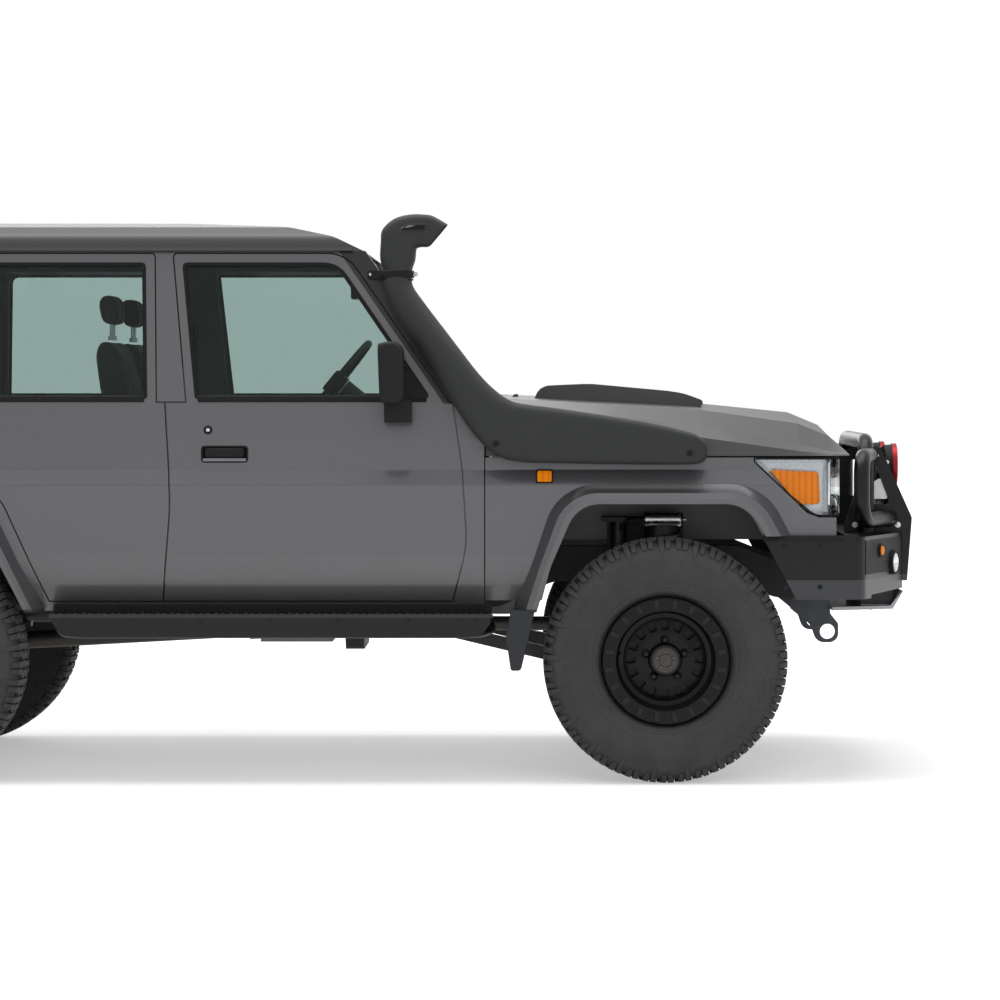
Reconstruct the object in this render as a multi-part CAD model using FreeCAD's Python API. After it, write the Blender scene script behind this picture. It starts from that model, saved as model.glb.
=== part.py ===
import FreeCAD, Part
import math
import os

V = FreeCAD.Vector

# A five-door off-road estate car on raised suspension and oversize tyres, with a steel bull bar,
# a raised air intake and side steps. Millimetres. +X points forward, +Z up, the ground is at Z 0
# and +Y is the left side. The origin lies under the middle of the whole car.

# Driving dimensions of the running gear
WHEELBASE = 2730
FRONT_OVERHANG = 922
REAR_OVERHANG = 1312
FRONT_AXLE_X = (WHEELBASE + FRONT_OVERHANG + REAR_OVERHANG) / 2 - FRONT_OVERHANG
REAR_AXLE_X = FRONT_AXLE_X - WHEELBASE
NOSE_X = FRONT_AXLE_X + FRONT_OVERHANG
TAIL_X = REAR_AXLE_X - REAR_OVERHANG
TYRE_R = 437
TYRE_WIDTH = 310
RIM_R = 232
RIM_WIDTH = 216
WHEEL_Y = 780
KINGPIN_Y = 660
AXLE_Z = TYRE_R
AXLE_TUBE_R = 43
RAIL_IN = 330
RAIL_OUT = 400

# Driving dimensions of the body
DOOR_SEAM_BACK = 713
FRONT_DOOR_LENGTH = 1080
REAR_DOOR_LENGTH = 830
BODY_BACK_OVERHANG = 965
COWL_SEAM_X = FRONT_AXLE_X - DOOR_SEAM_BACK
MID_SEAM_X = COWL_SEAM_X - FRONT_DOOR_LENGTH
BACK_SEAM_X = MID_SEAM_X - REAR_DOOR_LENGTH
BODY_BACK_X = REAR_AXLE_X - BODY_BACK_OVERHANG
HALF_WIDTH = 840
SILL_Z = 608
DOOR_BOTTOM_Z = 647
LEDGE_LOW_Z = 1062
LEDGE_TOP_Z = 1116
BELT_Z = 1352
WINDOW_BOTTOM_Z = 1374
WINDOW_TOP_Z = 1857
DOOR_TOP_Z = 1892
GUTTER_Z = 1903
ROOF_RISE = 137
ROOF_Z = GUTTER_Z + ROOF_RISE
TUMBLEHOME = 66
SKIN_DEPTH = 25
DOOR_DEPTH = 105
FRAME_DEPTH = 50
SHUT_GAP = 6
FLANGE = 30
SEAT_GAP = 0.3
GLASS_THICK = 5
GLASS_SETBACK = 14
FAR = 4000


def rounded(points, place):
    """A closed wire through points (a, b) or (a, b, radius), with an arc at each corner that has a radius."""
    count = len(points)
    stops = []
    for i, point in enumerate(points):
        here = V(point[0], point[1], 0)
        radius = point[2] if len(point) > 2 else 0
        back = V(*points[i - 1][:2], 0) - here
        ahead = V(*points[(i + 1) % count][:2], 0) - here
        corner = back.getAngle(ahead)
        if radius == 0 or corner > math.pi - 0.01:
            stops.append((here, here, here))
            continue
        reach = radius / math.tan(corner / 2)
        reach = min(reach, 0.49 * back.Length, 0.49 * ahead.Length)
        radius = reach * math.tan(corner / 2)
        back.normalize()
        ahead.normalize()
        middle = back + ahead
        middle.normalize()
        centre = here + middle * (radius / math.sin(corner / 2))
        stops.append((here + back * reach, centre - middle * radius, here + ahead * reach))
    edges = []
    for i, (enter, peak, leave) in enumerate(stops):
        if (enter - leave).Length > 0.01:
            edges.append(Part.Arc(place(enter), place(peak), place(leave)).toShape())
        following = stops[(i + 1) % count][0]
        if (following - leave).Length > 0.01:
            edges.append(Part.makeLine(place(leave), place(following)))
    return Part.Wire(edges)


def face_of(points, place):
    return Part.Face(rounded(points, place))


def side_at(y):
    return lambda p: V(p.x, y, p.y)


def cross_at(x):
    return lambda p: V(x, p.x, p.y)


def plan_at(z):
    return lambda p: V(p.x, p.y, z)


def side_prism(points, y0, y1):
    """A side outline of (x, z) points, carried from y0 to y1."""
    return face_of(points, side_at(y0)).extrude(V(0, y1 - y0, 0))


def cross_prism(points, x0, x1):
    """A cross outline of (y, z) points, carried from x0 to x1."""
    return face_of(points, cross_at(x0)).extrude(V(x1 - x0, 0, 0))


def plan_prism(points, z0, z1):
    """A plan outline of (x, y) points, carried from z0 to z1."""
    return face_of(points, plan_at(z0)).extrude(V(0, 0, z1 - z0))


def grown(points, distance, y0, y1):
    """The side prism of an outline moved outward by distance, or inward if it is negative."""
    flat = face_of(points, side_at(y0))
    if distance:
        flat = flat.makeOffset2D(distance)
    return flat.extrude(V(0, y1 - y0, 0))


def block(x0, x1, y0, y1, z0, z1):
    corner = V(min(x0, x1), min(y0, y1), min(z0, z1))
    return Part.makeBox(abs(x1 - x0), abs(y1 - y0), abs(z1 - z0), corner)


def softened(shape, radius, chooser=lambda e: True):
    """Rounds the chosen edges, and leaves the shape as it is if that radius does not fit."""
    edges = [e for e in shape.Edges if chooser(e)]
    try:
        made = shape.makeFillet(radius, edges)
        if made.isValid() and made.Volume > 0:
            return made
    except Part.OCCError:
        pass
    return shape


def rod(start, end, radius):
    """A round bar between two points."""
    run = V(*end) - V(*start)
    return Part.makeCylinder(radius, run.Length, V(*start), run)


def disc(centre, axis, radius, thick):
    """A round plate centred on a point."""
    direction = V(*axis)
    direction.normalize()
    return Part.makeCylinder(radius, thick, V(*centre) - direction * (thick / 2), direction)


def bent_tube(points, radius, bend):
    """A round tube along straight runs joined by arcs of one bend radius."""
    route = [V(*p) for p in points]
    edges = []
    last = route[0]
    for before, here, after in zip(route, route[1:], route[2:]):
        back = before - here
        ahead = after - here
        corner = back.getAngle(ahead)
        reach = min(bend / math.tan(corner / 2), 0.45 * back.Length, 0.45 * ahead.Length)
        back.normalize()
        ahead.normalize()
        middle = back + ahead
        middle.normalize()
        arc_r = reach * math.tan(corner / 2)
        peak = here + middle * (arc_r / math.sin(corner / 2) - arc_r)
        enter = here + back * reach
        leave = here + ahead * reach
        edges.append(Part.makeLine(last, enter))
        edges.append(Part.Arc(enter, peak, leave).toShape())
        last = leave
    edges.append(Part.makeLine(last, route[-1]))
    ring = Part.Wire(Part.makeCircle(radius, route[0], route[1] - route[0]))
    return Part.Wire(edges).makePipeShell([ring], True, False, 2)


def turned(points, centre, axis):
    """A solid of revolution: (along, radius) points turned about an axis through centre."""
    corners = [V(r, 0, a) for a, r in points]
    wire = Part.makePolygon(corners + corners[:1])
    solid = Part.Face(wire).revolve(V(0, 0, 0), V(0, 0, 1), 360)
    solid.Placement = FreeCAD.Placement(V(*centre), FreeCAD.Rotation(V(0, 0, 1), V(*axis)))
    return solid


def right_of(shape):
    """The right-hand twin of a left-hand shape."""
    return shape.mirror(V(0, 0, 0), V(0, 1, 0))


def both(shape):
    return Part.makeCompound([shape, right_of(shape)])


def joined(first, *others):
    return first.fuse(list(others)).removeSplitter() if others else first


def solids_of(shape):
    return [s for s in shape.Solids if s.Volume > 1]


def save(name, shape):
    made = Part.makeCompound(solids_of(shape))
    made.exportStep("parts/" + name + ".step")
    bad = [s for s in made.Solids if not s.isValid()]
    box = made.BoundBox
    print(f"{name}: {len(made.Solids)} solids, {made.Volume / 1e6:.1f} l, x {box.XMin:.0f} {box.XMax:.0f}, "
          f"y {box.YMin:.0f} {box.YMax:.0f}, z {box.ZMin:.0f} {box.ZMax:.0f}" + (" INVALID" if bad else ""))


os.makedirs("parts", exist_ok=True)

# The side of the body: one cross profile, cut into doors and pillars
BELT_Y = 800
HEADER_Y = BELT_Y - TUMBLEHOME


def skin_line(shift):
    """The side profile from sill to gutter, moved inward by shift."""
    return [
        (HALF_WIDTH - 55 - shift, SILL_Z),
        (HALF_WIDTH - 2 - shift, SILL_Z + 150, 320),
        (HALF_WIDTH - shift, LEDGE_LOW_Z, 18),
        (HALF_WIDTH - 26 - shift, LEDGE_TOP_Z, 14),
        (HALF_WIDTH - 30 - shift, LEDGE_TOP_Z + 111),
        (BELT_Y - shift, BELT_Z),
        (HEADER_Y - shift, DOOR_TOP_Z),
        (HEADER_Y - 2 - shift, GUTTER_Z),
    ]


def slab(near, deep, x0, x1, low=None, high=None):
    """Left body wall between two depths under the skin, from x0 to x1, kept between two heights."""
    wall = cross_prism(skin_line(near) + skin_line(deep)[::-1], x0, x1)
    if low is not None or high is not None:
        bottom = SILL_Z - 10 if low is None else low
        top = GUTTER_Z + 10 if high is None else high
        wall = wall.common(block(x0 - 1, x1 + 1, 0, HALF_WIDTH + 50, bottom, top))
    return wall


WALL_FRONT_X = COWL_SEAM_X + 75
OUTER_WALL = slab(0, SKIN_DEPTH, BODY_BACK_X, WALL_FRONT_X)
INNER_LOW = slab(SKIN_DEPTH, DOOR_DEPTH, BODY_BACK_X, WALL_FRONT_X, high=BELT_Z)
INNER_HIGH = slab(SKIN_DEPTH, FRAME_DEPTH, BODY_BACK_X, WALL_FRONT_X, low=BELT_Z)
INNER_WALL = joined(INNER_LOW, INNER_HIGH)

# Side outlines of (x, z). The screen pillar leans back at one slope, shared by every edge along it
PILLAR_RUN = 0.687
PILLAR_FOOT_X = COWL_SEAM_X - 64


def pillar_x(z, ahead=0):
    """Where the front edge of the door frame lies at height z, moved forward by ahead."""
    return PILLAR_FOOT_X - (z - BELT_Z) * PILLAR_RUN + ahead


PILLAR_BAND = 78
FRAME_BAR = 35
FRONT_DOOR = [
    (COWL_SEAM_X - 50, DOOR_BOTTOM_Z),
    (COWL_SEAM_X + 2, DOOR_BOTTOM_Z + 200, 400),
    (COWL_SEAM_X - 16, LEDGE_TOP_Z, 600),
    (COWL_SEAM_X - 50, BELT_Z + 4),
    (PILLAR_FOOT_X, BELT_Z + 6),
    (pillar_x(DOOR_TOP_Z), DOOR_TOP_Z, 130),
    (MID_SEAM_X + 26, DOOR_TOP_Z, 12),
    (MID_SEAM_X + 78, BELT_Z + 4),
    (MID_SEAM_X + SHUT_GAP / 2, BELT_Z + 4),
    (MID_SEAM_X + 26, LEDGE_TOP_Z - 120, 900),
    (MID_SEAM_X - 5 + SHUT_GAP / 2, DOOR_BOTTOM_Z),
]
FRONT_WINDOW = [
    (pillar_x(WINDOW_BOTTOM_Z) - 52, WINDOW_BOTTOM_Z, 12),
    (pillar_x(WINDOW_TOP_Z) - 52, WINDOW_TOP_Z, 100),
    (MID_SEAM_X + 26 + FRAME_BAR, WINDOW_TOP_Z, 14),
    (MID_SEAM_X + 76 + FRAME_BAR, WINDOW_BOTTOM_Z, 8),
]

# Wheel arches: the same flared shape front and back, the rear one narrower
ARCH_TOP_Z = 997
ARCH_BAND = 92
FLARE_FOOT_Z = 612
ARCH_KNEE_Z = 779
ARCH_LEAN = 54


def arch(axle_x, behind, ahead, grow=0, foot=FLARE_FOOT_Z):
    """The side outline of a wheel arch opening, or of its flare when grown."""
    return [
        (axle_x - behind - grow, foot),
        (axle_x - behind + ARCH_LEAN - grow, ARCH_KNEE_Z, 160),
        (axle_x - behind * 0.68 - grow, ARCH_TOP_Z + grow, 120 + grow),
        (axle_x + ahead * 0.55 + grow, ARCH_TOP_Z + grow, 130 + grow),
        (axle_x + ahead + grow, foot),
    ]


FRONT_ARCH = (FRONT_AXLE_X, 462, 520)
REAR_ARCH = (REAR_AXLE_X, 452, 452)
REAR_BAND = 62

REAR_DOOR = [
    (MID_SEAM_X - 5 - SHUT_GAP / 2, DOOR_BOTTOM_Z),
    (MID_SEAM_X + 26 - SHUT_GAP, LEDGE_TOP_Z - 120, 900),
    (MID_SEAM_X - SHUT_GAP / 2, BELT_Z + 4),
    (MID_SEAM_X - 33, BELT_Z + 4),
    (MID_SEAM_X - 44, DOOR_TOP_Z, 12),
    (BACK_SEAM_X + 20, DOOR_TOP_Z, 30),
    (BACK_SEAM_X, BELT_Z, 60),
    (BACK_SEAM_X, ARCH_TOP_Z + REAR_BAND + 14, 40),
    (REAR_AXLE_X + 452 * 0.55 + REAR_BAND + 18, ARCH_TOP_Z + REAR_BAND + 14, 180),
    (REAR_AXLE_X + 452 + REAR_BAND + 10, DOOR_BOTTOM_Z),
]
REAR_WINDOW = [
    (MID_SEAM_X - 44 - FRAME_BAR, WINDOW_TOP_Z, 14),
    (BACK_SEAM_X + 20 + FRAME_BAR + 8, WINDOW_TOP_Z, 40),
    (BACK_SEAM_X + FRAME_BAR + 14, WINDOW_BOTTOM_Z, 14),
    (MID_SEAM_X - 33 - FRAME_BAR, WINDOW_BOTTOM_Z, 8),
]
QUARTER_WINDOW = [
    (BACK_SEAM_X - 60, WINDOW_BOTTOM_Z + 6, 40),
    (BACK_SEAM_X - 45, WINDOW_TOP_Z - 8, 40),
    (BODY_BACK_X + 170, WINDOW_TOP_Z - 8, 60),
    (BODY_BACK_X + 150, WINDOW_BOTTOM_Z + 6, 60),
]
WALL_OUTLINE = [
    (WALL_FRONT_X - 10, SILL_Z + 2),
    (WALL_FRONT_X - 10, LEDGE_TOP_Z + 56),
    (WALL_FRONT_X - 10, LEDGE_TOP_Z + 180, 30),
    (PILLAR_FOOT_X + PILLAR_BAND, BELT_Z + 6, 20),
    (pillar_x(GUTTER_Z, PILLAR_BAND), GUTTER_Z),
    (BODY_BACK_X, GUTTER_Z),
    (BODY_BACK_X, SILL_Z + 60),
    (REAR_AXLE_X - 452, SILL_Z + 60),
    (REAR_AXLE_X, SILL_Z + 2),
]


# Side doors: a skin that covers the shut flange and a thicker inner part that sits inside it
def side_door(outline, window):
    skin = OUTER_WALL.common(grown(outline, 0, 0, FAR))
    inner = INNER_WALL.common(grown(outline, -FLANGE - SHUT_GAP, 0, FAR))
    return joined(skin, inner).cut(grown(window, 0, 0, FAR))


def side_glass(window):
    """A pane that just fits its window, set back from the skin."""
    pane = slab(GLASS_SETBACK, GLASS_SETBACK + GLASS_THICK, BODY_BACK_X, WALL_FRONT_X, low=BELT_Z)
    return pane.common(grown(window, -SEAT_GAP, 0, FAR))


front_door = side_door(FRONT_DOOR, FRONT_WINDOW)
rear_door = side_door(REAR_DOOR, REAR_WINDOW)
PULL_X = MID_SEAM_X + 215
PULL_LENGTH = 165
PULL_Z = LEDGE_TOP_Z + 50


def with_pull(door, x):
    """Cuts the hollow behind an outside door handle."""
    hollow = block(x - PULL_LENGTH / 2, x + PULL_LENGTH / 2, HALF_WIDTH - 48, FAR, PULL_Z - 22, PULL_Z + 34)
    return door.cut(softened(hollow, 12))


front_door = with_pull(front_door, PULL_X)
rear_door = with_pull(rear_door, BACK_SEAM_X + 150)
save("left_front_door", front_door)
save("right_front_door", right_of(front_door))
save("left_rear_door", rear_door)
save("right_rear_door", right_of(rear_door))
front_pane = side_glass(FRONT_WINDOW)
rear_pane = side_glass(REAR_WINDOW)
save("left_front_glass", front_pane)
save("right_front_glass", right_of(front_pane))
save("left_rear_glass", rear_pane)
save("right_rear_glass", right_of(rear_pane))

# Door mirrors, one solid each: a foot on the door below the glass and a tall head
MIRROR_X = PILLAR_FOOT_X - 180
skin_fill = cross_prism(skin_line(-SEAT_GAP) + [(0, GUTTER_Z), (0, SILL_Z)], -2000, 2500)
mirror_foot = block(MIRROR_X - 46, MIRROR_X + 50, BELT_Y - 20, HALF_WIDTH + 60, BELT_Z - 66, BELT_Z + 14)
mirror_foot = mirror_foot.cut(skin_fill)
mirror_head = side_prism([
    (MIRROR_X - 52, BELT_Z + 4, 14),
    (MIRROR_X - 60, BELT_Z + 218, 22),
    (MIRROR_X + 22, BELT_Z + 226, 46),
    (MIRROR_X + 30, BELT_Z + 4, 30),
], HALF_WIDTH + 32, HALF_WIDTH + 222)
mirror_head = softened(mirror_head, 16, lambda e: abs(e.BoundBox.YMax - HALF_WIDTH - 222) < 0.1)
mirror = joined(mirror_foot, mirror_head)
save("left_mirror", mirror)
save("right_mirror", right_of(mirror))

# The fixed side wall: pillars, sill, rail over the doors and rear quarter
WALL_REACH = [
    (x, z, *r) for x, z, *r in WALL_OUTLINE
]
wall_field = grown(WALL_REACH, 0, 0, FAR)
wall = joined(OUTER_WALL, INNER_WALL).common(wall_field)
for outline in (FRONT_DOOR, REAR_DOOR):
    skin_cut = grown(outline, SHUT_GAP - 1, HALF_WIDTH - SKIN_DEPTH - TUMBLEHOME - 60, FAR)
    skin_cut = skin_cut.common(slab(-5, SKIN_DEPTH + SHUT_GAP, BODY_BACK_X - 5, WALL_FRONT_X + 5))
    inner_cut = grown(outline, SHUT_GAP - FLANGE, 0, FAR)
    wall = wall.cut(skin_cut).cut(inner_cut)
wall = wall.cut(grown(QUARTER_WINDOW, 0, 0, FAR))
wall = wall.cut(side_prism(arch(*REAR_ARCH, 30, SILL_Z - 40), 0, FAR))
wall = Part.makeCompound(sorted(wall.Solids, key=lambda s: -s.Volume)[:1])

# Hinges: leaves in the shut gap of each side door, and knuckles outside the rear corner for the back doors
HINGE_LEAF = 60
for outline, hinge_x in ((FRONT_DOOR, COWL_SEAM_X - FLANGE), (REAR_DOOR, MID_SEAM_X - FLANGE)):
    for z in (780, 1180):
        leaves = block(hinge_x - 30, hinge_x + 14, BELT_Y - 60, BELT_Y - 25, z, z + HINGE_LEAF)
        leaves = leaves.cut(grown(outline, SEAT_GAP - FLANGE - SHUT_GAP, 0, FAR))
        wall = wall.fuse(leaves)
BACK_IN_X = BODY_BACK_X - SHUT_GAP
BACK_THICK = 28
BACK_OUT_X = BACK_IN_X - BACK_THICK
BACK_PIN_R = 9
BACK_PIN_Y = HALF_WIDTH - 6
BACK_HINGES = (770, 960)
BACK_KNUCKLE = 60
for z in BACK_HINGES:
    low = z + BACK_KNUCKLE + SEAT_GAP
    wall = wall.fuse(rod((BACK_OUT_X - 2, BACK_PIN_Y, low), (BACK_OUT_X - 2, BACK_PIN_Y, low + 36), BACK_PIN_R))
    wall = wall.fuse(block(BACK_OUT_X - 6, BODY_BACK_X + 5, HALF_WIDTH + 2, HALF_WIDTH + 8, low, low + 36))
    wall = wall.fuse(block(BODY_BACK_X + 5, BODY_BACK_X + 40, HALF_WIDTH - 12, HALF_WIDTH + 8, low, low + 36))
save("body_sides", both(wall))
quarter_pane = side_glass(QUARTER_WINDOW)

# Roof: a crowned shell with rain gutters that rests on the side walls
ROOF_SHELL = 28
ROOF_FRONT_X = pillar_x(GUTTER_Z, PILLAR_BAND) - 6
GUTTER_Y = HEADER_Y + 20
roof_cross = [
    (-HEADER_Y + 2, GUTTER_Z + SEAT_GAP),
    (-HEADER_Y + 8, GUTTER_Z + 55, 40),
    (-HEADER_Y + 90, ROOF_Z - 48, 90),
    (0, ROOF_Z, 4200),
    (HEADER_Y - 90, ROOF_Z - 48, 90),
    (HEADER_Y - 8, GUTTER_Z + 55, 40),
    (HEADER_Y - 2, GUTTER_Z + SEAT_GAP),
]


def roof_side(shrink):
    """The roof's outline from the side, with a rounded brow over the windscreen."""
    return [
        (BODY_BACK_X + shrink, GUTTER_Z - 30),
        (BODY_BACK_X + shrink + 12, ROOF_Z - 40 - shrink, 80),
        (BODY_BACK_X + 420, ROOF_Z + 1 - shrink, 1500),
        (ROOF_FRONT_X - 660, ROOF_Z - 20 - shrink, 1500),
        (ROOF_FRONT_X - 290, ROOF_Z - 44 - shrink, 600),
        (ROOF_FRONT_X - 110 - shrink * 0.4, ROOF_Z - 84 - shrink, 150),
        (ROOF_FRONT_X - shrink, GUTTER_Z + SEAT_GAP, 0),
        (ROOF_FRONT_X - shrink, GUTTER_Z - 30),
    ]


roof = cross_prism(roof_cross, BODY_BACK_X, ROOF_FRONT_X)
roof = roof.common(side_prism(roof_side(0), -FAR, FAR))
inner_cross = [
    (-HEADER_Y + 2 + ROOF_SHELL, GUTTER_Z - 1),
    (-HEADER_Y + 8 + ROOF_SHELL, GUTTER_Z + 44, 30),
    (-HEADER_Y + 100 + ROOF_SHELL, ROOF_Z - 48 - ROOF_SHELL, 70),
    (0, ROOF_Z - ROOF_SHELL, 4200),
    (HEADER_Y - 100 - ROOF_SHELL, ROOF_Z - 48 - ROOF_SHELL, 70),
    (HEADER_Y - 8 - ROOF_SHELL, GUTTER_Z + 44, 30),
    (HEADER_Y - 2 - ROOF_SHELL, GUTTER_Z - 1),
]
roof_hollow = cross_prism(inner_cross, BODY_BACK_X + 60, ROOF_FRONT_X - 60)
roof_hollow = roof_hollow.common(side_prism(roof_side(ROOF_SHELL), -FAR, FAR))
roof = roof.cut(roof_hollow)
gutter = cross_prism([
    (HEADER_Y - 4, GUTTER_Z + SEAT_GAP),
    (GUTTER_Y, GUTTER_Z + SEAT_GAP),
    (GUTTER_Y, GUTTER_Z + 14),
    (GUTTER_Y - 4, GUTTER_Z + 14),
    (GUTTER_Y - 6, GUTTER_Z + 6),
    (HEADER_Y - 4, GUTTER_Z + 6),
], BODY_BACK_X + 2, ROOF_FRONT_X - 40)
save("roof", joined(roof, gutter, right_of(gutter)))

# Fixed glass: windscreen and rear quarter windows
SCREEN_FOOT_Z = BELT_Z + 2
SCREEN_TOP_Z = GUTTER_Z
SCREEN_THICK = 6
SCREEN_Y = BELT_Y - FRAME_DEPTH - SEAT_GAP
screen_low_x = PILLAR_FOOT_X + PILLAR_BAND - 30
screen_profile = [
    (screen_low_x, SCREEN_FOOT_Z),
    (screen_low_x - SCREEN_THICK * 1.2, SCREEN_FOOT_Z),
    (screen_low_x - SCREEN_THICK * 1.2 - (SCREEN_TOP_Z - SCREEN_FOOT_Z) * PILLAR_RUN, SCREEN_TOP_Z),
    (screen_low_x - (SCREEN_TOP_Z - SCREEN_FOOT_Z) * PILLAR_RUN, SCREEN_TOP_Z),
]
screen_drop = HEADER_Y - BELT_Y
screen_width = cross_prism([
    (-SCREEN_Y, BELT_Z),
    (SCREEN_Y, BELT_Z),
    (SCREEN_Y + screen_drop, DOOR_TOP_Z),
    (-SCREEN_Y - screen_drop, DOOR_TOP_Z),
], -FAR, FAR)
windscreen = side_prism(screen_profile, -FAR, FAR).common(screen_width)
save("fixed_glass", Part.makeCompound([windscreen, quarter_pane, right_of(quarter_pane)]))

# Front wings: skin under the bonnet line, flange, wheel house and inner apron in one piece each
BONNET_SEAM_Z = 1166
WING_TOP_Z = BONNET_SEAM_Z - SHUT_GAP
WING_BACK_X = WALL_FRONT_X - 10 + 4
WING_FRONT_X = FRONT_AXLE_X + 612
LAMP_BACK_X = WING_FRONT_X - 292
LAMP_LOW_Z = 948
APRON_Y = 385
APRON_THICK = 12
LINER_THICK = 8
BUMPER_TOP_Z = 878
wing_skin = cross_prism(skin_line(0)[:5] + skin_line(SKIN_DEPTH)[4::-1], WING_BACK_X, WING_FRONT_X)
wing_skin = wing_skin.common(block(0, FAR, 0, FAR, SILL_Z + 40, WING_TOP_Z))
wing_skin = wing_skin.cut(side_prism(arch(*FRONT_ARCH, 0, SILL_Z - 40), 0, FAR))
wing_skin = wing_skin.cut(block(FRONT_AXLE_X + 200, FAR, 0, FAR, 0, BUMPER_TOP_Z))
LAMP_OUTLINE = [
    (LAMP_BACK_X, WING_TOP_Z - 2),
    (LAMP_BACK_X, WING_TOP_Z - 16, 8),
    (LAMP_BACK_X + 188, LAMP_LOW_Z + 16, 30),
    (LAMP_BACK_X + 230, LAMP_LOW_Z),
    (FAR, LAMP_LOW_Z),
    (FAR, WING_TOP_Z - 2),
]
wing_skin = wing_skin.cut(grown(LAMP_OUTLINE, 2, 0, FAR))
wing_flange = block(WING_BACK_X, LAMP_BACK_X - 10, APRON_Y, HALF_WIDTH - 40, WING_TOP_Z - 22, WING_TOP_Z)
wing_flange = wing_flange.cut(block(WING_BACK_X - 1, FAR, APRON_Y + 200, HALF_WIDTH - 90, 0, WING_TOP_Z - 8))
house = side_prism(arch(*FRONT_ARCH, LINER_THICK, FLARE_FOOT_Z + 60), APRON_Y + APRON_THICK, HALF_WIDTH - 16)
house = house.cut(side_prism(arch(*FRONT_ARCH, 0, FLARE_FOOT_Z + 59), 0, FAR))
house = house.common(joined(block(0, FRONT_AXLE_X, 0, FAR, 0, FAR), block(0, FAR, 0, FAR, BUMPER_TOP_Z, FAR)))
inside_skin = cross_prism(skin_line(12) + [(0, GUTTER_Z), (0, SILL_Z)], 0, FAR)
house = house.common(inside_skin).cut(block(0, FAR, 0, RAIL_OUT + 1, 0, 840))
apron = block(WING_BACK_X, WING_FRONT_X - 80, APRON_Y, APRON_Y + APRON_THICK, 850, WING_TOP_Z)
FLAP_X = FRONT_AXLE_X - 520
LINER_FOOT_X = FRONT_AXLE_X - FRONT_ARCH[1]
mud_flap = side_prism([
    (FLAP_X - 10, FLARE_FOOT_Z + 74),
    (LINER_FOOT_X, FLARE_FOOT_Z + 74),
    (LINER_FOOT_X, FLARE_FOOT_Z + 61),
    (FLAP_X + 12, FLARE_FOOT_Z + 61),
    (FLAP_X, FLARE_FOOT_Z + 50),
    (FLAP_X, 430),
    (FLAP_X - 10, 430),
], 640, HALF_WIDTH - 72)
wing = joined(wing_skin, wing_flange, house, apron, mud_flap)
save("front_wings", both(wing))

# Wheel arch flares: rolled bands that stand out from the body around each opening
FLARE_OUT = 925


def flare(spec, band):
    low = FLARE_FOOT_Z
    near_line = rounded(arch(*spec, band, low), side_at(HALF_WIDTH - 60))
    far_line = rounded(arch(*spec, band * 0.42, low), side_at(FLARE_OUT - 12))
    lip_line = rounded(arch(*spec, band * 0.2, low), side_at(FLARE_OUT))
    body = Part.makeLoft([near_line, far_line, lip_line], True, True)
    body = body.cut(side_prism(arch(*spec, 0, low - 5), 0, FAR))
    skirt_back = block(spec[0] - 900, spec[0] + 900, 0, HALF_WIDTH - 40, 0, FAR)
    profile = skin_line(-SEAT_GAP)
    inside = cross_prism(profile + [(0, GUTTER_Z), (0, SILL_Z)], spec[0] - 900, spec[0] + 900)
    return body.cut(inside).cut(skirt_back)


front_flare = flare(FRONT_ARCH, ARCH_BAND)
tip_x = FRONT_AXLE_X - FRONT_ARCH[1]
flare_tip = side_prism([
    (tip_x - ARCH_BAND + 2, FLARE_FOOT_Z + 6),
    (tip_x - ARCH_BAND - 16, 527, 60),
    (tip_x - ARCH_BAND + 2, 404, 10),
    (tip_x - ARCH_BAND + 38, 404, 14),
    (tip_x - 4, FLARE_FOOT_Z + 6),
], FLARE_OUT - 70, FLARE_OUT - 6)
front_flare = joined(front_flare, softened(flare_tip, 5, lambda e: e.BoundBox.ZMax < FLARE_FOOT_Z))
front_flare = front_flare.cut(block(FRONT_AXLE_X + 300, FAR, 0, FAR, 0, BUMPER_TOP_Z + 4))
rear_flare = flare(REAR_ARCH, REAR_BAND)
flares = [front_flare, right_of(front_flare), rear_flare, right_of(rear_flare)]
save("wheel_arch_flares", Part.makeCompound(flares))

# Bonnet: a pressed shell that wraps over the wing tops, with a shallow air scoop
BONNET_BACK_X = WALL_FRONT_X - 10 + 6
BONNET_FRONT_X = WING_FRONT_X + 53
BONNET_SKIN = 18
BONNET_LINES = [
    (BONNET_BACK_X, (811, 803, 760, 560), (1310, 1352, 1374, 1386)),
    (1690, (811, 800, 745, 540), (1232, 1276, 1330, 1352)),
    (2050, (805, 797, 725, 560), (1182, 1204, 1280, 1316)),
    (2165, (790, 782, 700, 560), (1172, 1182, 1234, 1268)),
    (BONNET_FRONT_X, (760, 752, 690, 560), (1170, 1174, 1182, 1192)),
]


def bonnet_section(x, widths, heights, shrink, low):
    """One cross outline of the bonnet; widths run from the side edge inward, heights likewise."""
    left = [(widths[0] - shrink, low), (widths[1] - shrink, heights[0] - shrink * 0.6)]
    left += [(widths[2] - shrink * 0.7, heights[1] - shrink), (widths[3], heights[2] - shrink)]
    right = [(-y, z) for y, z in left[::-1]]
    return rounded(left + [(0, heights[3] - shrink)] + right, cross_at(x))


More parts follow.
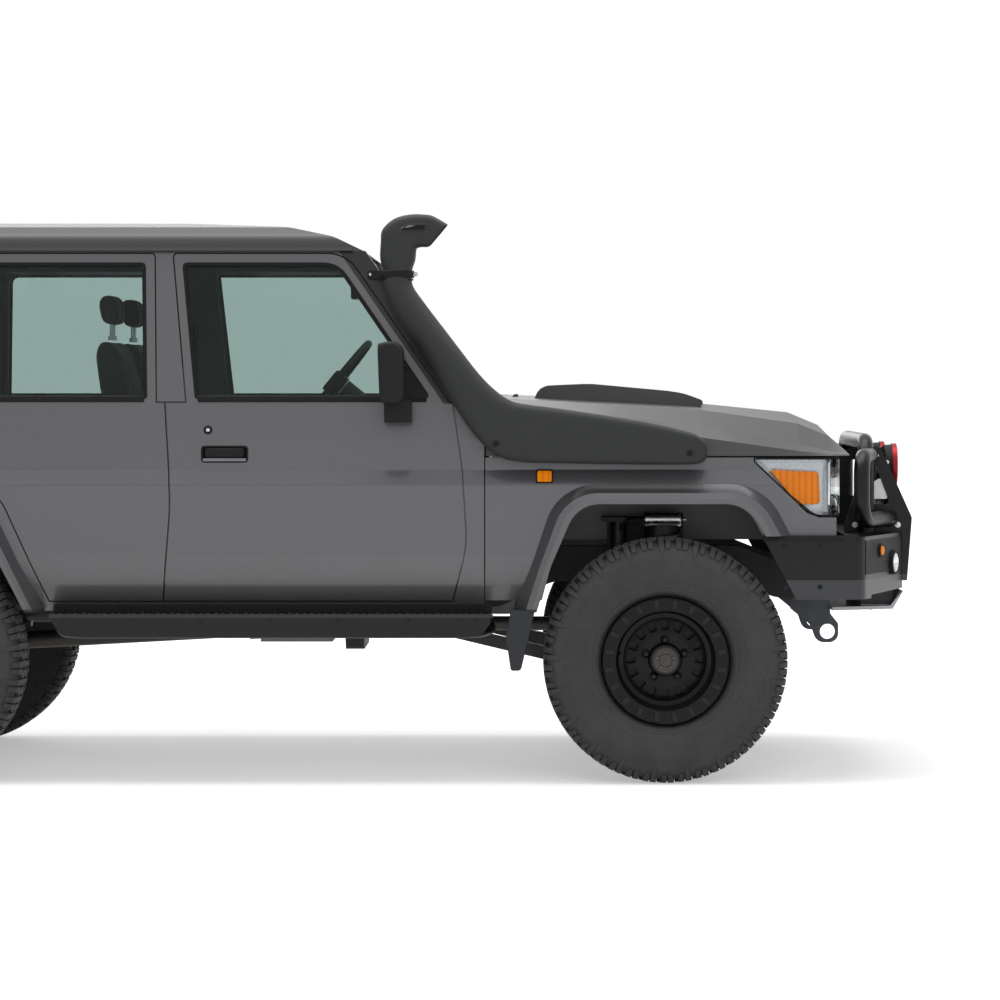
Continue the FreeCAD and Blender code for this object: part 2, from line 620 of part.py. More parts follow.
bonnet_outer = Part.makeLoft([bonnet_section(*line, 0, BONNET_SEAM_Z) for line in BONNET_LINES], True, True)
hollow_lines = [(BONNET_BACK_X - 40,) + BONNET_LINES[0][1:]] + BONNET_LINES[1:4]
hollow_lines.append((BONNET_FRONT_X - BONNET_SKIN, (790, 782, 700, 560), (1172, 1176, 1184, 1196)))
hollow_rings = [bonnet_section(*line, BONNET_SKIN, BONNET_SEAM_Z - 60) for line in hollow_lines]
bonnet_hollow = Part.makeLoft(hollow_rings, True, True)
scoop = side_prism([
    (1080, 1340),
    (1110, 1416, 60),
    (1300, 1424, 400),
    (1640, 1392, 300),
    (1775, 1340, 60),
], -300, 300)
scoop = softened(scoop, 22, lambda e: e.BoundBox.YLength < 0.01 and e.BoundBox.ZMax > 1341)
scoop_mouth = block(1070, 1190, -262, 262, 1386, 1406)
scoop_core = side_prism([
    (1140, 1310),
    (1150, 1400, 40),
    (1300, 1406, 400),
    (1630, 1374, 300),
    (1740, 1310, 40),
], -282, 282)
bonnet = joined(bonnet_outer, scoop).cut(bonnet_hollow).cut(scoop_core).cut(scoop_mouth)
BONNET_PIN_X = WING_BACK_X + 14
BONNET_PIN_Z = 1330
BONNET_PIN_Y = 620
for side in (1, -1):
    inner_y = side * (BONNET_PIN_Y + SEAT_GAP)
    outer_y = side * (BONNET_PIN_Y + 22)
    arm = rod((BONNET_PIN_X, inner_y, BONNET_PIN_Z), (BONNET_PIN_X, outer_y, BONNET_PIN_Z), 10)
    foot = block(BONNET_PIN_X - 6, BONNET_PIN_X + 20, inner_y, outer_y, BONNET_PIN_Z, BONNET_PIN_Z + 28)
    arm = arm.fuse(foot)
    bonnet = bonnet.fuse(arm)
save("bonnet", bonnet)

# Lamps: headlamps that wrap the corner, side repeaters, indicators and driving lamps, rear clusters
lamp_plan = [
    (LAMP_BACK_X, 808),
    (2090, 808, 60),
    (2188, 770, 90),
    (2206, 470, 30),
    (2206, 450, 10),
    (2120, 450),
    (2110, 762, 60),
    (LAMP_BACK_X, 762),
]
headlamp = plan_prism(lamp_plan, LAMP_LOW_Z, WING_TOP_Z - 2)
headlamp = headlamp.common(side_prism(LAMP_OUTLINE, 0, FAR))

# Front panel: grille between the lamps and the radiator frame behind it
GRILLE_X = WING_FRONT_X + 24
NOSE_RAIL_TOP_Z = 765
panel = block(GRILLE_X - 66, GRILLE_X - 20, -446, 446, NOSE_RAIL_TOP_Z, WING_TOP_Z - 4)
panel = panel.cut(block(GRILLE_X - 96, FAR, -360, 360, NOSE_RAIL_TOP_Z + 30, 1100))
bars = [block(GRILLE_X - 22, GRILLE_X, -446, 446, z, z + 22) for z in range(880, 1140, 46)]
frame_left = block(GRILLE_X - 22, GRILLE_X, 418, 446, 868, WING_TOP_Z - 4)
crown_bar = block(GRILLE_X - 22, GRILLE_X + 6, -446, 446, WING_TOP_Z - 34, WING_TOP_Z - 4)
centre_post = block(GRILLE_X - 22, GRILLE_X, -14, 14, 868, WING_TOP_Z - 4)
panel = joined(panel, *bars, frame_left, right_of(frame_left), crown_bar, centre_post)
lamp_tray = block(2060, 2160, APRON_Y + APRON_THICK, 800, BUMPER_TOP_Z + 6, LAMP_LOW_Z)
lamp_tray = joined(lamp_tray, block(2060, 2112, APRON_Y + APRON_THICK, 470, LAMP_LOW_Z, WING_TOP_Z - 4))
tie_plate = block(2092, 2140, APRON_Y, 446, NOSE_RAIL_TOP_Z, WING_TOP_Z - 4)
panel = joined(panel, lamp_tray, right_of(lamp_tray), tie_plate, right_of(tie_plate))
save("front_panel", panel)

# Bumper and bull bar: folded steel wings, two upright plates, tubes, driving lamps and a skid plate
BAR_BACK_X = 2232
CORNER_X = 2262
BUMPER_Y = 880
PLATE_Y = 430
PLATE_THICK = 10
BUMPER_LOW_Z = 655
bumper_plan = [
    (1906, BUMPER_Y),
    (CORNER_X, BUMPER_Y, 60),
    (2447, PLATE_Y, 60),
    (2447, -PLATE_Y, 60),
    (CORNER_X, -BUMPER_Y, 60),
    (1906, -BUMPER_Y),
]
bumper_core = plan_prism([
    (1900, BUMPER_Y - 8),
    (CORNER_X - 3, BUMPER_Y - 8, 54),
    (2439, PLATE_Y - 3, 54),
    (2439, -PLATE_Y + 3, 54),
    (CORNER_X - 3, -BUMPER_Y + 8, 54),
    (1900, -BUMPER_Y + 8),
], BUMPER_LOW_Z - 1, BUMPER_TOP_Z - 8)
bumper = plan_prism(bumper_plan, BUMPER_LOW_Z, BUMPER_TOP_Z).cut(bumper_core)
bumper = bumper.cut(plan_prism([
    (1800, HALF_WIDTH + 4),
    (2170, HALF_WIDTH + 4, 40),
    (2214, HALF_WIDTH - 80, 40),
    (2214, -HALF_WIDTH + 80, 40),
    (2170, -HALF_WIDTH - 4, 40),
    (1800, -HALF_WIDTH - 4),
], BUMPER_TOP_Z - 20, BUMPER_TOP_Z + 1))
bumper = bumper.cut(side_prism([
    (1890, SILL_Z),
    (1890, FAR),
    (1904, FAR),
    (1906, BUMPER_TOP_Z),
    (2027, BUMPER_LOW_Z),
    (2050, SILL_Z),
], -FAR, FAR))
bumper = bumper.cut(side_prism([
    (CORNER_X + 40, BUMPER_LOW_Z - 20),
    (CORNER_X + 40, BUMPER_LOW_Z + 12),
    (FAR, BUMPER_LOW_Z + 90),
    (FAR, BUMPER_LOW_Z - 20),
], -FAR, FAR))
inlet = block(2400, FAR, -PLATE_Y + 60, PLATE_Y - 60, BUMPER_LOW_Z + 70, BUMPER_TOP_Z - 50)
bumper = bumper.cut(inlet)
plate_outline = [
    (BAR_BACK_X, 700),
    (BAR_BACK_X, 905, 30),
    (2268, 1010, 200),
    (2280, 1195, 40),
    (2364, 1195, 40),
    (NOSE_X, 932, 26),
    (NOSE_X - 18, 700),
]
plate_window = [
    (2318, 988, 14),
    (2318, 1127, 14),
    (2348, 1127, 14),
    (2404, 976, 14),
]
plate = side_prism(plate_outline, PLATE_Y - PLATE_THICK, PLATE_Y)
plate = plate.cut(side_prism(plate_window, 0, FAR))
plate_slot = block(2100, FAR, PLATE_Y - PLATE_THICK, PLATE_Y, BUMPER_LOW_Z, BUMPER_TOP_Z)
BAR_R = 29
centre_hoop = bent_tube([
    (2310, -PLATE_Y - 40, 880),
    (2310, -PLATE_Y - 40, 1212),
    (2310, PLATE_Y + 40, 1212),
    (2310, PLATE_Y + 40, 880),
], BAR_R, 90)
side_hoop = bent_tube([
    (2330, PLATE_Y - 4, 1160),
    (2270, 748, 1160),
    (2270, 748, 930),
    (2400, PLATE_Y - 4, 930),
], BAR_R, 80)
mid_tube = rod((2400, -PLATE_Y, 950), (2400, PLATE_Y, 950), BAR_R - 4)
mount_arm = block(2196, 2440, 335, 395, 690, 720)
skid_profile = [
    (2190, 588),
    (2190, 600),
    (2405, 606),
    (2440, 664),
    (2452, 660),
    (2413, 594),
]
skid = side_prism(skid_profile, -PLATE_Y + 20, PLATE_Y - 20)
skid_ribs = [block(2300, 2420, y - 5, y + 5, 600, 692) for y in (-350, 350)]
bull_bar = joined(
    bumper, plate, right_of(plate), centre_hoop, side_hoop, right_of(side_hoop), mid_tube,
    mount_arm, right_of(mount_arm), skid, *skid_ribs,
)
save("bull_bar", bull_bar)

# Recovery points under the nose, a bracket and an eye on each chassis rail
TOW_Y = (RAIL_IN + RAIL_OUT) / 2
TOW_X = 2175
TOW_Z = 508
TOW_HOLE_R = 28
TOW_THICK = 16
NOSE_RAIL_Z = 635
tow_eye = side_prism([
    (2035, NOSE_RAIL_Z),
    (2035, NOSE_RAIL_Z - 40, 20),
    (TOW_X - 62, TOW_Z + 24, 40),
    (TOW_X - 40, TOW_Z - 40, 38),
    (TOW_X + 40, TOW_Z - 40, 38),
    (TOW_X + 40, TOW_Z + 30, 20),
    (2185, NOSE_RAIL_Z - 60, 20),
    (2185, NOSE_RAIL_Z),
], TOW_Y - TOW_THICK / 2, TOW_Y + TOW_THICK / 2)
tow_eye = tow_eye.cut(disc((TOW_X, TOW_Y, TOW_Z), (0, 1, 0), TOW_HOLE_R, TOW_THICK * 3))
tow_eye = joined(tow_eye, block(2040, 2180, TOW_Y - 30, TOW_Y + 30, NOSE_RAIL_Z - 10, NOSE_RAIL_Z))
save("left_tow_eye", tow_eye)
save("right_tow_eye", right_of(tow_eye))

# Ladder frame: two rails that kick up over the axles, cross tubes and body mounts
FRAME_BACK_X = BODY_BACK_X + 20
rail = side_prism([
    (FRAME_BACK_X, 785),
    (FRAME_BACK_X, 915),
    (-900, 915, 150),
    (-700, 730, 150),
    (960, 730, 150),
    (1150, 825, 150),
    (1850, 825, 120),
    (2000, NOSE_RAIL_TOP_Z, 120),
    (2190, NOSE_RAIL_TOP_Z),
    (2190, NOSE_RAIL_Z),
    (1980, NOSE_RAIL_Z, 120),
    (1830, 695, 120),
    (1160, 695, 120),
    (960, 600, 120),
    (-680, 600, 120),
    (-880, 785, 120),
], RAIL_IN, RAIL_OUT)
cross_members = [
    block(x - 35, x + 35, -RAIL_IN, RAIL_IN, low, low + 60)
    for x, low in ((2155, 640), (1300, 690), (-500, 640), (-960, 810), (-1420, 810), (FRAME_BACK_X + 35, 820))
]
gearbox_member = cross_prism([
    (-RAIL_IN, 650),
    (-RAIL_IN, 604),
    (-200, 430, 40),
    (200, 430, 40),
    (RAIL_IN, 604),
    (RAIL_IN, 650),
    (186, 466, 40),
    (-186, 466, 40),
], 385, 455)
save("gearbox_crossmember", gearbox_member)
coil_y = 485
tower = block(1340, 1640, RAIL_OUT, 548, 920, 936)
tower = joined(tower, block(1360, 1640, RAIL_OUT, RAIL_OUT + 14, 700, 936))
spring_y = 500
SPRING_HALF = 36
FRONT_EYE = (-600, 640)
REAR_EYE = (-1760, 660)
cheeks = []
for (eye_x, eye_z), top in ((FRONT_EYE, 724), (REAR_EYE, 806)):
    for y in (spring_y - SPRING_HALF - 10, spring_y + SPRING_HALF):
        cheeks.append(side_prism([
            (eye_x - 32, eye_z - 30, 30),
            (eye_x + 32, eye_z - 30, 30),
            (eye_x + 40, top),
            (eye_x - 40, top),
        ], y, y + 10))
    cheeks.append(block(eye_x - 40, eye_x + 40, RAIL_OUT, spring_y + SPRING_HALF + 10, top - 16, top))
arm_bracket = block(655, 745, 343, 397, 555, 600)
body_mounts = [disc((x, 365, 736), (0, 0, 1), 38, 12) for x in (820, 100, -440)]
body_mounts += [disc((x, 365, 917.5), (0, 0, 1), 38, 5) for x in (-900, -1500, BODY_BACK_X + 85)]
brackets = [tower, *cheeks, arm_bracket, *body_mounts]
brackets = solids_of(joined(brackets[0], *brackets[1:]).cut(rail))
save("chassis_rails", both(rail))
save("frame_brackets", Part.makeCompound(brackets + [right_of(s) for s in brackets] + cross_members))

# Floor pan: cab floor, load floor and wheel houses, held to the sills
FLOOR_LOW_Z = 742
LOAD_LOW_Z = 920
FLOOR_THICK = 22


def cabin_fill(shift, x0, x1, z0, z1):
    """The space between the two side walls at a depth under the skin."""
    line = skin_line(shift)
    ring = line + [(-point[0],) + point[1:] for point in line[::-1]]
    return cross_prism(ring, x0, x1).common(block(x0 - 1, x1 + 1, -FAR, FAR, z0, z1))


BULKHEAD_X = WING_BACK_X - 32
floor = cabin_fill(DOOR_DEPTH + 8, -600, BULKHEAD_X, FLOOR_LOW_Z, FLOOR_LOW_Z + FLOOR_THICK)
sill_web = cabin_fill(DOOR_DEPTH + SEAT_GAP, -600, BULKHEAD_X, 630, 648).cut(block(-900, 1200, -620, 620, 0, FAR))
sill_plates = both(block(-600, BULKHEAD_X, 620, 640, 648, FLOOR_LOW_Z))
riser = cabin_fill(DOOR_DEPTH + 8, -620, -600, FLOOR_LOW_Z, LOAD_LOW_Z)
load_floor = cabin_fill(DOOR_DEPTH + SEAT_GAP, BODY_BACK_X + 10, -1080, LOAD_LOW_Z, LOAD_LOW_Z + FLOOR_THICK)
load_front = cabin_fill(DOOR_DEPTH + 8, -1080, -600, LOAD_LOW_Z, LOAD_LOW_Z + FLOOR_THICK)
HOUSE_Y = 590
inner_house = side_prism(arch(*REAR_ARCH, LINER_THICK, 690), HOUSE_Y, FAR)
inner_house = inner_house.cut(side_prism(arch(*REAR_ARCH, 0, 689), HOUSE_Y + LINER_THICK, FAR))
inner_house = inner_house.common(cabin_fill(DOOR_DEPTH + 8, REAR_AXLE_X - 600, REAR_AXLE_X + 600, 690, FAR))
house_void = side_prism(arch(*REAR_ARCH, 0, 600), HOUSE_Y + LINER_THICK, FAR)
house_void = joined(house_void, right_of(house_void))
load_floor = joined(joined(load_floor, load_front).cut(house_void), inner_house, right_of(inner_house))
riser = riser.cut(load_floor)
save("body_floor", Part.makeCompound([floor, sill_web, sill_plates, riser, load_floor]))

# Bulkhead with the scuttle in front of the windscreen
bulkhead = cabin_fill(DOOR_DEPTH + SEAT_GAP, BULKHEAD_X, WING_BACK_X, FLOOR_LOW_Z, 1320)
scuttle = cabin_fill(DOOR_DEPTH + SEAT_GAP, 800, WING_BACK_X - 24, 1318, 1331)
ridge = cabin_fill(DOOR_DEPTH + SEAT_GAP, 818, 838, 1325, BELT_Z + 1.7)
bulkhead = joined(bulkhead, scuttle, ridge)
for side in (1, -1):
    near_y = side * (BONNET_PIN_Y - 26)
    far_y = side * BONNET_PIN_Y
    ear = rod((BONNET_PIN_X, near_y, BONNET_PIN_Z), (BONNET_PIN_X, far_y, BONNET_PIN_Z), 10)
    ear = ear.fuse(block(WING_BACK_X - 10, BONNET_PIN_X, near_y, far_y, BONNET_PIN_Z - 20, BONNET_PIN_Z))
    bulkhead = bulkhead.fuse(ear)
save("bulkhead", bulkhead)

# Front axle: a live axle with its differential, spring pads and ball ends
AXLE_TOP_Z = AXLE_Z + AXLE_TUBE_R
DIFF_Y = 130
BALL_R = 62
ARM_Y = (343 + 397) / 2
FX = FRONT_AXLE_X
RX = REAR_AXLE_X
tube = rod((FX, -KINGPIN_Y, AXLE_Z), (FX, KINGPIN_Y, AXLE_Z), AXLE_TUBE_R)
diff = turned([
    (-110, 0), (-110, 50), (-60, 84), (0, 95), (60, 84), (110, 50), (110, 0),
], (FX, DIFF_Y, AXLE_Z), (0, 1, 0))
pinion = turned([(0, 0), (0, 62), (110, 44), (150, 40), (150, 0)], (FX - 60, DIFF_Y, 505), (-1, 0, 0))
ends = []
for side in (1, -1):
    ends.append(Part.makeSphere(BALL_R, V(FX, side * KINGPIN_Y, AXLE_Z)))
    ends.append(disc((FX, side * coil_y, AXLE_TOP_Z + 12), (0, 0, 1), 76, 16))
    ends.append(block(FX - 40, FX + 40, side * (coil_y - 34), side * (coil_y + 34), AXLE_Z, AXLE_TOP_Z + 6))
    ends.append(block(FX - 50, FX + 50, side * (ARM_Y - 25), side * (ARM_Y + 25), 375, AXLE_Z))
    ends.append(block(1372, FX, side * (coil_y - 38), side * (coil_y + 2), AXLE_TOP_Z - 18, AXLE_TOP_Z + 4))
save("front_axle", joined(tube, diff, pinion, *ends))

# Steering knuckles: cups over the axle balls, each with a stub flange and a steering arm
CUP_CLEAR = 0.8
CUP_OUT_R = 84
HUB_FACE_Y = 735
STEER_ARM = 150
PIN_R = 9
ROD_R = 12
ROD_Z = AXLE_Z
ROD_END_R = 24
cup = Part.makeSphere(CUP_OUT_R, V(FX, KINGPIN_Y, AXLE_Z)).cut(block(0, FAR, 0, KINGPIN_Y - 10, 0, FAR))
cup = cup.common(block(0, FAR, 0, HUB_FACE_Y, 0, FAR))
cup = joined(cup, disc((FX, HUB_FACE_Y - 16, AXLE_Z), (0, 1, 0), 78, 32))
for end_z in (AXLE_Z + 78, AXLE_Z - 78):
    cup = joined(cup, disc((FX, KINGPIN_Y, end_z), (0, 0, 1), 30, 26))
arm_low = ROD_Z - ROD_R - SEAT_GAP - 18
arm_plate = plan_prism([
    (FX - 50, KINGPIN_Y + 26),
    (FX - STEER_ARM - 22, KINGPIN_Y + 22, 20),
    (FX - STEER_ARM - 22, KINGPIN_Y - 22, 20),
    (FX - 50, KINGPIN_Y - 10),
], arm_low, arm_low + 18)
arm_pin = rod((FX - STEER_ARM, KINGPIN_Y, arm_low), (FX - STEER_ARM, KINGPIN_Y, ROD_Z + ROD_R + 4), PIN_R)
knuckle = joined(cup, arm_plate, arm_pin)
knuckle = knuckle.cut(Part.makeSphere(BALL_R + CUP_CLEAR, V(FX, KINGPIN_Y, AXLE_Z)))
save("left_knuckle", knuckle)
save("right_knuckle", right_of(knuckle))

# Tie rod between the steering arms
rod_x = FX - STEER_ARM
tie = rod((rod_x, -KINGPIN_Y, ROD_Z), (rod_x, KINGPIN_Y, ROD_Z), ROD_R)
for side in (1, -1):
    tie = joined(tie, disc((rod_x, side * KINGPIN_Y, ROD_Z), (0, 0, 1), ROD_END_R, ROD_R * 2))
for side in (1, -1):
    tie = tie.cut(disc((rod_x, side * KINGPIN_Y, ROD_Z), (0, 0, 1), PIN_R + SEAT_GAP, 90))
save("tie_rod", tie)

# Wheels: a deep steel rim with a bolted outer ring, and a wide all-terrain tyre on it
RIM_HALF = RIM_WIDTH / 2
SEAT_R = 214
BARREL_R = 200
DISC_OUT_R = 166
SLOT_COUNT = 16
RING_BOLTS = 20
STUD_COUNT = 5
STUD_PCD = 150
DISC_Y = 36


def hexagon(centre, across, y0, y1):
    """A hexagon bar along Y."""
    r = across / math.sqrt(3)
    turn = [math.radians(60 * k) for k in range(6)]
    corners = [(centre[0] + r * math.cos(t), centre[1] + r * math.sin(t)) for t in turn]
    return side_prism(corners, y0, y1)


def wheel_rim(hub_back=None):
    """A rim centred on the origin, outer face towards +Y; its hub and brake disc reach back to hub_back."""
    barrel = turned([
        (-RIM_HALF, BARREL_R + 8), (-RIM_HALF, RIM_R), (-RIM_HALF + 8, RIM_R), (-RIM_HALF + 12, SEAT_R),
        (RIM_HALF - 12, SEAT_R), (RIM_HALF - 8, RIM_R), (RIM_HALF, RIM_R), (RIM_HALF + 6, RIM_R - 8),
        (RIM_HALF + 6, 178), (RIM_HALF - 2, 172), (RIM_HALF - 10, 172), (RIM_HALF - 14, 184),
        (RIM_HALF - 40, 196), (-RIM_HALF + 10, BARREL_R),
    ], (0, 0, 0), (0, 1, 0))
    plate = turned([
        (DISC_Y - 8, 0), (DISC_Y - 8, 90), (DISC_Y - 20, 150), (DISC_Y - 12, DISC_OUT_R), (DISC_Y + 14, 198),
        (DISC_Y + 22, 198), (DISC_Y - 4, DISC_OUT_R), (DISC_Y - 10, 150), (DISC_Y + 2, 92), (DISC_Y + 2, 62),
        (DISC_Y + 34, 54), (DISC_Y + 34, 0),
    ], (0, 0, 0), (0, 1, 0))
    slot = side_prism([(-13, 106, 5), (-16, 140, 6), (16, 140, 6), (13, 106, 5)], -RIM_HALF, RIM_HALF)
    for k in range(SLOT_COUNT):
        turned_slot = slot.copy()
        turned_slot.rotate(V(0, 0, 0), V(0, 1, 0), 360 * k / SLOT_COUNT)
        plate = plate.cut(turned_slot)
    made = joined(barrel, plate)
    if hub_back is not None:
        hub = disc((0, (hub_back + DISC_Y - 8) / 2, 0), (0, 1, 0), 62, DISC_Y - 8 - hub_back)
        made = joined(made, hub, disc((0, hub_back + 14, 0), (0, 1, 0), 158, 22))
    extras = []
    for k in range(RING_BOLTS):
        t = 2 * math.pi * k / RING_BOLTS
        extras.append(hexagon((203 * math.cos(t), 203 * math.sin(t)), 11, RIM_HALF + 4, RIM_HALF + 11))
    for k in range(STUD_COUNT):
        t = 2 * math.pi * k / STUD_COUNT + 0.3
        extras.append(hexagon((STUD_PCD / 2 * math.cos(t), STUD_PCD / 2 * math.sin(t)), 21, DISC_Y, DISC_Y + 22))
    return made.fuse(extras)


TYRE_HALF = TYRE_WIDTH / 2
TYRE_PROFILE = [
    (-RIM_HALF + 14, SEAT_R + SEAT_GAP),
    (-RIM_HALF + 14, RIM_R + 2, 5),
    (-TYRE_HALF, TYRE_R - 105, 70),
    (-TYRE_HALF + 12, TYRE_R - 34, 16),
    (-TYRE_HALF + 42, TYRE_R, 14),
    (TYRE_HALF - 42, TYRE_R, 14),
    (TYRE_HALF - 12, TYRE_R - 34, 16),
    (TYRE_HALF, TYRE_R - 105, 70),
    (RIM_HALF - 14, RIM_R + 2, 5),
    (RIM_HALF - 14, SEAT_R + SEAT_GAP),
]
tyre = face_of(TYRE_PROFILE, lambda p: V(0, p.x, p.y)).revolve(V(0, 0, 0), V(0, 1, 0), 360)
front_rim = wheel_rim(HUB_FACE_Y + SEAT_GAP - WHEEL_Y)
REAR_TUBE_END = 700
rear_rim = wheel_rim(REAR_TUBE_END + SEAT_GAP - WHEEL_Y)


def placed(shape, x, y, z):
    made = shape.copy()
    made.translate(V(x, y, z))
    return made


for end, x, rim in (("front", FX, front_rim), ("rear", RX, rear_rim)):
    left_rim = placed(rim, x, WHEEL_Y, AXLE_Z)
    left_tyre = placed(tyre, x, WHEEL_Y, AXLE_Z)
    save("left_" + end + "_rim", left_rim)
    save("left_" + end + "_tyre", left_tyre)
    save("right_" + end + "_rim", right_of(left_rim))
    save("right_" + end + "_tyre", right_of(left_tyre))

# Front suspension: radius arms under the axle, coil springs, dampers and remote canisters
radius_arm = side_prism([
    (FX + 78, 345, 14),
    (FX + 78, 375, 14),
    (FX - 70, 375),
    (745, 540, 60),
    (745, 555),
    (655, 555),
    (655, 500, 20),
    (735, 500, 60),
    (FX - 80, 322, 60),
    (FX + 50, 330, 20),
], ARM_Y - 25, ARM_Y + 25)
spring = disc((FX, coil_y, (AXLE_TOP_Z + 20 + 920) / 2), (0, 0, 1), 65, 920 - AXLE_TOP_Z - 20)
spring = spring.cut(disc((FX, coil_y, 700), (0, 0, 1), 51, 900))
damper = joined(
    rod((1400, coil_y - 18, AXLE_TOP_Z + 4), (1400, coil_y - 18, 730), 16),
    rod((1400, coil_y - 18, 700), (1400, coil_y - 18, 920), 29),
)
canister = joined(
    rod((1490, 585, 930), (1632, 585, 930), 24),
    block(1520, 1540, 548, 585, 921, 935),
    block(1590, 1610, 548, 585, 921, 935),
)
front_suspension = [radius_arm, spring, damper, canister]
save("front_suspension", Part.makeCompound(front_suspension + [right_of(s) for s in front_suspension]))

# Rear axle on leaf springs
rear_tube = rod((RX, -REAR_TUBE_END, AXLE_Z), (RX, REAR_TUBE_END, AXLE_Z), 46)
rear_diff = turned([
    (-120, 0), (-120, 54), (-70, 96), (0, 112), (70, 96), (120, 54), (120, 0),
], (RX, 0, AXLE_Z), (0, 1, 0))
rear_pinion = turned([(0, 0), (0, 70), (150, 48), (210, 42), (210, 0)], (RX + 40, 0, AXLE_Z + 10), (1, 0, 0))
rear_ends = []
for side in (1, -1):
    rear_ends.append(disc((RX, side * (REAR_TUBE_END - 12), AXLE_Z), (0, 1, 0), 88, 24))
    rear_ends.append(block(RX - 60, RX + 60, side * (spring_y - 34), side * (spring_y + 34), AXLE_Z, AXLE_Z + 62))
    rear_ends.append(block(RX, RX + 100, side * (spring_y - 34), side * (spring_y - 10), AXLE_Z + 14, AXLE_Z + 58))
save("rear_axle", joined(rear_tube, rear_diff, rear_pinion, *rear_ends))

# Rear suspension: leaf packs with their clamps, shackles and dampers
PAD_Z = AXLE_Z + 62
mid_leaf = PAD_Z + 26


def leaf(x0, x1, rise0, rise1, low, thick):
    """One bowed leaf between two eyes, lying over the axle pad."""
    y = spring_y - 30
    top = Part.Arc(V(x0, y, rise0 + thick), V(RX, y, low + thick), V(x1, y, rise1 + thick))
    under = Part.Arc(V(x0, y, rise0), V(RX, y, low), V(x1, y, rise1))
    start = Part.makeLine(V(x0, y, rise0 + thick), V(x0, y, rise0))
    end = Part.makeLine(V(x1, y, rise1), V(x1, y, rise1 + thick))
    wire = Part.Wire(Part.__sortEdges__([top.toShape(), under.toShape(), start, end]))
    return Part.Face(wire).extrude(V(0, 60, 0))


SHACKLE_EYE = (REAR_EYE[0] - 12, REAR_EYE[1] - 110)
main_leaf = leaf(SHACKLE_EYE[0], FRONT_EYE[0], SHACKLE_EYE[1] + 6, FRONT_EYE[1] - 34, mid_leaf, 16)
short_leaf = leaf(RX - 430, RX + 420, mid_leaf + 16, mid_leaf + 12, PAD_Z + 8, 20)
clamp = block(RX - 60, RX + 60, spring_y - 34, spring_y + 34, PAD_Z, mid_leaf + 34)
front_eye = disc((FRONT_EYE[0], spring_y, FRONT_EYE[1]), (0, 1, 0), 26, SPRING_HALF * 2)
eye_x, eye_z = FRONT_EYE
eye_root = block(eye_x - 16, eye_x, spring_y - 30, spring_y + 30, eye_z - 34, eye_z)
front_eye = joined(front_eye, eye_root)
shackle = joined(
    rod(
        (REAR_EYE[0], spring_y - SPRING_HALF, REAR_EYE[1]),
        (REAR_EYE[0], spring_y + SPRING_HALF, REAR_EYE[1]),
        18,
    ),
    disc((SHACKLE_EYE[0], spring_y, SHACKLE_EYE[1]), (0, 1, 0), 24, 62),
    block(REAR_EYE[0] - 24, REAR_EYE[0] + 14, spring_y - 34, spring_y - 30, SHACKLE_EYE[1], REAR_EYE[1]),
    block(REAR_EYE[0] - 24, REAR_EYE[0] + 14, spring_y + 30, spring_y + 34, SHACKLE_EYE[1], REAR_EYE[1]),
)
DAMPER_Y = 432
rear_damper = joined(
    rod((RX + 80, DAMPER_Y, AXLE_Z + 36), (RX + 190, DAMPER_Y, 740), 14),
    rod((RX + 150, DAMPER_Y, 644), (RX + 216, DAMPER_Y, 806), 24),
    rod((RX + 214, RAIL_OUT, 806), (RX + 214, DAMPER_Y, 806), 14),
    rod((RX + 80, DAMPER_Y, AXLE_Z + 36), (RX + 80, spring_y - 34, AXLE_Z + 36), 14),
)
rear_spring = joined(main_leaf, short_leaf, clamp, front_eye, shackle)
rear_parts = [rear_spring, rear_damper, right_of(rear_spring), right_of(rear_damper)]
save("rear_suspension", Part.makeCompound(rear_parts))

# Powertrain: engine, gearbox and transfer case as plain closed castings on two mounts
engine = softened(block(1010, 1560, -225, 225, 752, 1150), 30)
head = softened(block(1040, 1540, -120, 150, 1140, 1215), 18)
bell = block(925, 1020, -165, 165, 560, 900)
sump = block(1345, 1540, -150, 150, 640, 760)
gearbox = block(330, 926, -92, 92, 542, 688)
transfer = block(60, 331, -110, 185, 452, 690)
front_output = rod((330, DIFF_Y, 510), (380, DIFF_Y, 510), 36)
mount_feet = [block(1170, 1250, side * 220, side * RAIL_IN, 765, 800) for side in (1, -1)]
fan = rod((1560, 0, 950), (1600, 0, 950), 90)
powertrain = joined(engine, head, bell, sump, gearbox, transfer, front_output, fan, *mount_feet)
radiator_y = APRON_Y - SEAT_GAP
radiator = block(2040, 2092 - SEAT_GAP, -radiator_y, radiator_y, 800, 1120)
save("powertrain", Part.makeCompound([powertrain, radiator]))

# Propeller shafts with their joints
front_shaft = joined(
    rod((380, DIFF_Y, 510), (FX - 210, DIFF_Y, 505), 27),
    rod((380, DIFF_Y, 510), (420, DIFF_Y, 510), 40).common(block(380, 500, 0, 400, 478, 600)),
    rod((FX - 250, DIFF_Y, 505), (FX - 210, DIFF_Y, 505), 38),
)
rear_shaft = joined(
    rod((60, 0, 500), (RX + 250, 0, AXLE_Z + 10), 33),
    rod((60, 0, 500), (10, 0, 498), 44),
    rod((RX + 290, 0, AXLE_Z + 12), (RX + 250, 0, AXLE_Z + 10), 46),
)
front_shaft = front_shaft.common(block(380, FX - 210, -FAR, FAR, 0, FAR))
rear_shaft = rear_shaft.common(block(RX + 250, 60, -FAR, FAR, 0, FAR))
save("propshafts", Part.makeCompound([front_shaft, rear_shaft]))

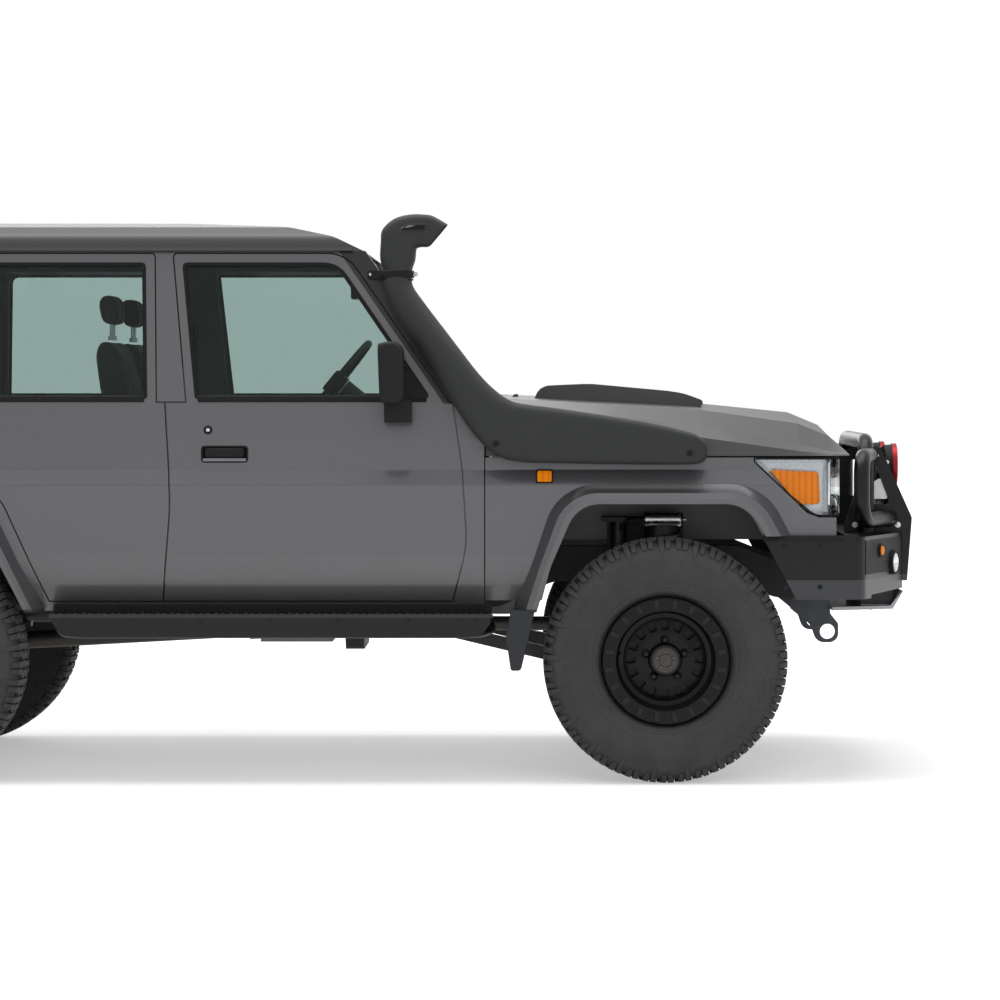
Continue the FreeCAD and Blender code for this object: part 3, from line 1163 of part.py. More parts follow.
# Exhaust with its silencer, and the fuel tank between the rails
pipe_y = 250
exhaust = bent_tube([
    (960, 165, 620),
    (960, pipe_y, 620),
    (800, pipe_y, 612),
    (-300, pipe_y, 612),
    (-430, pipe_y, 575),
    (-900, pipe_y, 575),
    (-1040, pipe_y, 690),
    (-1330, pipe_y, 690),
    (-1500, pipe_y, 610),
    (-2020, pipe_y, 545),
    (-2160, pipe_y + 20, 525),
], 29, 110)
silencer = softened(block(-860, -440, 178, 322, 505, 635), 45, lambda e: e.BoundBox.XLength > 200)
hanger = joined(block(-530, -510, 240, 260, 600, 640), block(-1430, -1410, 240, 260, 640, 810))
save("exhaust", joined(exhaust, silencer, hanger))
tank = softened(block(-2020, -1480, -300, 160, 575, 790), 40, lambda e: e.BoundBox.XLength > 500)
straps = [block(x, x + 40, -RAIL_IN, -240, 785, 830) for x in (-1940, -1600)]
save("fuel_tank", joined(tank, *straps))

# Side steps: a bolted plate over a tube on three legs
STEP_Y = 925
STEP_X0 = -640
STEP_X1 = 955
STEP_TOP_Z = 602
step_plate = block(STEP_X0, STEP_X1, 770, STEP_Y, STEP_TOP_Z - 8, STEP_TOP_Z)
step_lip = block(STEP_X0, STEP_X1, STEP_Y - 8, STEP_Y, 530, STEP_TOP_Z)
step_face = side_prism([
    (STEP_X0, STEP_TOP_Z),
    (STEP_X1, STEP_TOP_Z, 20),
    (STEP_X1 - 50, 530, 40),
    (STEP_X0 + 50, 530, 40),
], 0, FAR)
step_tube = bent_tube([
    (STEP_X0 + 30, 700, 545),
    (STEP_X0 + 60, 872, 545),
    (STEP_X1 - 60, 872, 545),
    (STEP_X1 - 30, 700, 545),
], 28, 90)
step = joined(step_plate, step_lip).common(step_face)
legs = []
for x in (-520, 160, 760):
    legs.append(block(x - 22, x + 22, RAIL_OUT, 900, 562, 582))
    legs.append(block(x - 22, x + 22, RAIL_OUT, RAIL_OUT + 10, 562, 690))
    legs.append(block(x - 22, x + 22, 800, 860, 545, STEP_TOP_Z - 4))
step = joined(step, step_tube, *legs)
save("side_steps", both(step))

# Raised air intake on the right side: wing box, pipe along the screen pillar, ram head and its bracket
INTAKE_R = 60
intake_side = [
    (940, 1150, 50),
    (1700, 1142, 60),
    (1712, 1228, 46),
    (1420, 1296, 500),
    (1040, 1340, 200),
    (905, 1352, 60),
]
intake_box = side_prism(intake_side, 700, 916)
intake_box = softened(intake_box, 22, lambda e: e.BoundBox.YMin > 915)
intake_box = intake_box.cut(block(0, FAR, 0, 822, 1156, FAR)).cut(block(0, 925, 0, 822, 0, FAR))
intake_box = intake_box.cut(skin_fill)
intake_pipe = bent_tube([
    (1080, 886, 1262),
    (905, 886, 1290),
    (800, 874, 1480),
    (618, 828, 1770),
    (606, 824, 1880),
], INTAKE_R, 130)
head_outline = [
    (545, 1896, 16),
    (541, 1960, 60),
    (640, 2040, 90),
    (716, 2034, 20),
    (780, 1990, 12),
    (712, 1916, 20),
    (668, 1880, 20),
    (560, 1868, 20),
]
head = side_prism(head_outline, 760, 888)
head = softened(head, 26, lambda e: abs(e.BoundBox.YMax - e.BoundBox.YMin) < 0.1)
mouth = block(690, 900, 780, 868, 1948, 2010)
head = head.cut(mouth)
clamp_ring = disc((607, 824, 1858), (0, 0, 1), INTAKE_R + 5, 22)
lug = block(664, 690, 816, 832, 1850, 1866)
pillar_tab = block(520, 560, 735, 794, 1846, 1864).cut(skin_fill)
snorkel = joined(intake_box, intake_pipe, head, clamp_ring, lug, pillar_tab)
save("snorkel", right_of(snorkel))

# Back doors: a wide right one that carries the spare wheel and a narrow left one
BACK_LOW_Z = 704
BACK_SPLIT_Y = 134
rear_shape = cabin_fill(3, BACK_OUT_X, BACK_IN_X, BACK_LOW_Z, GUTTER_Z - 8)
plug_shape = cabin_fill(DOOR_DEPTH + 10, BACK_IN_X, BACK_IN_X + 40, LOAD_LOW_Z + 40, GUTTER_Z - 60)
rear_windows = {
    "right": [(-650, 1395, 50), (-600, 1820, 60), (-30, 1820, 60), (-30, 1395, 50)],
    "left": [(230, 1395, 50), (230, 1820, 60), (600, 1820, 60), (650, 1395, 50)],
}
SPARE_Y = -352
SPARE_Z = 1150
SPARE_X = TAIL_X + TYRE_HALF
for side, low_y, high_y in (("right", -FAR, BACK_SPLIT_Y - 3), ("left", BACK_SPLIT_Y + 3, FAR)):
    leaf_shape = rear_shape.common(block(-FAR, FAR, low_y, high_y, 0, FAR))
    inner_low = low_y + (16 if side == "left" else 0)
    inner_high = high_y - (16 if side == "right" else 0)
    plug = plug_shape.common(block(-FAR, FAR, inner_low, inner_high, 0, FAR))
    opening = cross_prism(rear_windows[side], -FAR, 0)
    pin_y = BACK_PIN_Y * (1 if side == "left" else -1)
    made = joined(leaf_shape, plug).cut(opening)
    for z in BACK_HINGES:
        low = z + BACK_KNUCKLE
        notch = rod((BACK_OUT_X - 2, pin_y, low), (BACK_OUT_X - 2, pin_y, low + 36 + 2 * SEAT_GAP), BACK_PIN_R + 5)
        made = made.cut(notch).fuse(rod((BACK_OUT_X - 2, pin_y, z), (BACK_OUT_X - 2, pin_y, low), BACK_PIN_R))
    if side == "right":
        post = rod((BACK_OUT_X + 5, SPARE_Y, SPARE_Z), (SPARE_X - DISC_Y + 8 + SEAT_GAP, SPARE_Y, SPARE_Z), 70)
        brace = block(
            BACK_OUT_X - 12, BACK_OUT_X + 5, SPARE_Y - 190, SPARE_Y + 190, SPARE_Z - 190, SPARE_Z + 190
        )
        made = joined(made, brace, post)
    save(side + "_back_door", made)
    pane = cabin_fill(3, BACK_OUT_X + 10, BACK_OUT_X + 15, 1300, GUTTER_Z)
    shrunk = face_of(rear_windows[side], cross_at(-FAR)).makeOffset2D(-SEAT_GAP).extrude(V(FAR, 0, 0))
    save(side + "_back_glass", pane.common(shrunk))

# Spare wheel on the wider back door, its face to the rear
spare_rim = wheel_rim()
spare = []
for shape in (spare_rim, tyre):
    made = shape.copy()
    made.rotate(V(0, 0, 0), V(0, 0, 1), 90)
    made.translate(V(SPARE_X, SPARE_Y, SPARE_Z))
    spare.append(made)
save("spare_rim", spare[0])
save("spare_tyre", spare[1])

# Rear bumper on two brackets, and the tow bar tongue under it
bumper_plan = [
    (-1960, 826),
    (-2150, 826, 60),
    (-2210, 780, 60),
    (-2210, -780, 60),
    (-2150, -826, 60),
    (-1960, -826),
    (-1960, -816),
    (-2145, -816, 52),
    (-2200, -776, 52),
    (-2200, 776, 52),
    (-2145, 816, 52),
    (-1960, 816),
]
rear_bar = plan_prism(bumper_plan, 560, 664)
bar_beam = block(-2199, -2120, -RAIL_OUT - 60, RAIL_OUT + 60, 590, 660)
bar_arms = [block(-2199, -2065, side * 335, side * 395, 590, 785) for side in (1, -1)]
bar_arms = [arm.cut(block(-2300, FRAME_BACK_X - 20, -FAR, FAR, 662, 900)) for arm in bar_arms]
side_stays = [block(-2120, -2080, side * 390, side * 818, 600, 640) for side in (1, -1)]
save("rear_bumper", joined(rear_bar, bar_beam, *bar_arms, *side_stays))
BALL_X = -2330
BALL_Z = 520
BALL_HOLE_R = 11.3
TONGUE_THICK = 16
tongue = block(-2310, -2130, -30, 30, BALL_Z - TONGUE_THICK / 2, BALL_Z + TONGUE_THICK / 2)
tongue = joined(tongue, disc((BALL_X + 12, 0, BALL_Z), (0, 0, 1), 42, TONGUE_THICK))
tongue = joined(tongue, block(-2190, -2130, -30, 30, BALL_Z, 590))
tongue = tongue.cut(disc((BALL_X + 12, 0, BALL_Z), (0, 0, 1), BALL_HOLE_R, 90))
save("tow_tongue", tongue)

# Lamps on the body: headlamps, side repeaters, bumper lamps, driving lamps and rear lamps
repeater = slab(-8, -SEAT_GAP, 1096, 1160, 1068, 1120)
corner_run = V(185, PLATE_Y - BUMPER_Y, 0)
corner_out = V(BUMPER_Y - PLATE_Y, 185, 0)
corner_out.normalize()


def corner_lamp(share, z, radius):
    """A round lamp on the slanted corner face of the bumper."""
    at = V(CORNER_X, BUMPER_Y, z) + corner_run * share + corner_out * (9 + SEAT_GAP)
    return disc((at.x, at.y, at.z), (corner_out.x, corner_out.y, 0), radius, 18)


LAMP_Y = 250
LAMP_Z = 1118
LAMP_R = 84
driving_lamp = turned([
    (0, 0), (0, 46), (30, LAMP_R - 6), (58, LAMP_R - 4), (58, LAMP_R), (74, LAMP_R), (74, LAMP_R - 7),
    (68, LAMP_R - 8), (68, 0),
], (2366, LAMP_Y, LAMP_Z), (1, 0, 0))
lamp_foot = joined(
    block(2385, 2415, LAMP_Y - 16, LAMP_Y + 16, 975.3, 985),
    block(2392, 2408, LAMP_Y - 12, LAMP_Y + 12, 984, LAMP_Z - LAMP_R + 12),
)
driving_lamp = joined(driving_lamp, lamp_foot)
rear_side_lamp = slab(-9, -SEAT_GAP, BODY_BACK_X + 8, BODY_BACK_X + 78, 882, 1004)
bumper_lamp = block(-2221, -2210 - SEAT_GAP, 560, 740, 586, 640)
bumper_lamp = softened(bumper_lamp, 6, lambda e: e.BoundBox.XMax < -2220)
lamps = [
    headlamp, repeater, corner_lamp(0.42, 822, 22), corner_lamp(0.74, 772, 40),
    driving_lamp, rear_side_lamp, bumper_lamp,
]
save("lamps", Part.makeCompound(lamps + [right_of(lamp) for lamp in lamps]))

# Seats: two in front on boxes and a bench behind, each cushion a plain closed solid
FLOOR_TOP_Z = FLOOR_LOW_Z + FLOOR_THICK
LOAD_TOP_Z = LOAD_LOW_Z + FLOOR_THICK
SEAT_Y = 360
front_box = block(-270, 150, SEAT_Y - 200, SEAT_Y + 200, FLOOR_TOP_Z, 985)
bench_box = block(-1040, -640, -560, 560, LOAD_TOP_Z, 1030)
save("seat_frames", Part.makeCompound([front_box, right_of(front_box), bench_box]))


def cushion(points, y0, y1, radius=32):
    return softened(side_prism(points, y0, y1), radius)


def seat(x, low, y0, y1, heads):
    """A seat on its box: cushion, raked back and head restraints."""
    seam = x - 60 - SEAT_GAP
    base = cushion([(x - 60, low), (x - 60, low + 110), (x + 430, low + 150), (x + 430, low)], y0, y1)
    back = cushion([
        (x - 200, low), (seam, low), (seam, low + 130), (x - 190, low + 620), (x - 280, low + 620),
    ], y0 + 10, y1 - 10)
    parts = [base, back]
    for y in heads:
        head = cushion([
            (x - 262, low + 650), (x - 282, low + 770), (x - 195, low + 775), (x - 180, low + 650),
        ], y - 120, y + 120, 26)
        stalk = block(x - 238, x - 222, y - 50, y + 50, low + 615, low + 665)
        parts.append(joined(head, stalk))
    return joined(parts[0], *parts[1:])


driver = seat(-240, 985, SEAT_Y - 250, SEAT_Y + 250, [SEAT_Y])
save("front_seats", both(driver))
save("rear_bench", seat(-1010, 1030, -620, 620, [-330, 330]))

# Dashboard with the instrument hood and the steering column
dash_outline = [
    (BULKHEAD_X, 1090),
    (BULKHEAD_X, 1317),
    (700, 1317, 40),
    (606, 1290, 50),
    (600, 1190, 40),
    (700, 1090, 60),
]
dash = side_prism(dash_outline, -682, 682)
COLUMN = V(0.78, 0, -0.626)
COLUMN.normalize()
WHEEL_AT = V(361, -SEAT_Y, 1428)
STEER_R = 186
column_start = WHEEL_AT + COLUMN * (30 + SEAT_GAP)
column_end = WHEEL_AT + COLUMN * 420
column = Part.makeCylinder(34, (column_end - column_start).Length, column_start, COLUMN)
hood_outline = [(560, 1240, 20), (540, 1345, 30), (640, 1372, 60), (730, 1300)]
hood = side_prism(hood_outline, -SEAT_Y - 190, -SEAT_Y + 190)
hood_recess = [(530, 1262), (530, 1330), (585, 1330), (600, 1262)]
hood = hood.cut(side_prism(hood_recess, -SEAT_Y - 170, -SEAT_Y + 170))
save("dashboard", joined(dash, hood, column))

# Steering wheel: rim, hub and three spokes
flat_rim = Part.makeTorus(STEER_R, 14)
flat_hub = disc((0, 0, 0), (0, 0, 1), 46, 60)
spokes = [
    block(-STEER_R, 0, -13, 13, -6, 6),
    block(0, STEER_R, -13, 13, -6, 6),
    block(-16, 16, -STEER_R, 0, -6, 6),
]
steering_wheel = joined(flat_rim, flat_hub, *spokes)
steering_wheel.rotate(V(0, 0, 0), V(0, 0, 1), 90)
steering_wheel.rotate(V(0, 0, 0), V(0, 1, 0), math.degrees(math.atan2(-COLUMN.x, -COLUMN.z)))
steering_wheel.translate(WHEEL_AT)
save("steering_wheel", steering_wheel)
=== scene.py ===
import bpy
import bmesh
import math
from mathutils import Vector, Matrix


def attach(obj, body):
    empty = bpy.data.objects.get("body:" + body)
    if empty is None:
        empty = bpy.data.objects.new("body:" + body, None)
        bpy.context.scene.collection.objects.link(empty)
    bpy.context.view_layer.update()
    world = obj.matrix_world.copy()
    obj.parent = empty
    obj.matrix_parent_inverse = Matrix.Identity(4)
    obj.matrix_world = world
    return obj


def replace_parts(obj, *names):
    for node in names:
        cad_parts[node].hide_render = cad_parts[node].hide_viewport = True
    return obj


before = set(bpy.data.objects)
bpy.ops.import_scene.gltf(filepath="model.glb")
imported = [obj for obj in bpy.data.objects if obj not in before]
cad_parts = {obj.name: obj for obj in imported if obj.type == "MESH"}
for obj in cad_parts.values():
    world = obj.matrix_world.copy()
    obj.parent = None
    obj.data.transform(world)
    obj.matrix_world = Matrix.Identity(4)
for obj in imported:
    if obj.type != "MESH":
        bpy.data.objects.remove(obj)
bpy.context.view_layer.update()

# Body paint. The real one is a graphite metallic base coat with fine aluminium flake under a clear
# coat. It shows a faint orange peel. Low down, along the sills and behind the wheels, it turns a darker brown-grey:
# part road film, part painted shade.


def link(tree, node, inputs):
    """Sets a node's inputs; a value that is a socket is linked instead."""
    for key, value in inputs.items():
        if isinstance(value, bpy.types.NodeSocket):
            tree.links.new(value, node.inputs[key])
        else:
            node.inputs[key].default_value = value


def put(tree, kind, inputs=None, **settings):
    """Adds a node with its settings and inputs."""
    node = tree.nodes.new(kind)
    for key, value in settings.items():
        setattr(node, key, value)
    link(tree, node, inputs or {})
    return node


def use(tree, group, inputs=None):
    """Adds a node group to a material."""
    return put(tree, "ShaderNodeGroup", inputs, node_tree=group)


def maths(tree, operation, *terms):
    """A Math node on one to three terms."""
    return put(tree, "ShaderNodeMath", dict(enumerate(terms)), operation=operation)


def tones(tree, factor, first, second):
    """A colour between two others."""
    return put(tree, "ShaderNodeMix", {"Factor": factor, 6: first, 7: second}, data_type="RGBA")


def span(tree, value, to_min, to_max, from_min=0.0, from_max=1.0):
    """Carries a value from one range to another and holds it there."""
    return put(tree, "ShaderNodeMapRange", {"Value": value, "From Min": from_min, "From Max": from_max,
                                            "To Min": to_min, "To Max": to_max})


def new_group(name, inputs, outputs):
    """An empty shader node group with its own sockets."""
    group = bpy.data.node_groups.new(name, "ShaderNodeTree")
    for label, kind, default in inputs:
        socket = group.interface.new_socket(name=label, in_out="INPUT", socket_type=kind)
        if default is not None:
            socket.default_value = default
    for label, kind in outputs:
        group.interface.new_socket(name=label, in_out="OUTPUT", socket_type=kind)
    entry = group.nodes.new("NodeGroupInput")
    leave = group.nodes.new("NodeGroupOutput")
    return group, entry, leave


def rgb(r, g, b):
    """A colour written as it looks on screen, 0 to 255, made linear."""
    line = [c / 255 for c in (r, g, b)]
    return tuple([c / 12.92 if c <= 0.04045 else ((c + 0.055) / 1.055) ** 2.4 for c in line] + [1.0])


def new_material(name):
    """A material with a Principled surface, its tree and the object coordinates."""
    material = bpy.data.materials.new(name)
    material.use_nodes = True
    tree = material.node_tree
    tree.nodes.clear()
    shader = tree.nodes.new("ShaderNodeBsdfPrincipled")
    out = tree.nodes.new("ShaderNodeOutputMaterial")
    tree.links.new(shader.outputs["BSDF"], out.inputs["Surface"])
    place = tree.nodes.new("ShaderNodeTexCoord").outputs["Object"]
    return material, tree, shader, place


grain_group, entry, leave = new_group(
    "surface_grain",
    [("Place", "NodeSocketVector", None), ("Scale", "NodeSocketFloat", 400.0), ("Depth", "NodeSocketFloat", 0.1)],
    [("Value", "NodeSocketFloat"), ("Normal", "NodeSocketVector")],
)
fine = put(grain_group, "ShaderNodeTexNoise", {"Vector": entry.outputs["Place"], "Scale": entry.outputs["Scale"],
                                               "Detail": 3.0, "Roughness": 0.6})
lift = put(grain_group, "ShaderNodeBump", {"Height": fine.outputs["Fac"], "Strength": entry.outputs["Depth"],
                                           "Distance": 0.002})
grain_group.links.new(fine.outputs["Fac"], leave.inputs["Value"])
grain_group.links.new(lift.outputs["Normal"], leave.inputs["Normal"])

# Road film low on the car: a mask by height and noise. In the body paint its darker tone is also painted shade.
film_and_shade_group, entry, leave = new_group(
    "road_film_and_shade",
    [("Place", "NodeSocketVector", None), ("Top", "NodeSocketFloat", 1.0), ("Amount", "NodeSocketFloat", 0.5)],
    [("Mask", "NodeSocketFloat")],
)
axes = put(film_and_shade_group, "ShaderNodeSeparateXYZ", {"Vector": entry.outputs["Place"]})
patch = put(film_and_shade_group, "ShaderNodeTexNoise", {"Vector": entry.outputs["Place"], "Scale": 3.5, "Detail": 6.0,
                                               "Roughness": 0.62})
height = span(film_and_shade_group, axes.outputs["Z"], 0.0, 1.0, entry.outputs["Top"], 0.2)
both_masks = maths(film_and_shade_group, "MULTIPLY", height.outputs["Result"], patch.outputs["Fac"])
scaled = put(film_and_shade_group, "ShaderNodeMath", {0: both_masks.outputs[0], 1: entry.outputs["Amount"]},
             operation="MULTIPLY", use_clamp=True)
film_and_shade_group.links.new(scaled.outputs[0], leave.inputs["Mask"])

flake_group, entry, leave = new_group(
    "metal_flake",
    [("Place", "NodeSocketVector", None), ("Colour", "NodeSocketColor", (0.1, 0.1, 0.1, 1)),
     ("Spread", "NodeSocketFloat", 0.12)],
    [("Colour", "NodeSocketColor"), ("Normal", "NodeSocketVector")],
)
cells = put(flake_group, "ShaderNodeTexVoronoi", {"Vector": entry.outputs["Place"], "Scale": 1400.0})
tone = put(flake_group, "ShaderNodeSeparateColor", {"Color": cells.outputs["Color"]})
low = maths(flake_group, "SUBTRACT", 1.0, entry.outputs["Spread"])
high = maths(flake_group, "ADD", 1.0, entry.outputs["Spread"])
swing = span(flake_group, tone.outputs["Red"], low.outputs[0], high.outputs[0])
tinted = put(flake_group, "ShaderNodeVectorMath", {0: entry.outputs["Colour"], "Scale": swing.outputs["Result"]},
             operation="SCALE")
peel = put(flake_group, "ShaderNodeTexNoise", {"Vector": entry.outputs["Place"], "Scale": 90.0, "Detail": 1.0})
peel_lift = put(flake_group, "ShaderNodeBump", {"Height": peel.outputs["Fac"], "Strength": 0.02, "Distance": 0.004})
flake_group.links.new(tinted.outputs[0], leave.inputs["Colour"])
flake_group.links.new(peel_lift.outputs["Normal"], leave.inputs["Normal"])
FLAKE_METAL = 0.62


def metallic_paint(name, colour, film_and_shade=0.5, top=1.0, metallic=FLAKE_METAL, rough=0.36, coat=0.55):
    """A metallic base under clear coat, darker low down with road film and painted shade."""
    material, tree, shader, place = new_material(name)
    flake = use(tree, flake_group, {"Place": place, "Colour": colour})
    film_and_shade_mask = use(tree, film_and_shade_group, {"Place": place, "Top": top, "Amount": film_and_shade})
    # The darker brown-grey low on the body paint is part road film, part painted shade.
    mixed = tones(tree, film_and_shade_mask.outputs["Mask"], flake.outputs["Colour"], rgb(74, 71, 66))
    dull = span(tree, film_and_shade_mask.outputs["Mask"], rough, 0.7)
    gloss = span(tree, film_and_shade_mask.outputs["Mask"], coat, 0.05)
    link(tree, shader, {
        "Base Color": mixed.outputs[2], "Metallic": metallic, "Roughness": dull.outputs["Result"],
        "Normal": flake.outputs["Normal"], "Coat Weight": gloss.outputs["Result"], "Coat Roughness": 0.09,
    })
    return material, tree, shader, place


def overlay(tree, mask, under, over):
    """Shows a second surface over the first where the mask is 1."""
    mixed = put(tree, "ShaderNodeMixShader", {0: mask, 1: under.outputs["BSDF"], 2: over.outputs["BSDF"]})
    tree.links.new(mixed.outputs[0], tree.nodes["Material Output"].inputs["Surface"])


def give(name, *materials):
    """Puts materials on a part from the frame."""
    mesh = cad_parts[name].data
    mesh.materials.clear()
    for material in materials:
        mesh.materials.append(material)


GRAPHITE = rgb(87, 87, 90)
# Inside the arches the wings are black underseal, up to the flange under the bonnet.
UNDERSEAL_Y, UNDERSEAL_TOP = 0.790, 1.120
wing_paint, tree, shader, place = metallic_paint("graphite_paint", GRAPHITE, film_and_shade=0.55, top=0.95)
axes = put(tree, "ShaderNodeSeparateXYZ", {"Vector": place})
across = maths(tree, "ABSOLUTE", axes.outputs["Y"])
inboard = maths(tree, "LESS_THAN", across.outputs[0], UNDERSEAL_Y)
below = maths(tree, "LESS_THAN", axes.outputs["Z"], UNDERSEAL_TOP)
sealed = maths(tree, "MULTIPLY", inboard.outputs[0], below.outputs[0])
painted, glossy = (shader.inputs[name].links[0].from_socket for name in ("Base Color", "Coat Weight"))
black = tones(tree, sealed.outputs[0], painted, rgb(36, 36, 36))
bare = span(tree, sealed.outputs[0], FLAKE_METAL, 0.0)
open_paint = span(tree, sealed.outputs[0], 1.0, 0.0)
gloss = maths(tree, "MULTIPLY", glossy, open_paint.outputs["Result"])
link(tree, shader, {"Base Color": black.outputs[2], "Metallic": bare.outputs[0], "Coat Weight": gloss.outputs[0]})
give("front_wings", wing_paint)
# The roof and bonnet take a darker, duller copy of the body paint: painted shade on the top faces under the bright lamp
# above.
shaded_top_paint, *_ = metallic_paint("roof_and_bonnet_shaded_paint", rgb(64, 64, 65), film_and_shade=0.0, metallic=0.3, rough=0.5, coat=0.06)
give("bonnet", shaded_top_paint)
give("roof", shaded_top_paint)

# Door and side wall paint. The screen pillars are black, and inside the cabin the same panels are
# trimmed in grey moulded board. The mask below finds the faces that look into the cabin.
BELT_Z = 1.352
TRIM_SILL, TRIM_BELT, TRIM_HEADER = (0.748, 0.600), (0.768, BELT_Z), (0.705, 1.900)
PILLAR_LINE_X, PILLAR_SLOPE, PILLAR_FOOT_Z = 1.700, 0.69, 1.353
inward_group, entry, leave = new_group("cabin_side", [("Place", "NodeSocketVector", None)],
                                       [("Mask", "NodeSocketFloat")])
axes = put(inward_group, "ShaderNodeSeparateXYZ", {"Vector": entry.outputs["Place"]})
across = maths(inward_group, "ABSOLUTE", axes.outputs["Y"])
lean = span(inward_group, axes.outputs["Z"], TRIM_BELT[0], TRIM_HEADER[0], TRIM_BELT[1], TRIM_HEADER[1])
belt = span(inward_group, axes.outputs["Z"], TRIM_SILL[0], TRIM_BELT[0], TRIM_SILL[1], TRIM_BELT[1])
limit = maths(inward_group, "MINIMUM", lean.outputs["Result"], belt.outputs["Result"])
inner = maths(inward_group, "LESS_THAN", across.outputs[0], limit.outputs[0])
inward_group.links.new(inner.outputs[0], leave.inputs["Mask"])


def cabin_paint(name):
    """Body paint outside, black screen pillars, and trim on the faces that look into the cabin."""
    material, tree, shader, place = metallic_paint(name, GRAPHITE, film_and_shade=0.6, top=1.0)
    shader_in = tree.nodes.new("ShaderNodeBsdfPrincipled")
    grain = use(tree, grain_group, {"Place": place, "Scale": 900.0, "Depth": 0.25})
    trim = span(tree, grain.outputs["Value"], 0.085, 0.13)
    link(tree, shader_in, {"Base Color": trim.outputs["Result"], "Roughness": 0.62,
                           "Normal": grain.outputs["Normal"]})
    axes = put(tree, "ShaderNodeSeparateXYZ", {"Vector": place})
    line = maths(tree, "MULTIPLY_ADD", axes.outputs["Z"], PILLAR_SLOPE, axes.outputs["X"])
    ahead = maths(tree, "GREATER_THAN", line.outputs[0], PILLAR_LINE_X)
    above = maths(tree, "GREATER_THAN", axes.outputs["Z"], PILLAR_FOOT_Z)
    pillar = maths(tree, "MULTIPLY", ahead.outputs[0], above.outputs[0])
    painted = shader.inputs["Base Color"].links[0].from_socket
    black = tones(tree, pillar.outputs[0], painted, rgb(12, 12, 13))
    bare = span(tree, pillar.outputs[0], FLAKE_METAL, 0.0)
    link(tree, shader, {"Base Color": black.outputs[2], "Metallic": bare.outputs[0], "Coat Weight": bare.outputs[0]})
    mask = use(tree, inward_group, {"Place": place})
    overlay(tree, mask.outputs["Mask"], shader, shader_in)
    return material


wall_paint = cabin_paint("door_and_wall_paint")
for node in ("body_sides", "left_front_door", "right_front_door", "left_rear_door", "right_rear_door",
             "left_back_door", "right_back_door"):
    give(node, wall_paint)

# Arch flares. The band is painted steel down to the sill line, where a black plastic foot carries
# on down to the guard behind the wheel. The change is a straight level line.
FLARE_FOOT_Z = 0.622
flare_paint, tree, shader, place = metallic_paint("flare_paint", GRAPHITE, film_and_shade=0.6, top=0.95)
axes = put(tree, "ShaderNodeSeparateXYZ", {"Vector": place})
foot = maths(tree, "LESS_THAN", axes.outputs["Z"], FLARE_FOOT_Z)
shader_foot = tree.nodes.new("ShaderNodeBsdfPrincipled")
grain = use(tree, grain_group, {"Place": place, "Scale": 700.0, "Depth": 0.3})
link(tree, shader_foot, {"Base Color": rgb(46, 48, 51), "Roughness": 0.6, "Normal": grain.outputs["Normal"],
                         "Specular IOR Level": 0.25})
overlay(tree, foot.outputs[0], shader, shader_foot)
give("wheel_arch_flares", flare_paint)

# Window glass and its rubber. The panes are green-tinted and clear enough to see through the cabin.
# Each sits in a black channel whose lip laps the painted frame by a few millimetres.


def lucid(name, tint, gloss=0.35, haze=0.004):
    """Thin tinted glass: light passes straight through, and a weak reflection grows with the angle."""
    material = bpy.data.materials.new(name)
    material.use_nodes = True
    tree = material.node_tree
    tree.nodes.clear()
    out = tree.nodes.new("ShaderNodeOutputMaterial")
    place = tree.nodes.new("ShaderNodeTexCoord").outputs["Object"]
    smear = put(tree, "ShaderNodeTexNoise", {"Vector": place, "Scale": 6.0, "Detail": 5.0})
    rough = span(tree, smear.outputs["Fac"], 0.0, haze * 4)
    clear = put(tree, "ShaderNodeBsdfTransparent", {"Color": (*tint, 1.0)})
    shine = put(tree, "ShaderNodeBsdfGlossy", {"Color": (0.95, 1.0, 0.98, 1.0), "Roughness": rough.outputs[0]})
    angle = put(tree, "ShaderNodeFresnel", {"IOR": 1.45})
    weight = maths(tree, "MULTIPLY", angle.outputs[0], gloss)
    mixed = put(tree, "ShaderNodeMixShader", {0: weight.outputs[0], 1: clear.outputs[0], 2: shine.outputs[0]})
    tree.links.new(mixed.outputs[0], out.inputs["Surface"])
    return material


window_glass = lucid("window_glass", (0.715, 0.78, 0.765))
for node in ("left_front_glass", "right_front_glass", "left_rear_glass", "right_rear_glass", "fixed_glass",
             "left_back_glass", "right_back_glass"):
    give(node, window_glass)


def toned(colour, share):
    """A colour made lighter or darker."""
    return tuple(min(1.0, c * share) for c in colour[:3]) + (1.0,)


def rubber_like(name, colour, scale=500.0, depth=0.25, rough=0.62, spread=0.25, film_and_shade=0.0, top=0.9, sheen=0.18):
    """Rubber or moulded plastic: a fine grain, a little colour change and road film low down."""
    material, tree, shader, place = new_material(name)
    grain = use(tree, grain_group, {"Place": place, "Scale": scale, "Depth": depth})
    tone = tones(tree, grain.outputs["Value"], toned(colour, 1 - spread), toned(colour, 1 + spread))
    film_and_shade_mask = use(tree, film_and_shade_group, {"Place": place, "Top": top, "Amount": film_and_shade})
    dusty = tones(tree, film_and_shade_mask.outputs["Mask"], tone.outputs[2], rgb(96, 90, 82))
    wear = put(tree, "ShaderNodeTexNoise", {"Vector": place, "Scale": 14.0, "Detail": 4.0})
    shade = span(tree, wear.outputs["Fac"], rough - 0.1, rough + 0.1)
    link(tree, shader, {"Base Color": dusty.outputs[2], "Roughness": shade.outputs["Result"],
                        "Normal": grain.outputs["Normal"], "Specular IOR Level": sheen})
    return material


seal_rubber = rubber_like("seal_rubber", rgb(15, 15, 16), scale=260.0, rough=0.5)


def new_object(name, data):
    """An object in the scene."""
    obj = bpy.data.objects.new(name, data)
    bpy.context.scene.collection.objects.link(obj)
    return obj


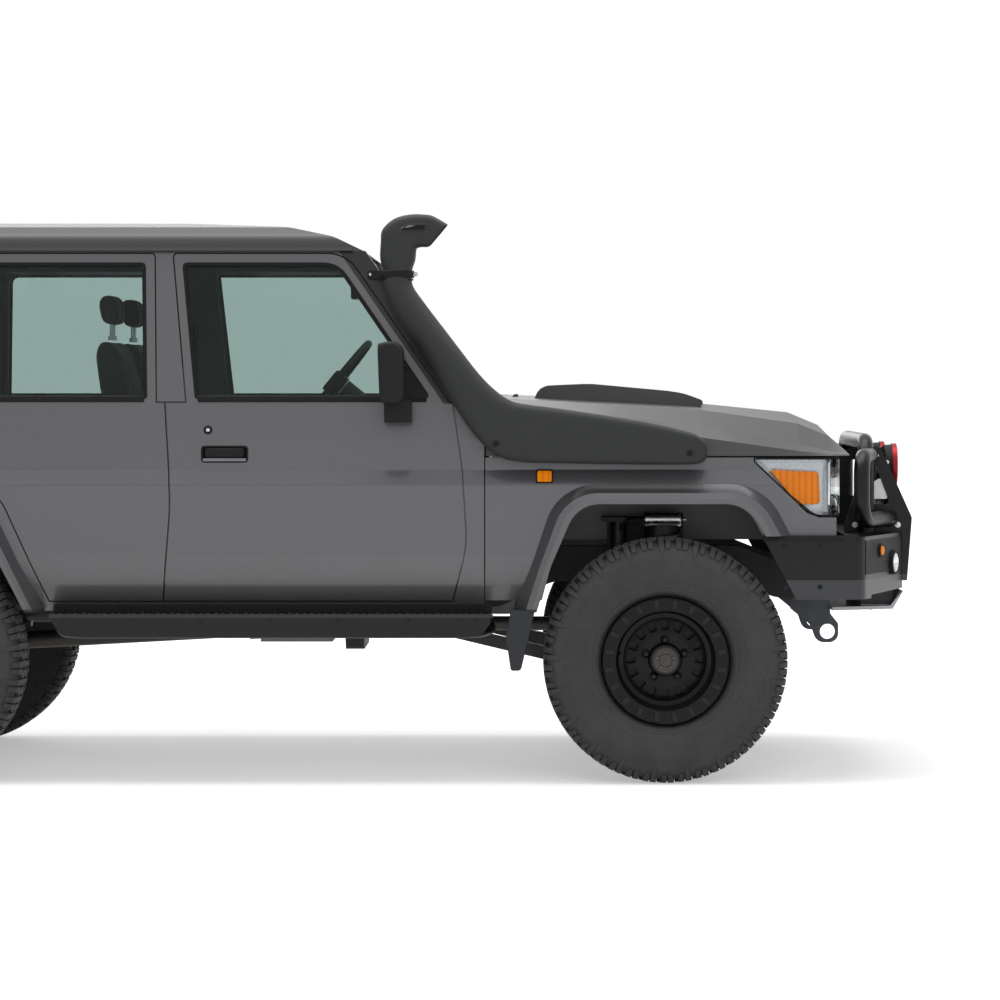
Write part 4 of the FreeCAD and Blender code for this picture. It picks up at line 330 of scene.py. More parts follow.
def finished_mesh(name, bm, angle, *materials):
    """A mesh whose faces look outward, shaded smooth up to an angle."""
    mesh = bpy.data.meshes.new(name)
    bmesh.ops.recalc_face_normals(bm, faces=bm.faces)
    bm.to_mesh(mesh)
    bm.free()
    mesh.shade_smooth()
    mesh.set_sharp_from_angle(angle=math.radians(angle))
    for material in materials:
        mesh.materials.append(material)
    return mesh


def make_piece(name, bm, body, *materials, angle=35, bevel=0.0, segments=2):
    """A mesh piece riding on a body, its edges rounded by a bevel."""
    obj = new_object(name, finished_mesh(name, bm, angle, *materials))
    if bevel:
        rounder = obj.modifiers.new("edges", "BEVEL")
        rounder.width = bevel
        rounder.segments = segments
        rounder.limit_method = "ANGLE"
        rounder.angle_limit = math.radians(angle)
        rounder.harden_normals = True
    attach(obj, body)
    return obj


def rounded_line(points, steps=5):
    """A closed outline of (a, b) points through corners (a, b, radius)."""
    line = []
    count = len(points)
    for i, point in enumerate(points):
        here = Vector(point[:2])
        radius = point[2] if len(point) > 2 else 0
        back = Vector(points[i - 1][:2]) - here
        ahead = Vector(points[(i + 1) % count][:2]) - here
        corner = back.angle(ahead)
        if radius == 0 or corner > math.pi - 0.01:
            line.append(here)
            continue
        reach = min(radius / math.tan(corner / 2), 0.49 * back.length, 0.49 * ahead.length)
        enter = here + back.normalized() * reach
        leave = here + ahead.normalized() * reach
        for k in range(steps + 1):
            t = k / steps
            line.append(enter * (1 - t) ** 2 + here * 2 * t * (1 - t) + leave * t * t)
    return line


def corners(a0, b0, a1, b1):
    """The four corners of an oblong, in order."""
    return [(a0, b0), (a1, b0), (a1, b1), (a0, b1)]


def oblong(a0, b0, a1, b1, radius, steps=5):
    """An oblong outline with rounded corners."""
    return rounded_line([(a, b, radius) for a, b in corners(a0, b0, a1, b1)], steps)


def on_side(sign, y0):
    """Places (x, z, height) on an upright face y0 out from the middle, on the left (1) or the right (-1)."""
    return lambda x, z, h: (x, sign * (y0 + h), z)


def on_back(x0):
    """Places (y, z, height) on an upright face at x0 that looks back."""
    return lambda y, z, h: (x0 - h, y, z)


def on_front(x0):
    """Places (y, z, height) on an upright face at x0 that looks ahead."""
    return lambda y, z, h: (x0 + h, y, z)


def wrap(bm, rings, closed=False, material=0):
    """Joins rings of vertices round a full turn; closed also joins the ends of each ring."""
    for k, near in enumerate(rings):
        far = rings[(k + 1) % len(rings)]
        for i in range(len(near) if closed else len(near) - 1):
            j = (i + 1) % len(near)
            bm.faces.new((near[i], near[j], far[j], far[i])).material_index = material


def sweep_ring(bm, line, section, place):
    """Carries a (inward, height) section round a closed outline; place turns (a, b, height) into a point."""
    count = len(line)
    area = sum(p.x * q.y - q.x * p.y for p, q in zip(line, line[1:] + line[:1]))
    turn = 1 if area > 0 else -1
    rings = []
    for i, here in enumerate(line):
        before = (here - line[i - 1]).normalized()
        after = (line[(i + 1) % count] - here).normalized()
        inward = Vector((-(before + after).y, (before + after).x)) * turn
        if inward.length < 1e-6:
            inward = Vector((-before.y, before.x)) * turn
        inward.normalize()
        spread = 1 / max(0.4, inward.dot(Vector((-before.y, before.x)) * turn))
        rings.append([bm.verts.new(place(here.x + inward.x * n * spread, here.y + inward.y * n * spread, h))
                      for n, h in section])
    wrap(bm, rings)


# The seal's section, and the lean of the body side above the belt.
SEAL = [(-0.005, -0.001), (-0.004, 0.0018), (0.004, 0.0022), (0.009, -0.002), (0.011, -0.013), (0.004, -0.0135)]
BELT_Y, LEAN, LEAN_RISE = 0.800, 0.066, 0.54


def skin_y(z):
    """How far out the side skin stands above the belt line."""
    return BELT_Y - (z - BELT_Z) * LEAN / LEAN_RISE


side_windows = {
    "front": [(0.7159, 1.374, 0.012), (0.384, 1.857, 0.100), (-0.172, 1.857, 0.014), (-0.122, 1.374, 0.008)],
    "rear": [(-0.312, 1.857, 0.014), (-1.000, 1.857, 0.040), (-1.014, 1.374, 0.014), (-0.301, 1.374, 0.008)],
    "quarter": [(-1.123, 1.380, 0.040), (-1.108, 1.849, 0.040), (-1.965, 1.849, 0.060), (-1.985, 1.380, 0.060)],
}
for side, sign in (("left", 1), ("right", -1)):
    for which, outline in side_windows.items():
        bm = bmesh.new()
        sweep_ring(bm, rounded_line(outline), SEAL, lambda x, z, h, s=sign: (x, s * (skin_y(z) + h), z))
        rides = "car" if which == "quarter" else f"{side}_{which}_door_body"
        make_piece(f"{side}_{which}_window_seal", bm, rides, seal_rubber)
    which = [(-0.650, 1.395, 0.05), (-0.600, 1.820, 0.06), (-0.030, 1.820, 0.06), (-0.030, 1.395, 0.05)]
    if side == "left":
        which = [(0.230, 1.395, 0.05), (0.230, 1.820, 0.06), (0.600, 1.820, 0.06), (0.650, 1.395, 0.05)]
    bm = bmesh.new()
    sweep_ring(bm, rounded_line(which), [(n, h * 0.72) for n, h in SEAL], on_back(-2.169))
    make_piece(f"{side}_back_window_seal", bm, f"{side}_back_door_body", seal_rubber)

SCREEN_RAKE = 0.687
SLOPE = Vector((-SCREEN_RAKE, 0.0, 1.0)).normalized()
OUTWARD = Vector((1.0, 0.0, SCREEN_RAKE)).normalized()
screen_foot = Vector((0.831, 0.0, 1.354))
bm = bmesh.new()
screen_line = rounded_line([(-0.748, 0.001, 0.03), (0.748, 0.001, 0.03), (0.684, 0.664, 0.05), (-0.684, 0.664, 0.05)])
sweep_ring(bm, screen_line, [(-0.004, -0.004), (-0.003, 0.004), (0.006, 0.006), (0.018, 0.0035), (0.021, 0.0005)],
           lambda y, t, h: screen_foot + SLOPE * t + OUTWARD * h + Vector((0, y, 0)))
make_piece("windscreen_seal", bm, "car", seal_rubber)

# Tyres. The real ones are wide all-terrain tyres: a carcass with a bulged sidewall, five rows of
# siped blocks and shoulder lugs that reach down the sidewall. Each replaces its plain CAD ring.
TYRE_RADIUS, BLOCK_HEIGHT, TURN_STEPS = 437, 13, 144
TYRE_HALF_LINE = [
    (0, 424), (60, 424), (98, 422.5), (120, 416), (136, 403), (144.5, 386), (148.5, 366), (150.5, 345), (150, 322),
    (147, 296), (138, 272), (133, 262), (129, 261), (125, 250), (112, 241), (102, 238), (96, 234), (95, 220),
]


def tyre_path(s):
    """Point and outward normal of the carcass at distance s, in mm, along it from the centre of the tread."""
    left = abs(s)
    for (y0, r0), (y1, r1) in zip(TYRE_HALF_LINE, TYRE_HALF_LINE[1:]):
        run = math.hypot(y1 - y0, r1 - r0)
        if left <= run:
            t = left / run
            sign = 1 if s >= 0 else -1
            return (sign * (y0 + (y1 - y0) * t), r0 + (r1 - r0) * t, sign * (r0 - r1) / run, (y1 - y0) / run)
        left -= run
    return (0, 0, 0, 1)


def tyre_point(s, along, height):
    """A point of the tyre; along runs round the tread, in mm."""
    y, r, ny, nr = tyre_path(s)
    angle = along / TYRE_RADIUS
    r = (r + nr * height) / 1000
    return (r * math.sin(angle), (y + ny * height) / 1000, r * math.cos(angle))


def tread_block(bm, stations, around):
    """One block: stations (s, start, end, height) across the tread, shifted round the tyre."""
    rings = []
    for i, (s, low, high, height) in enumerate(stations):
        edge = 1.6 if i in (0, len(stations) - 1) else 0
        pull = edge if i == 0 else -edge
        if stations[0][0] > stations[-1][0]:
            pull = -pull
        rings.append([
            bm.verts.new(tyre_point(s, around + low, -3)),
            bm.verts.new(tyre_point(s + pull, around + low + 1.8, height)),
            bm.verts.new(tyre_point(s + pull, around + high - 1.8, height)),
            bm.verts.new(tyre_point(s, around + high, -3)),
        ])
    for near, far in zip(rings, rings[1:]):
        for k in range(3):
            bm.faces.new((near[k], near[k + 1], far[k + 1], far[k]))
    for ring in (rings[0], rings[-1]):
        bm.faces.new(ring)


def level_block(bm, around, *stations):
    """A block of the tread's full height, from stations (s, start, end)."""
    tread_block(bm, [(*station, BLOCK_HEIGHT) for station in stations], around)


PITCHES = 42
pitch = 2 * math.pi * TYRE_RADIUS / PITCHES
bm = bmesh.new()
profile = [(-y, r) for y, r in TYRE_HALF_LINE[:0:-1]] + TYRE_HALF_LINE
rings = []
for k in range(TURN_STEPS):
    a = 2 * math.pi * k / TURN_STEPS
    rings.append([bm.verts.new((r / 1000 * math.sin(a), y / 1000, r / 1000 * math.cos(a))) for y, r in profile])
wrap(bm, rings)
for k in range(PITCHES):
    at = k * pitch
    level_block(bm, at, (-21, -24, -3), (-7, -30, -1), (7, -26, -1), (21, -20, -3))
    level_block(bm, at, (-21, 0, 20), (-7, 2, 26), (7, 2, 30), (21, 0, 24))
    for sign in (1, -1):
        shift = at + pitch * (0.5 if sign > 0 else 0.42)
        level_block(bm, shift, (sign * 27, -22, -2), (sign * 44, -27, -1), (sign * 62, -21, -3))
        level_block(bm, shift, (sign * 27, 0, 24), (sign * 44, 2, 27), (sign * 62, 0, 21))
        at_shoulder = at + pitch * (0.08 if sign > 0 else 0.0)
        stations = [(sign * 69, -25, -2, BLOCK_HEIGHT), (sign * 92, -26, -1.5, BLOCK_HEIGHT),
                    (sign * 112, -25, -2, 11.5), (sign * 128, -24, -2, 9), (sign * 144, -22, -3, 6)]
        tread_block(bm, stations, at_shoulder)
        stations = [(sign * 69, 1, 23, BLOCK_HEIGHT), (sign * 92, 1, 26, BLOCK_HEIGHT),
                    (sign * 112, 1, 25, 11.5), (sign * 128, 1, 24, 9), (sign * 144, 2, 22, 6)]
        if k % 2 == 0:
            stations += [(sign * 158, 4, 20, 3.6), (sign * 172, 6, 17, 2.4)]
        tread_block(bm, stations, at_shoulder)
        tread_block(bm, [(sign * 181, -21, 14, 1.6), (sign * 188, -19, 16, 1.8), (sign * 194, -16, 19, 1.6)],
                    at_shoulder)
for sign in (1, -1):
    for k in range(PITCHES * 2):
        tread_block(bm, [(sign * 252, -2.2, 2.2, 1.2), (sign * 264, -1.6, 1.6, 1.2)], k * pitch / 2)
tyre_rubber, tree, shader, place = new_material("tyre_rubber")
grain = use(tree, grain_group, {"Place": place, "Scale": 520.0, "Depth": 0.35})
radial = put(tree, "ShaderNodeSeparateXYZ", {"Vector": place})
square_x = maths(tree, "POWER", radial.outputs["X"], 2.0)
square_z = maths(tree, "POWER", radial.outputs["Z"], 2.0)
radius = maths(tree, "ADD", square_x.outputs[0], square_z.outputs[0])
radius = maths(tree, "SQRT", radius.outputs[0])
worn = span(tree, radius.outputs[0], 0.0, 1.0, 0.429, 0.4368)
patchy = put(tree, "ShaderNodeTexNoise", {"Vector": place, "Scale": 9.0, "Detail": 5.0})
side_tone = tones(tree, patchy.outputs["Fac"], rgb(50, 49, 49), rgb(69, 68, 67))
tread_tone = tones(tree, worn.outputs[0], side_tone.outputs[2], rgb(88, 87, 85))
rings_wave = maths(tree, "MULTIPLY", radius.outputs[0], 1200.0)
rings_wave = maths(tree, "SINE", rings_wave.outputs[0])
ribbed = put(tree, "ShaderNodeBump", {"Height": rings_wave.outputs[0], "Strength": 0.12, "Distance": 0.001,
                                      "Normal": grain.outputs["Normal"]})
link(tree, shader, {"Base Color": tread_tone.outputs[2], "Roughness": 0.78, "Normal": ribbed.outputs["Normal"],
                    "Specular IOR Level": 0.35})
FRONT_AXLE_X, REAR_AXLE_X, WHEEL_Y, WHEEL_Z = 1.560, -1.170, 0.780, TYRE_RADIUS / 1000
SPARE_PLACE = (-2.327, -0.352, 1.150)
wheel_places = {
    "left_front": ((FRONT_AXLE_X, WHEEL_Y, WHEEL_Z), 0, "left_front_wheel"),
    "right_front": ((FRONT_AXLE_X, -WHEEL_Y, WHEEL_Z), math.pi, "right_front_wheel"),
    "left_rear": ((REAR_AXLE_X, WHEEL_Y, WHEEL_Z), 0, "left_rear_wheel"),
    "right_rear": ((REAR_AXLE_X, -WHEEL_Y, WHEEL_Z), math.pi, "right_rear_wheel"),
    "spare": (SPARE_PLACE, math.pi / 2, "right_back_door_body"),
}


def on_each_wheel(ending, mesh):
    """Sets one mesh on the four wheels and the spare, and gives back the five pieces."""
    pieces = {}
    for which, (spot, turn, body) in wheel_places.items():
        obj = new_object(which + ending, mesh)
        obj.matrix_world = Matrix.Translation(spot) @ Matrix.Rotation(turn, 4, "Z")
        bpy.context.view_layer.update()
        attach(obj, body)
        pieces[which] = obj
    return pieces


tyres = on_each_wheel("_all_terrain_tyre", finished_mesh("all_terrain_tyre", bm, 32, tyre_rubber))
for which, tyre in tyres.items():
    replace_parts(tyre, which + "_tyre")

# Rims: black enamel on cast alloy, with a bolted outer ring and black wheel nuts. The hub behind is
# dull iron with satin bolts, and a little dust sits in the barrel.
rim_black, tree, shader, place = new_material("rim_black")
grain = use(tree, grain_group, {"Place": place, "Scale": 140.0, "Depth": 0.06})
film_and_shade_mask = use(tree, film_and_shade_group, {"Place": place, "Top": 2.0, "Amount": 0.06})
tone = tones(tree, film_and_shade_mask.outputs["Mask"], rgb(7, 7, 8), rgb(58, 55, 50))
shade = span(tree, film_and_shade_mask.outputs["Mask"], 0.26, 0.6)
link(tree, shader, {"Base Color": tone.outputs[2], "Roughness": shade.outputs[0], "Normal": grain.outputs["Normal"],
                    "Coat Weight": 0.06, "Coat Roughness": 0.1, "Specular IOR Level": 0.14})
for which in wheel_places:
    give(which + "_rim", rim_black)


def metal(name, colour, rough=0.3, metallic=1.0, scale=220.0, depth=0.08, spread=0.12):
    """Bare or plated metal with a fine grain and smeared roughness."""
    material, tree, shader, place = new_material(name)
    grain = use(tree, grain_group, {"Place": place, "Scale": scale, "Depth": depth})
    tone = tones(tree, grain.outputs["Value"], toned(colour, 1 - spread), toned(colour, 1 + spread))
    smear = put(tree, "ShaderNodeTexNoise", {"Vector": place, "Scale": 30.0, "Detail": 5.0})
    shade = span(tree, smear.outputs["Fac"], rough * 0.7, rough * 1.35)
    link(tree, shader, {"Base Color": tone.outputs[2], "Metallic": metallic, "Roughness": shade.outputs[0],
                        "Normal": grain.outputs["Normal"], "Specular IOR Level": 0.5 if colour[1] > 0.05 else 0.2})
    return material


bright_steel = metal("bright_steel", rgb(186, 187, 190), rough=0.28)
satin_steel = metal("satin_steel", rgb(112, 113, 116), rough=0.4)
chrome = metal("chrome", rgb(222, 223, 226), rough=0.09, depth=0.02, spread=0.04)
dull_iron = metal("dull_iron", rgb(72, 68, 66), rough=0.55, metallic=0.7, depth=0.3, spread=0.3)


def turned_form(bm, profile, origin, axis, count=32, material=0):
    """A turned form: (along, radius) points about an axis through origin."""
    axis = Vector(axis).normalized()
    side = axis.orthogonal().normalized()
    other = axis.cross(side)
    origin = Vector(origin)
    rings = []
    for k in range(count):
        a = 2 * math.pi * k / count
        spoke = side * math.cos(a) + other * math.sin(a)
        rings.append([bm.verts.new(origin + axis * h + spoke * r) for h, r in profile])
    wrap(bm, rings, material=material)
    bmesh.ops.remove_doubles(bm, verts=[v for ring in rings for v in (ring[0], ring[-1])], dist=1e-6)


def hex_head(bm, spot, axis, across, height, material=0):
    """A hexagon bolt head on a washer, with a chamfered crown."""
    axis = Vector(axis).normalized()
    r = across / math.sqrt(3)
    turned_form(bm, [(0, 0.0001), (0, r * 1.3), (height * 0.22, r * 1.3), (height * 0.22, 0.0001)], spot, axis, 18,
                material)
    turned_form(bm, [(height * 0.2, r), (height * 0.8, r), (height, r * 0.72), (height, 0.0001)], spot, axis, 6,
                material)


black_enamel = metal("black_enamel", rgb(36, 36, 38), rough=0.3, metallic=0.4, depth=0.05)
RING_BOLTS, RING_BOLT_R, RING_FACE_Y = 40, 0.2175, 0.112
RING_PADS, WHEEL_NUTS, NUT_R, HUB_BOLT_R = 20, 5, 0.072, 0.030
bm = bmesh.new()
for k in range(RING_BOLTS):
    a = math.radians(360 / RING_BOLTS * (k + 0.5))
    hex_head(bm, (RING_BOLT_R * math.cos(a), RING_FACE_Y, RING_BOLT_R * math.sin(a)), (0, 1, 0), 0.0062, 0.004, 1)
for k in range(RING_PADS):
    ring = []
    for y, wide, inner, outer in ((0.1115, 0.060, 0.183, 0.2245), (0.1165, 0.042, 0.187, 0.2190)):
        for r, turn in ((inner, -wide), (outer, -wide), (outer, wide), (inner, wide)):
            a = 2 * math.pi * (k + 0.5) / RING_PADS + turn
            ring.append(bm.verts.new((r * math.cos(a), y, r * math.sin(a))))
    for face in ((0, 1, 5, 4), (1, 2, 6, 5), (2, 3, 7, 6), (3, 0, 4, 7), (4, 5, 6, 7)):
        bm.faces.new([ring[i] for i in face]).material_index = 1
for k in range(WHEEL_NUTS):
    a = 2 * math.pi * k / WHEEL_NUTS + 0.3
    turned_form(bm, [(0.038, 0.0001), (0.038, 0.0165), (0.046, 0.0165), (0.050, 0.012)],
                (NUT_R * math.cos(a), 0, NUT_R * math.sin(a)), (0, 1, 0), 18, 1)
    turned_form(bm, [(0.050, 0.0120), (0.068, 0.0112), (0.074, 0.0075), (0.0755, 0.0001)],
                (NUT_R * math.cos(a), 0, NUT_R * math.sin(a)), (0, 1, 0), 6, 1)
    turned_form(bm, [(0.088, 0.0001), (0.088, 0.0045), (0.0925, 0.0045), (0.094, 0.003), (0.094, 0.0001)],
                (HUB_BOLT_R * math.cos(a), 0, HUB_BOLT_R * math.sin(a)), (0, 1, 0), 6)
turned_form(bm, [(0.0705, 0.0001), (0.0705, 0.050), (0.078, 0.050), (0.084, 0.044), (0.0865, 0.030), (0.0865, 0.024),
                 (0.090, 0.022), (0.091, 0.0001)], (0, 0, 0), (0, 1, 0), 40, 2)
turned_form(bm, [(0.028, 0.003), (0.028, 0.0055), (0.060, 0.0045), (0.062, 0.0001)], (0.159, 0, 0.02), (0, 1, 0), 12, 1)
on_each_wheel("_wheel_fittings", finished_mesh("wheel_fittings", bm, 30, satin_steel, black_enamel, dull_iron))

# Raised air intake. The real one is one blow-moulded body in grained black plastic: a flat-backed box
# on the wing that flows into a round pipe along the screen pillar, with a separate ram head on top.
intake_plastic = rubber_like("intake_plastic", rgb(45, 46, 46), scale=900.0, depth=0.35, rough=0.55, spread=0.2,
                             sheen=0.25)


def bridge_rings(bm, rings):
    """Joins closed rings of points into a skin and fans its ends shut."""
    made = [[bm.verts.new(p) for p in ring] for ring in rings]
    count = len(made[0])
    for near, far in zip(made, made[1:]):
        for k in range(count):
            bm.faces.new((near[k], near[(k + 1) % count], far[(k + 1) % count], far[k]))
    for ring in (made[0], made[-1]):
        middle = bm.verts.new(sum((v.co for v in ring), Vector()) / count)
        for k in range(count):
            bm.faces.new((ring[k], ring[(k + 1) % count], middle))


def catmull(rows, t):
    """A smooth value between rows of numbers at parameter t."""
    i = min(int(t), len(rows) - 2)
    u = t - i
    p0, p1, p2, p3 = (rows[max(0, min(len(rows) - 1, i + d))] for d in (-1, 0, 1, 2))
    return [0.5 * (2 * b + (c - a) * u + (2 * a - 5 * b + 4 * c - d) * u * u + (3 * b - a - 3 * c + d) * u ** 3)
            for a, b, c, d in zip(p0, p1, p2, p3)]


def oval_ring(row, count=36):
    """A rounded section: upper and lower (x, z), inner and outer y, and how square it is."""
    ux, uz, lx, lz, y_in, y_out, square = row
    ring = []
    for k in range(count):
        a = 2 * math.pi * (k + 0.5) / count
        p = math.copysign(abs(math.cos(a)) ** (2 / square), math.cos(a))
        q = math.copysign(abs(math.sin(a)) ** (2 / square), math.sin(a))
        x = (ux + lx) / 2 + (ux - lx) / 2 * p
        z = (uz + lz) / 2 + (uz - lz) / 2 * p
        ring.append(Vector((x, -((y_in + y_out) / 2 + (y_out - y_in) / 2 * q), z)))
    return ring


ROW_STEPS = 4
intake_rows = [
    (1.7085, 1.196, 1.7070, 1.166, 0.835, 0.868, 2.2),
    (1.7040, 1.214, 1.7000, 1.150, 0.826, 0.890, 3.0),
    (1.6850, 1.232, 1.6780, 1.141, 0.823, 0.905, 3.8),
    (1.6400, 1.254, 1.6360, 1.137, 0.822, 0.912, 4.2),
    (1.4700, 1.292, 1.4690, 1.137, 0.822, 0.915, 4.2),
    (1.2200, 1.331, 1.2190, 1.141, 0.822, 0.916, 4.0),
    (1.0760, 1.350, 1.0460, 1.146, 0.822, 0.920, 3.6),
    (1.0120, 1.363, 0.9560, 1.170, 0.824, 0.928, 3.1),
    (0.9560, 1.399, 0.8830, 1.238, 0.824, 0.935, 2.7),
    (0.8920, 1.463, 0.8040, 1.350, 0.818, 0.934, 2.4),
    (0.8030, 1.578, 0.7000, 1.507, 0.804, 0.926, 2.2),
    (0.7020, 1.710, 0.6090, 1.650, 0.784, 0.906, 2.1),
    (0.6590, 1.772, 0.5560, 1.762, 0.770, 0.891, 2.0),
    (0.6540, 1.808, 0.5500, 1.808, 0.766, 0.885, 2.0),
]
bm = bmesh.new()
stops = range(ROW_STEPS * (len(intake_rows) - 1) + 1)
bridge_rings(bm, [oval_ring(catmull(intake_rows, k / ROW_STEPS)) for k in stops])
intake_body = make_piece("air_intake_body", bm, "car", intake_plastic, angle=50)
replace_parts(intake_body, "snorkel")
head_rows = [
    (0.6540, 1.826, 0.5510, 1.826, 0.765, 0.884, 2.0),
    (0.6570, 1.840, 0.5490, 1.841, 0.764, 0.885, 2.1),
    (0.6660, 1.868, 0.5400, 1.872, 0.762, 0.886, 2.5),
    (0.6700, 1.905, 0.5420, 1.930, 0.761, 0.887, 3.2),
    (0.6780, 1.912, 0.5480, 1.975, 0.760, 0.888, 4.0),
    (0.6900, 1.914, 0.5900, 2.014, 0.760, 0.888, 4.4),
    (0.7000, 1.914, 0.6500, 2.030, 0.760, 0.888, 4.6),
    (0.7080, 1.914, 0.7150, 2.028, 0.760, 0.888, 4.8),
    (0.7110, 1.915, 0.7450, 2.016, 0.760, 0.888, 5.0),
    (0.7120, 1.916, 0.7790, 1.996, 0.760, 0.888, 5.0),
]
bm = bmesh.new()
stops = range(ROW_STEPS * (len(head_rows) - 1) + 1)
rings = [oval_ring(catmull(head_rows, k / ROW_STEPS), 40) for k in stops]
mouth = rings[-1]
middle = sum(mouth, Vector()) / len(mouth)
inside = [middle + (p - middle) * 0.90 for p in mouth]
back = Vector((-0.055, 0, 0.020))
rings += [[middle + (p - middle) * 0.97 + Vector((0.003, 0, 0.0)) for p in mouth], inside,
          [p + back for p in inside]]
bridge_rings(bm, rings)
make_piece("air_intake_head", bm, "car", intake_plastic, angle=50)
BLOCK = ((0, 1, 2, 3), (7, 6, 5, 4), (0, 4, 5, 1), (1, 5, 6, 2), (2, 6, 7, 3), (3, 7, 4, 0))
GRILLE_BARS, HEAD_SIDE_Y = 7, 0.8870
bm = bmesh.new()
for k in range(GRILLE_BARS):
    share = (k + 0.5) / GRILLE_BARS
    low = Vector((0.700, -0.768, 1.925)).lerp(Vector((0.758, -0.768, 1.996)), share)
    rim = [Vector((low.x - dx, y, low.z + dx / 2)) for dx, y in ((0.020, -0.768), (0.020, -0.880), (0.006, -0.880),
                                                                (0.006, -0.768))]
    verts = [bm.verts.new(p) for p in rim + [p + Vector((0.0015, 0, 0.003)) for p in rim]]
    for face in BLOCK:
        bm.faces.new([verts[i] for i in face])
make_piece("air_intake_grille", bm, "car", seal_rubber)
PIPE_X, PIPE_Y, CLAMP_Z = 0.602, -0.825, 1.816
bm = bmesh.new()
turned_form(bm, [(-0.013, 0.050), (-0.013, 0.0585), (-0.010, 0.0605), (0.010, 0.0605), (0.013, 0.0585), (0.013, 0.050)],
            (PIPE_X, PIPE_Y, CLAMP_Z), (0, 0, 1), 48)
turned_form(bm, [(0, 0.0001), (0, 0.0065), (0.030, 0.0065), (0.030, 0.0001)], (0.668, -0.812, CLAMP_Z), (0, -1, 0),
            16)
hex_head(bm, (0.668, -0.842, CLAMP_Z), (0, -1, 0), 0.011, 0.006, 1)
turned_form(bm, [(-0.003, 0.050), (-0.003, 0.0570), (0.003, 0.0570), (0.003, 0.050)], (PIPE_X, PIPE_Y, 1.797),
            (0, 0, 1), 48)
make_piece("air_intake_clamp", bm, "car", seal_rubber, bright_steel)


def slab_form(bm, outline, place, low, high, material=0):
    """A flat outline of (a, b) given thickness; place turns (a, b, height) into a point."""
    bottom = [bm.verts.new(place(p[0], p[1], low)) for p in outline]
    top = [bm.verts.new(place(p[0], p[1], high)) for p in outline]
    count = len(outline)
    for k in range(count):
        bm.faces.new((bottom[k], bottom[(k + 1) % count], top[(k + 1) % count], top[k])).material_index = material
    bm.faces.new(bottom[::-1]).material_index = material
    bm.faces.new(top).material_index = material


black_steel = metal("black_steel", rgb(30, 31, 33), rough=0.34, metallic=0.55, scale=600.0, depth=0.22, spread=0.2)
bm = bmesh.new()
bracket = rounded_line([(0.490, 1.802, 0.008), (0.490, 1.832, 0.008), (0.560, 1.830, 0.006), (0.560, 1.802, 0.006)], 3)
slab_form(bm, bracket, lambda x, z, h: (x, -(skin_y(z) + 0.003 + h + max(0.0, (x - 0.530)) * 1.2), z), 0, 0.003)
for x in (0.502, 0.522):
    hex_head(bm, (x, -(skin_y(1.817) + 0.006), 1.817), (0, -1, 0), 0.010, 0.006, 1)
make_piece("air_intake_bracket", bm, "car", black_steel, bright_steel, bevel=0.0008)
bm = bmesh.new()
for x, z in ((0.955, 1.212), (1.645, 1.178)):
    turned_form(bm, [(0, 0.0001), (0, 0.011), (0.003, 0.011), (0.005, 0.008), (0.005, 0.0001)],
                (x, -0.9135 if x > 1 else -0.926, z), (0, -1, 0), 20)
make_piece("air_intake_caps", bm, "car", seal_rubber)
bm = bmesh.new()
recess = rounded_line([(0.606, 1.966, 0.010), (0.640, 1.993, 0.016), (0.712, 1.994, 0.014), (0.698, 1.968, 0.016)], 6)
sweep_ring(bm, recess, [(-0.003, 0.000), (0.0, 0.003), (0.003, 0.003), (0.0045, 0.0)], on_side(-1, HEAD_SIDE_Y))
# The recess floor is a thin dark rubber sheet on the head's side: painted shade in the hollow.
slab_form(bm, recess, on_side(-1, HEAD_SIDE_Y), 0.0, 0.0011, 1)
# The satin steel sliver near its top edge is a painted highlight.
glint = rounded_line([(0.609, 1.977, 0.003), (0.636, 1.990, 0.008), (0.674, 1.991, 0.003), (0.648, 1.982, 0.008)], 5)
slab_form(bm, glint, on_side(-1, HEAD_SIDE_Y), 0.0, 0.0016, 2)
make_piece("air_intake_recess", bm, "car", intake_plastic, seal_rubber, satin_steel)

# Lamps. Each headlamp wraps the corner of the wing: a clear moulded lens over a bright reflector
# tray, with a round main reflector to the front and an amber turn lamp to the side.
lamp_clear = lucid("lamp_clear", (0.93, 0.95, 0.95), gloss=0.4)


def fluted(name, colour, metallic=1.0, rough=0.16, scale=75.0, run="DIAGONAL"):
    """A reflector or lens back, fluted into fine upright ribs."""
    material, tree, shader, place = new_material(name)
    ribs = put(tree, "ShaderNodeTexWave", {"Vector": place, "Scale": scale, "Distortion": 0.0},
               bands_direction=run)
    lift = put(tree, "ShaderNodeBump", {"Height": ribs.outputs["Fac"], "Strength": 0.35, "Distance": 0.002})
    # The colour follows the rib height and is darker in the troughs: painted shade in the flutes.
    tone = tones(tree, ribs.outputs["Fac"], toned(colour, 0.8), colour)
    link(tree, shader, {"Base Color": tone.outputs[2], "Metallic": metallic, "Roughness": rough,
                        "Normal": lift.outputs["Normal"], "Specular IOR Level": 0.5 if metallic > 0.5 else 0.15})
    return material


reflector = fluted("lamp_reflector", rgb(176, 178, 182))
amber_back = fluted("amber_back", rgb(255, 140, 0), metallic=0.0, rough=0.3, scale=14.0, run="X")
red_back = fluted("red_back", rgb(150, 16, 14), metallic=0.1, rough=0.3)
black_plastic = rubber_like("black_plastic", rgb(24, 24, 25), scale=800.0, depth=0.3, rough=0.55)
give("front_panel", black_plastic)


CORNER_STEPS = 9
LAMP_TOP_Z, LAMP_LOW_Z, LAMP_KNEE_X, LAMP_FLAT_X = 1.156, 0.950, 2.068, 2.110


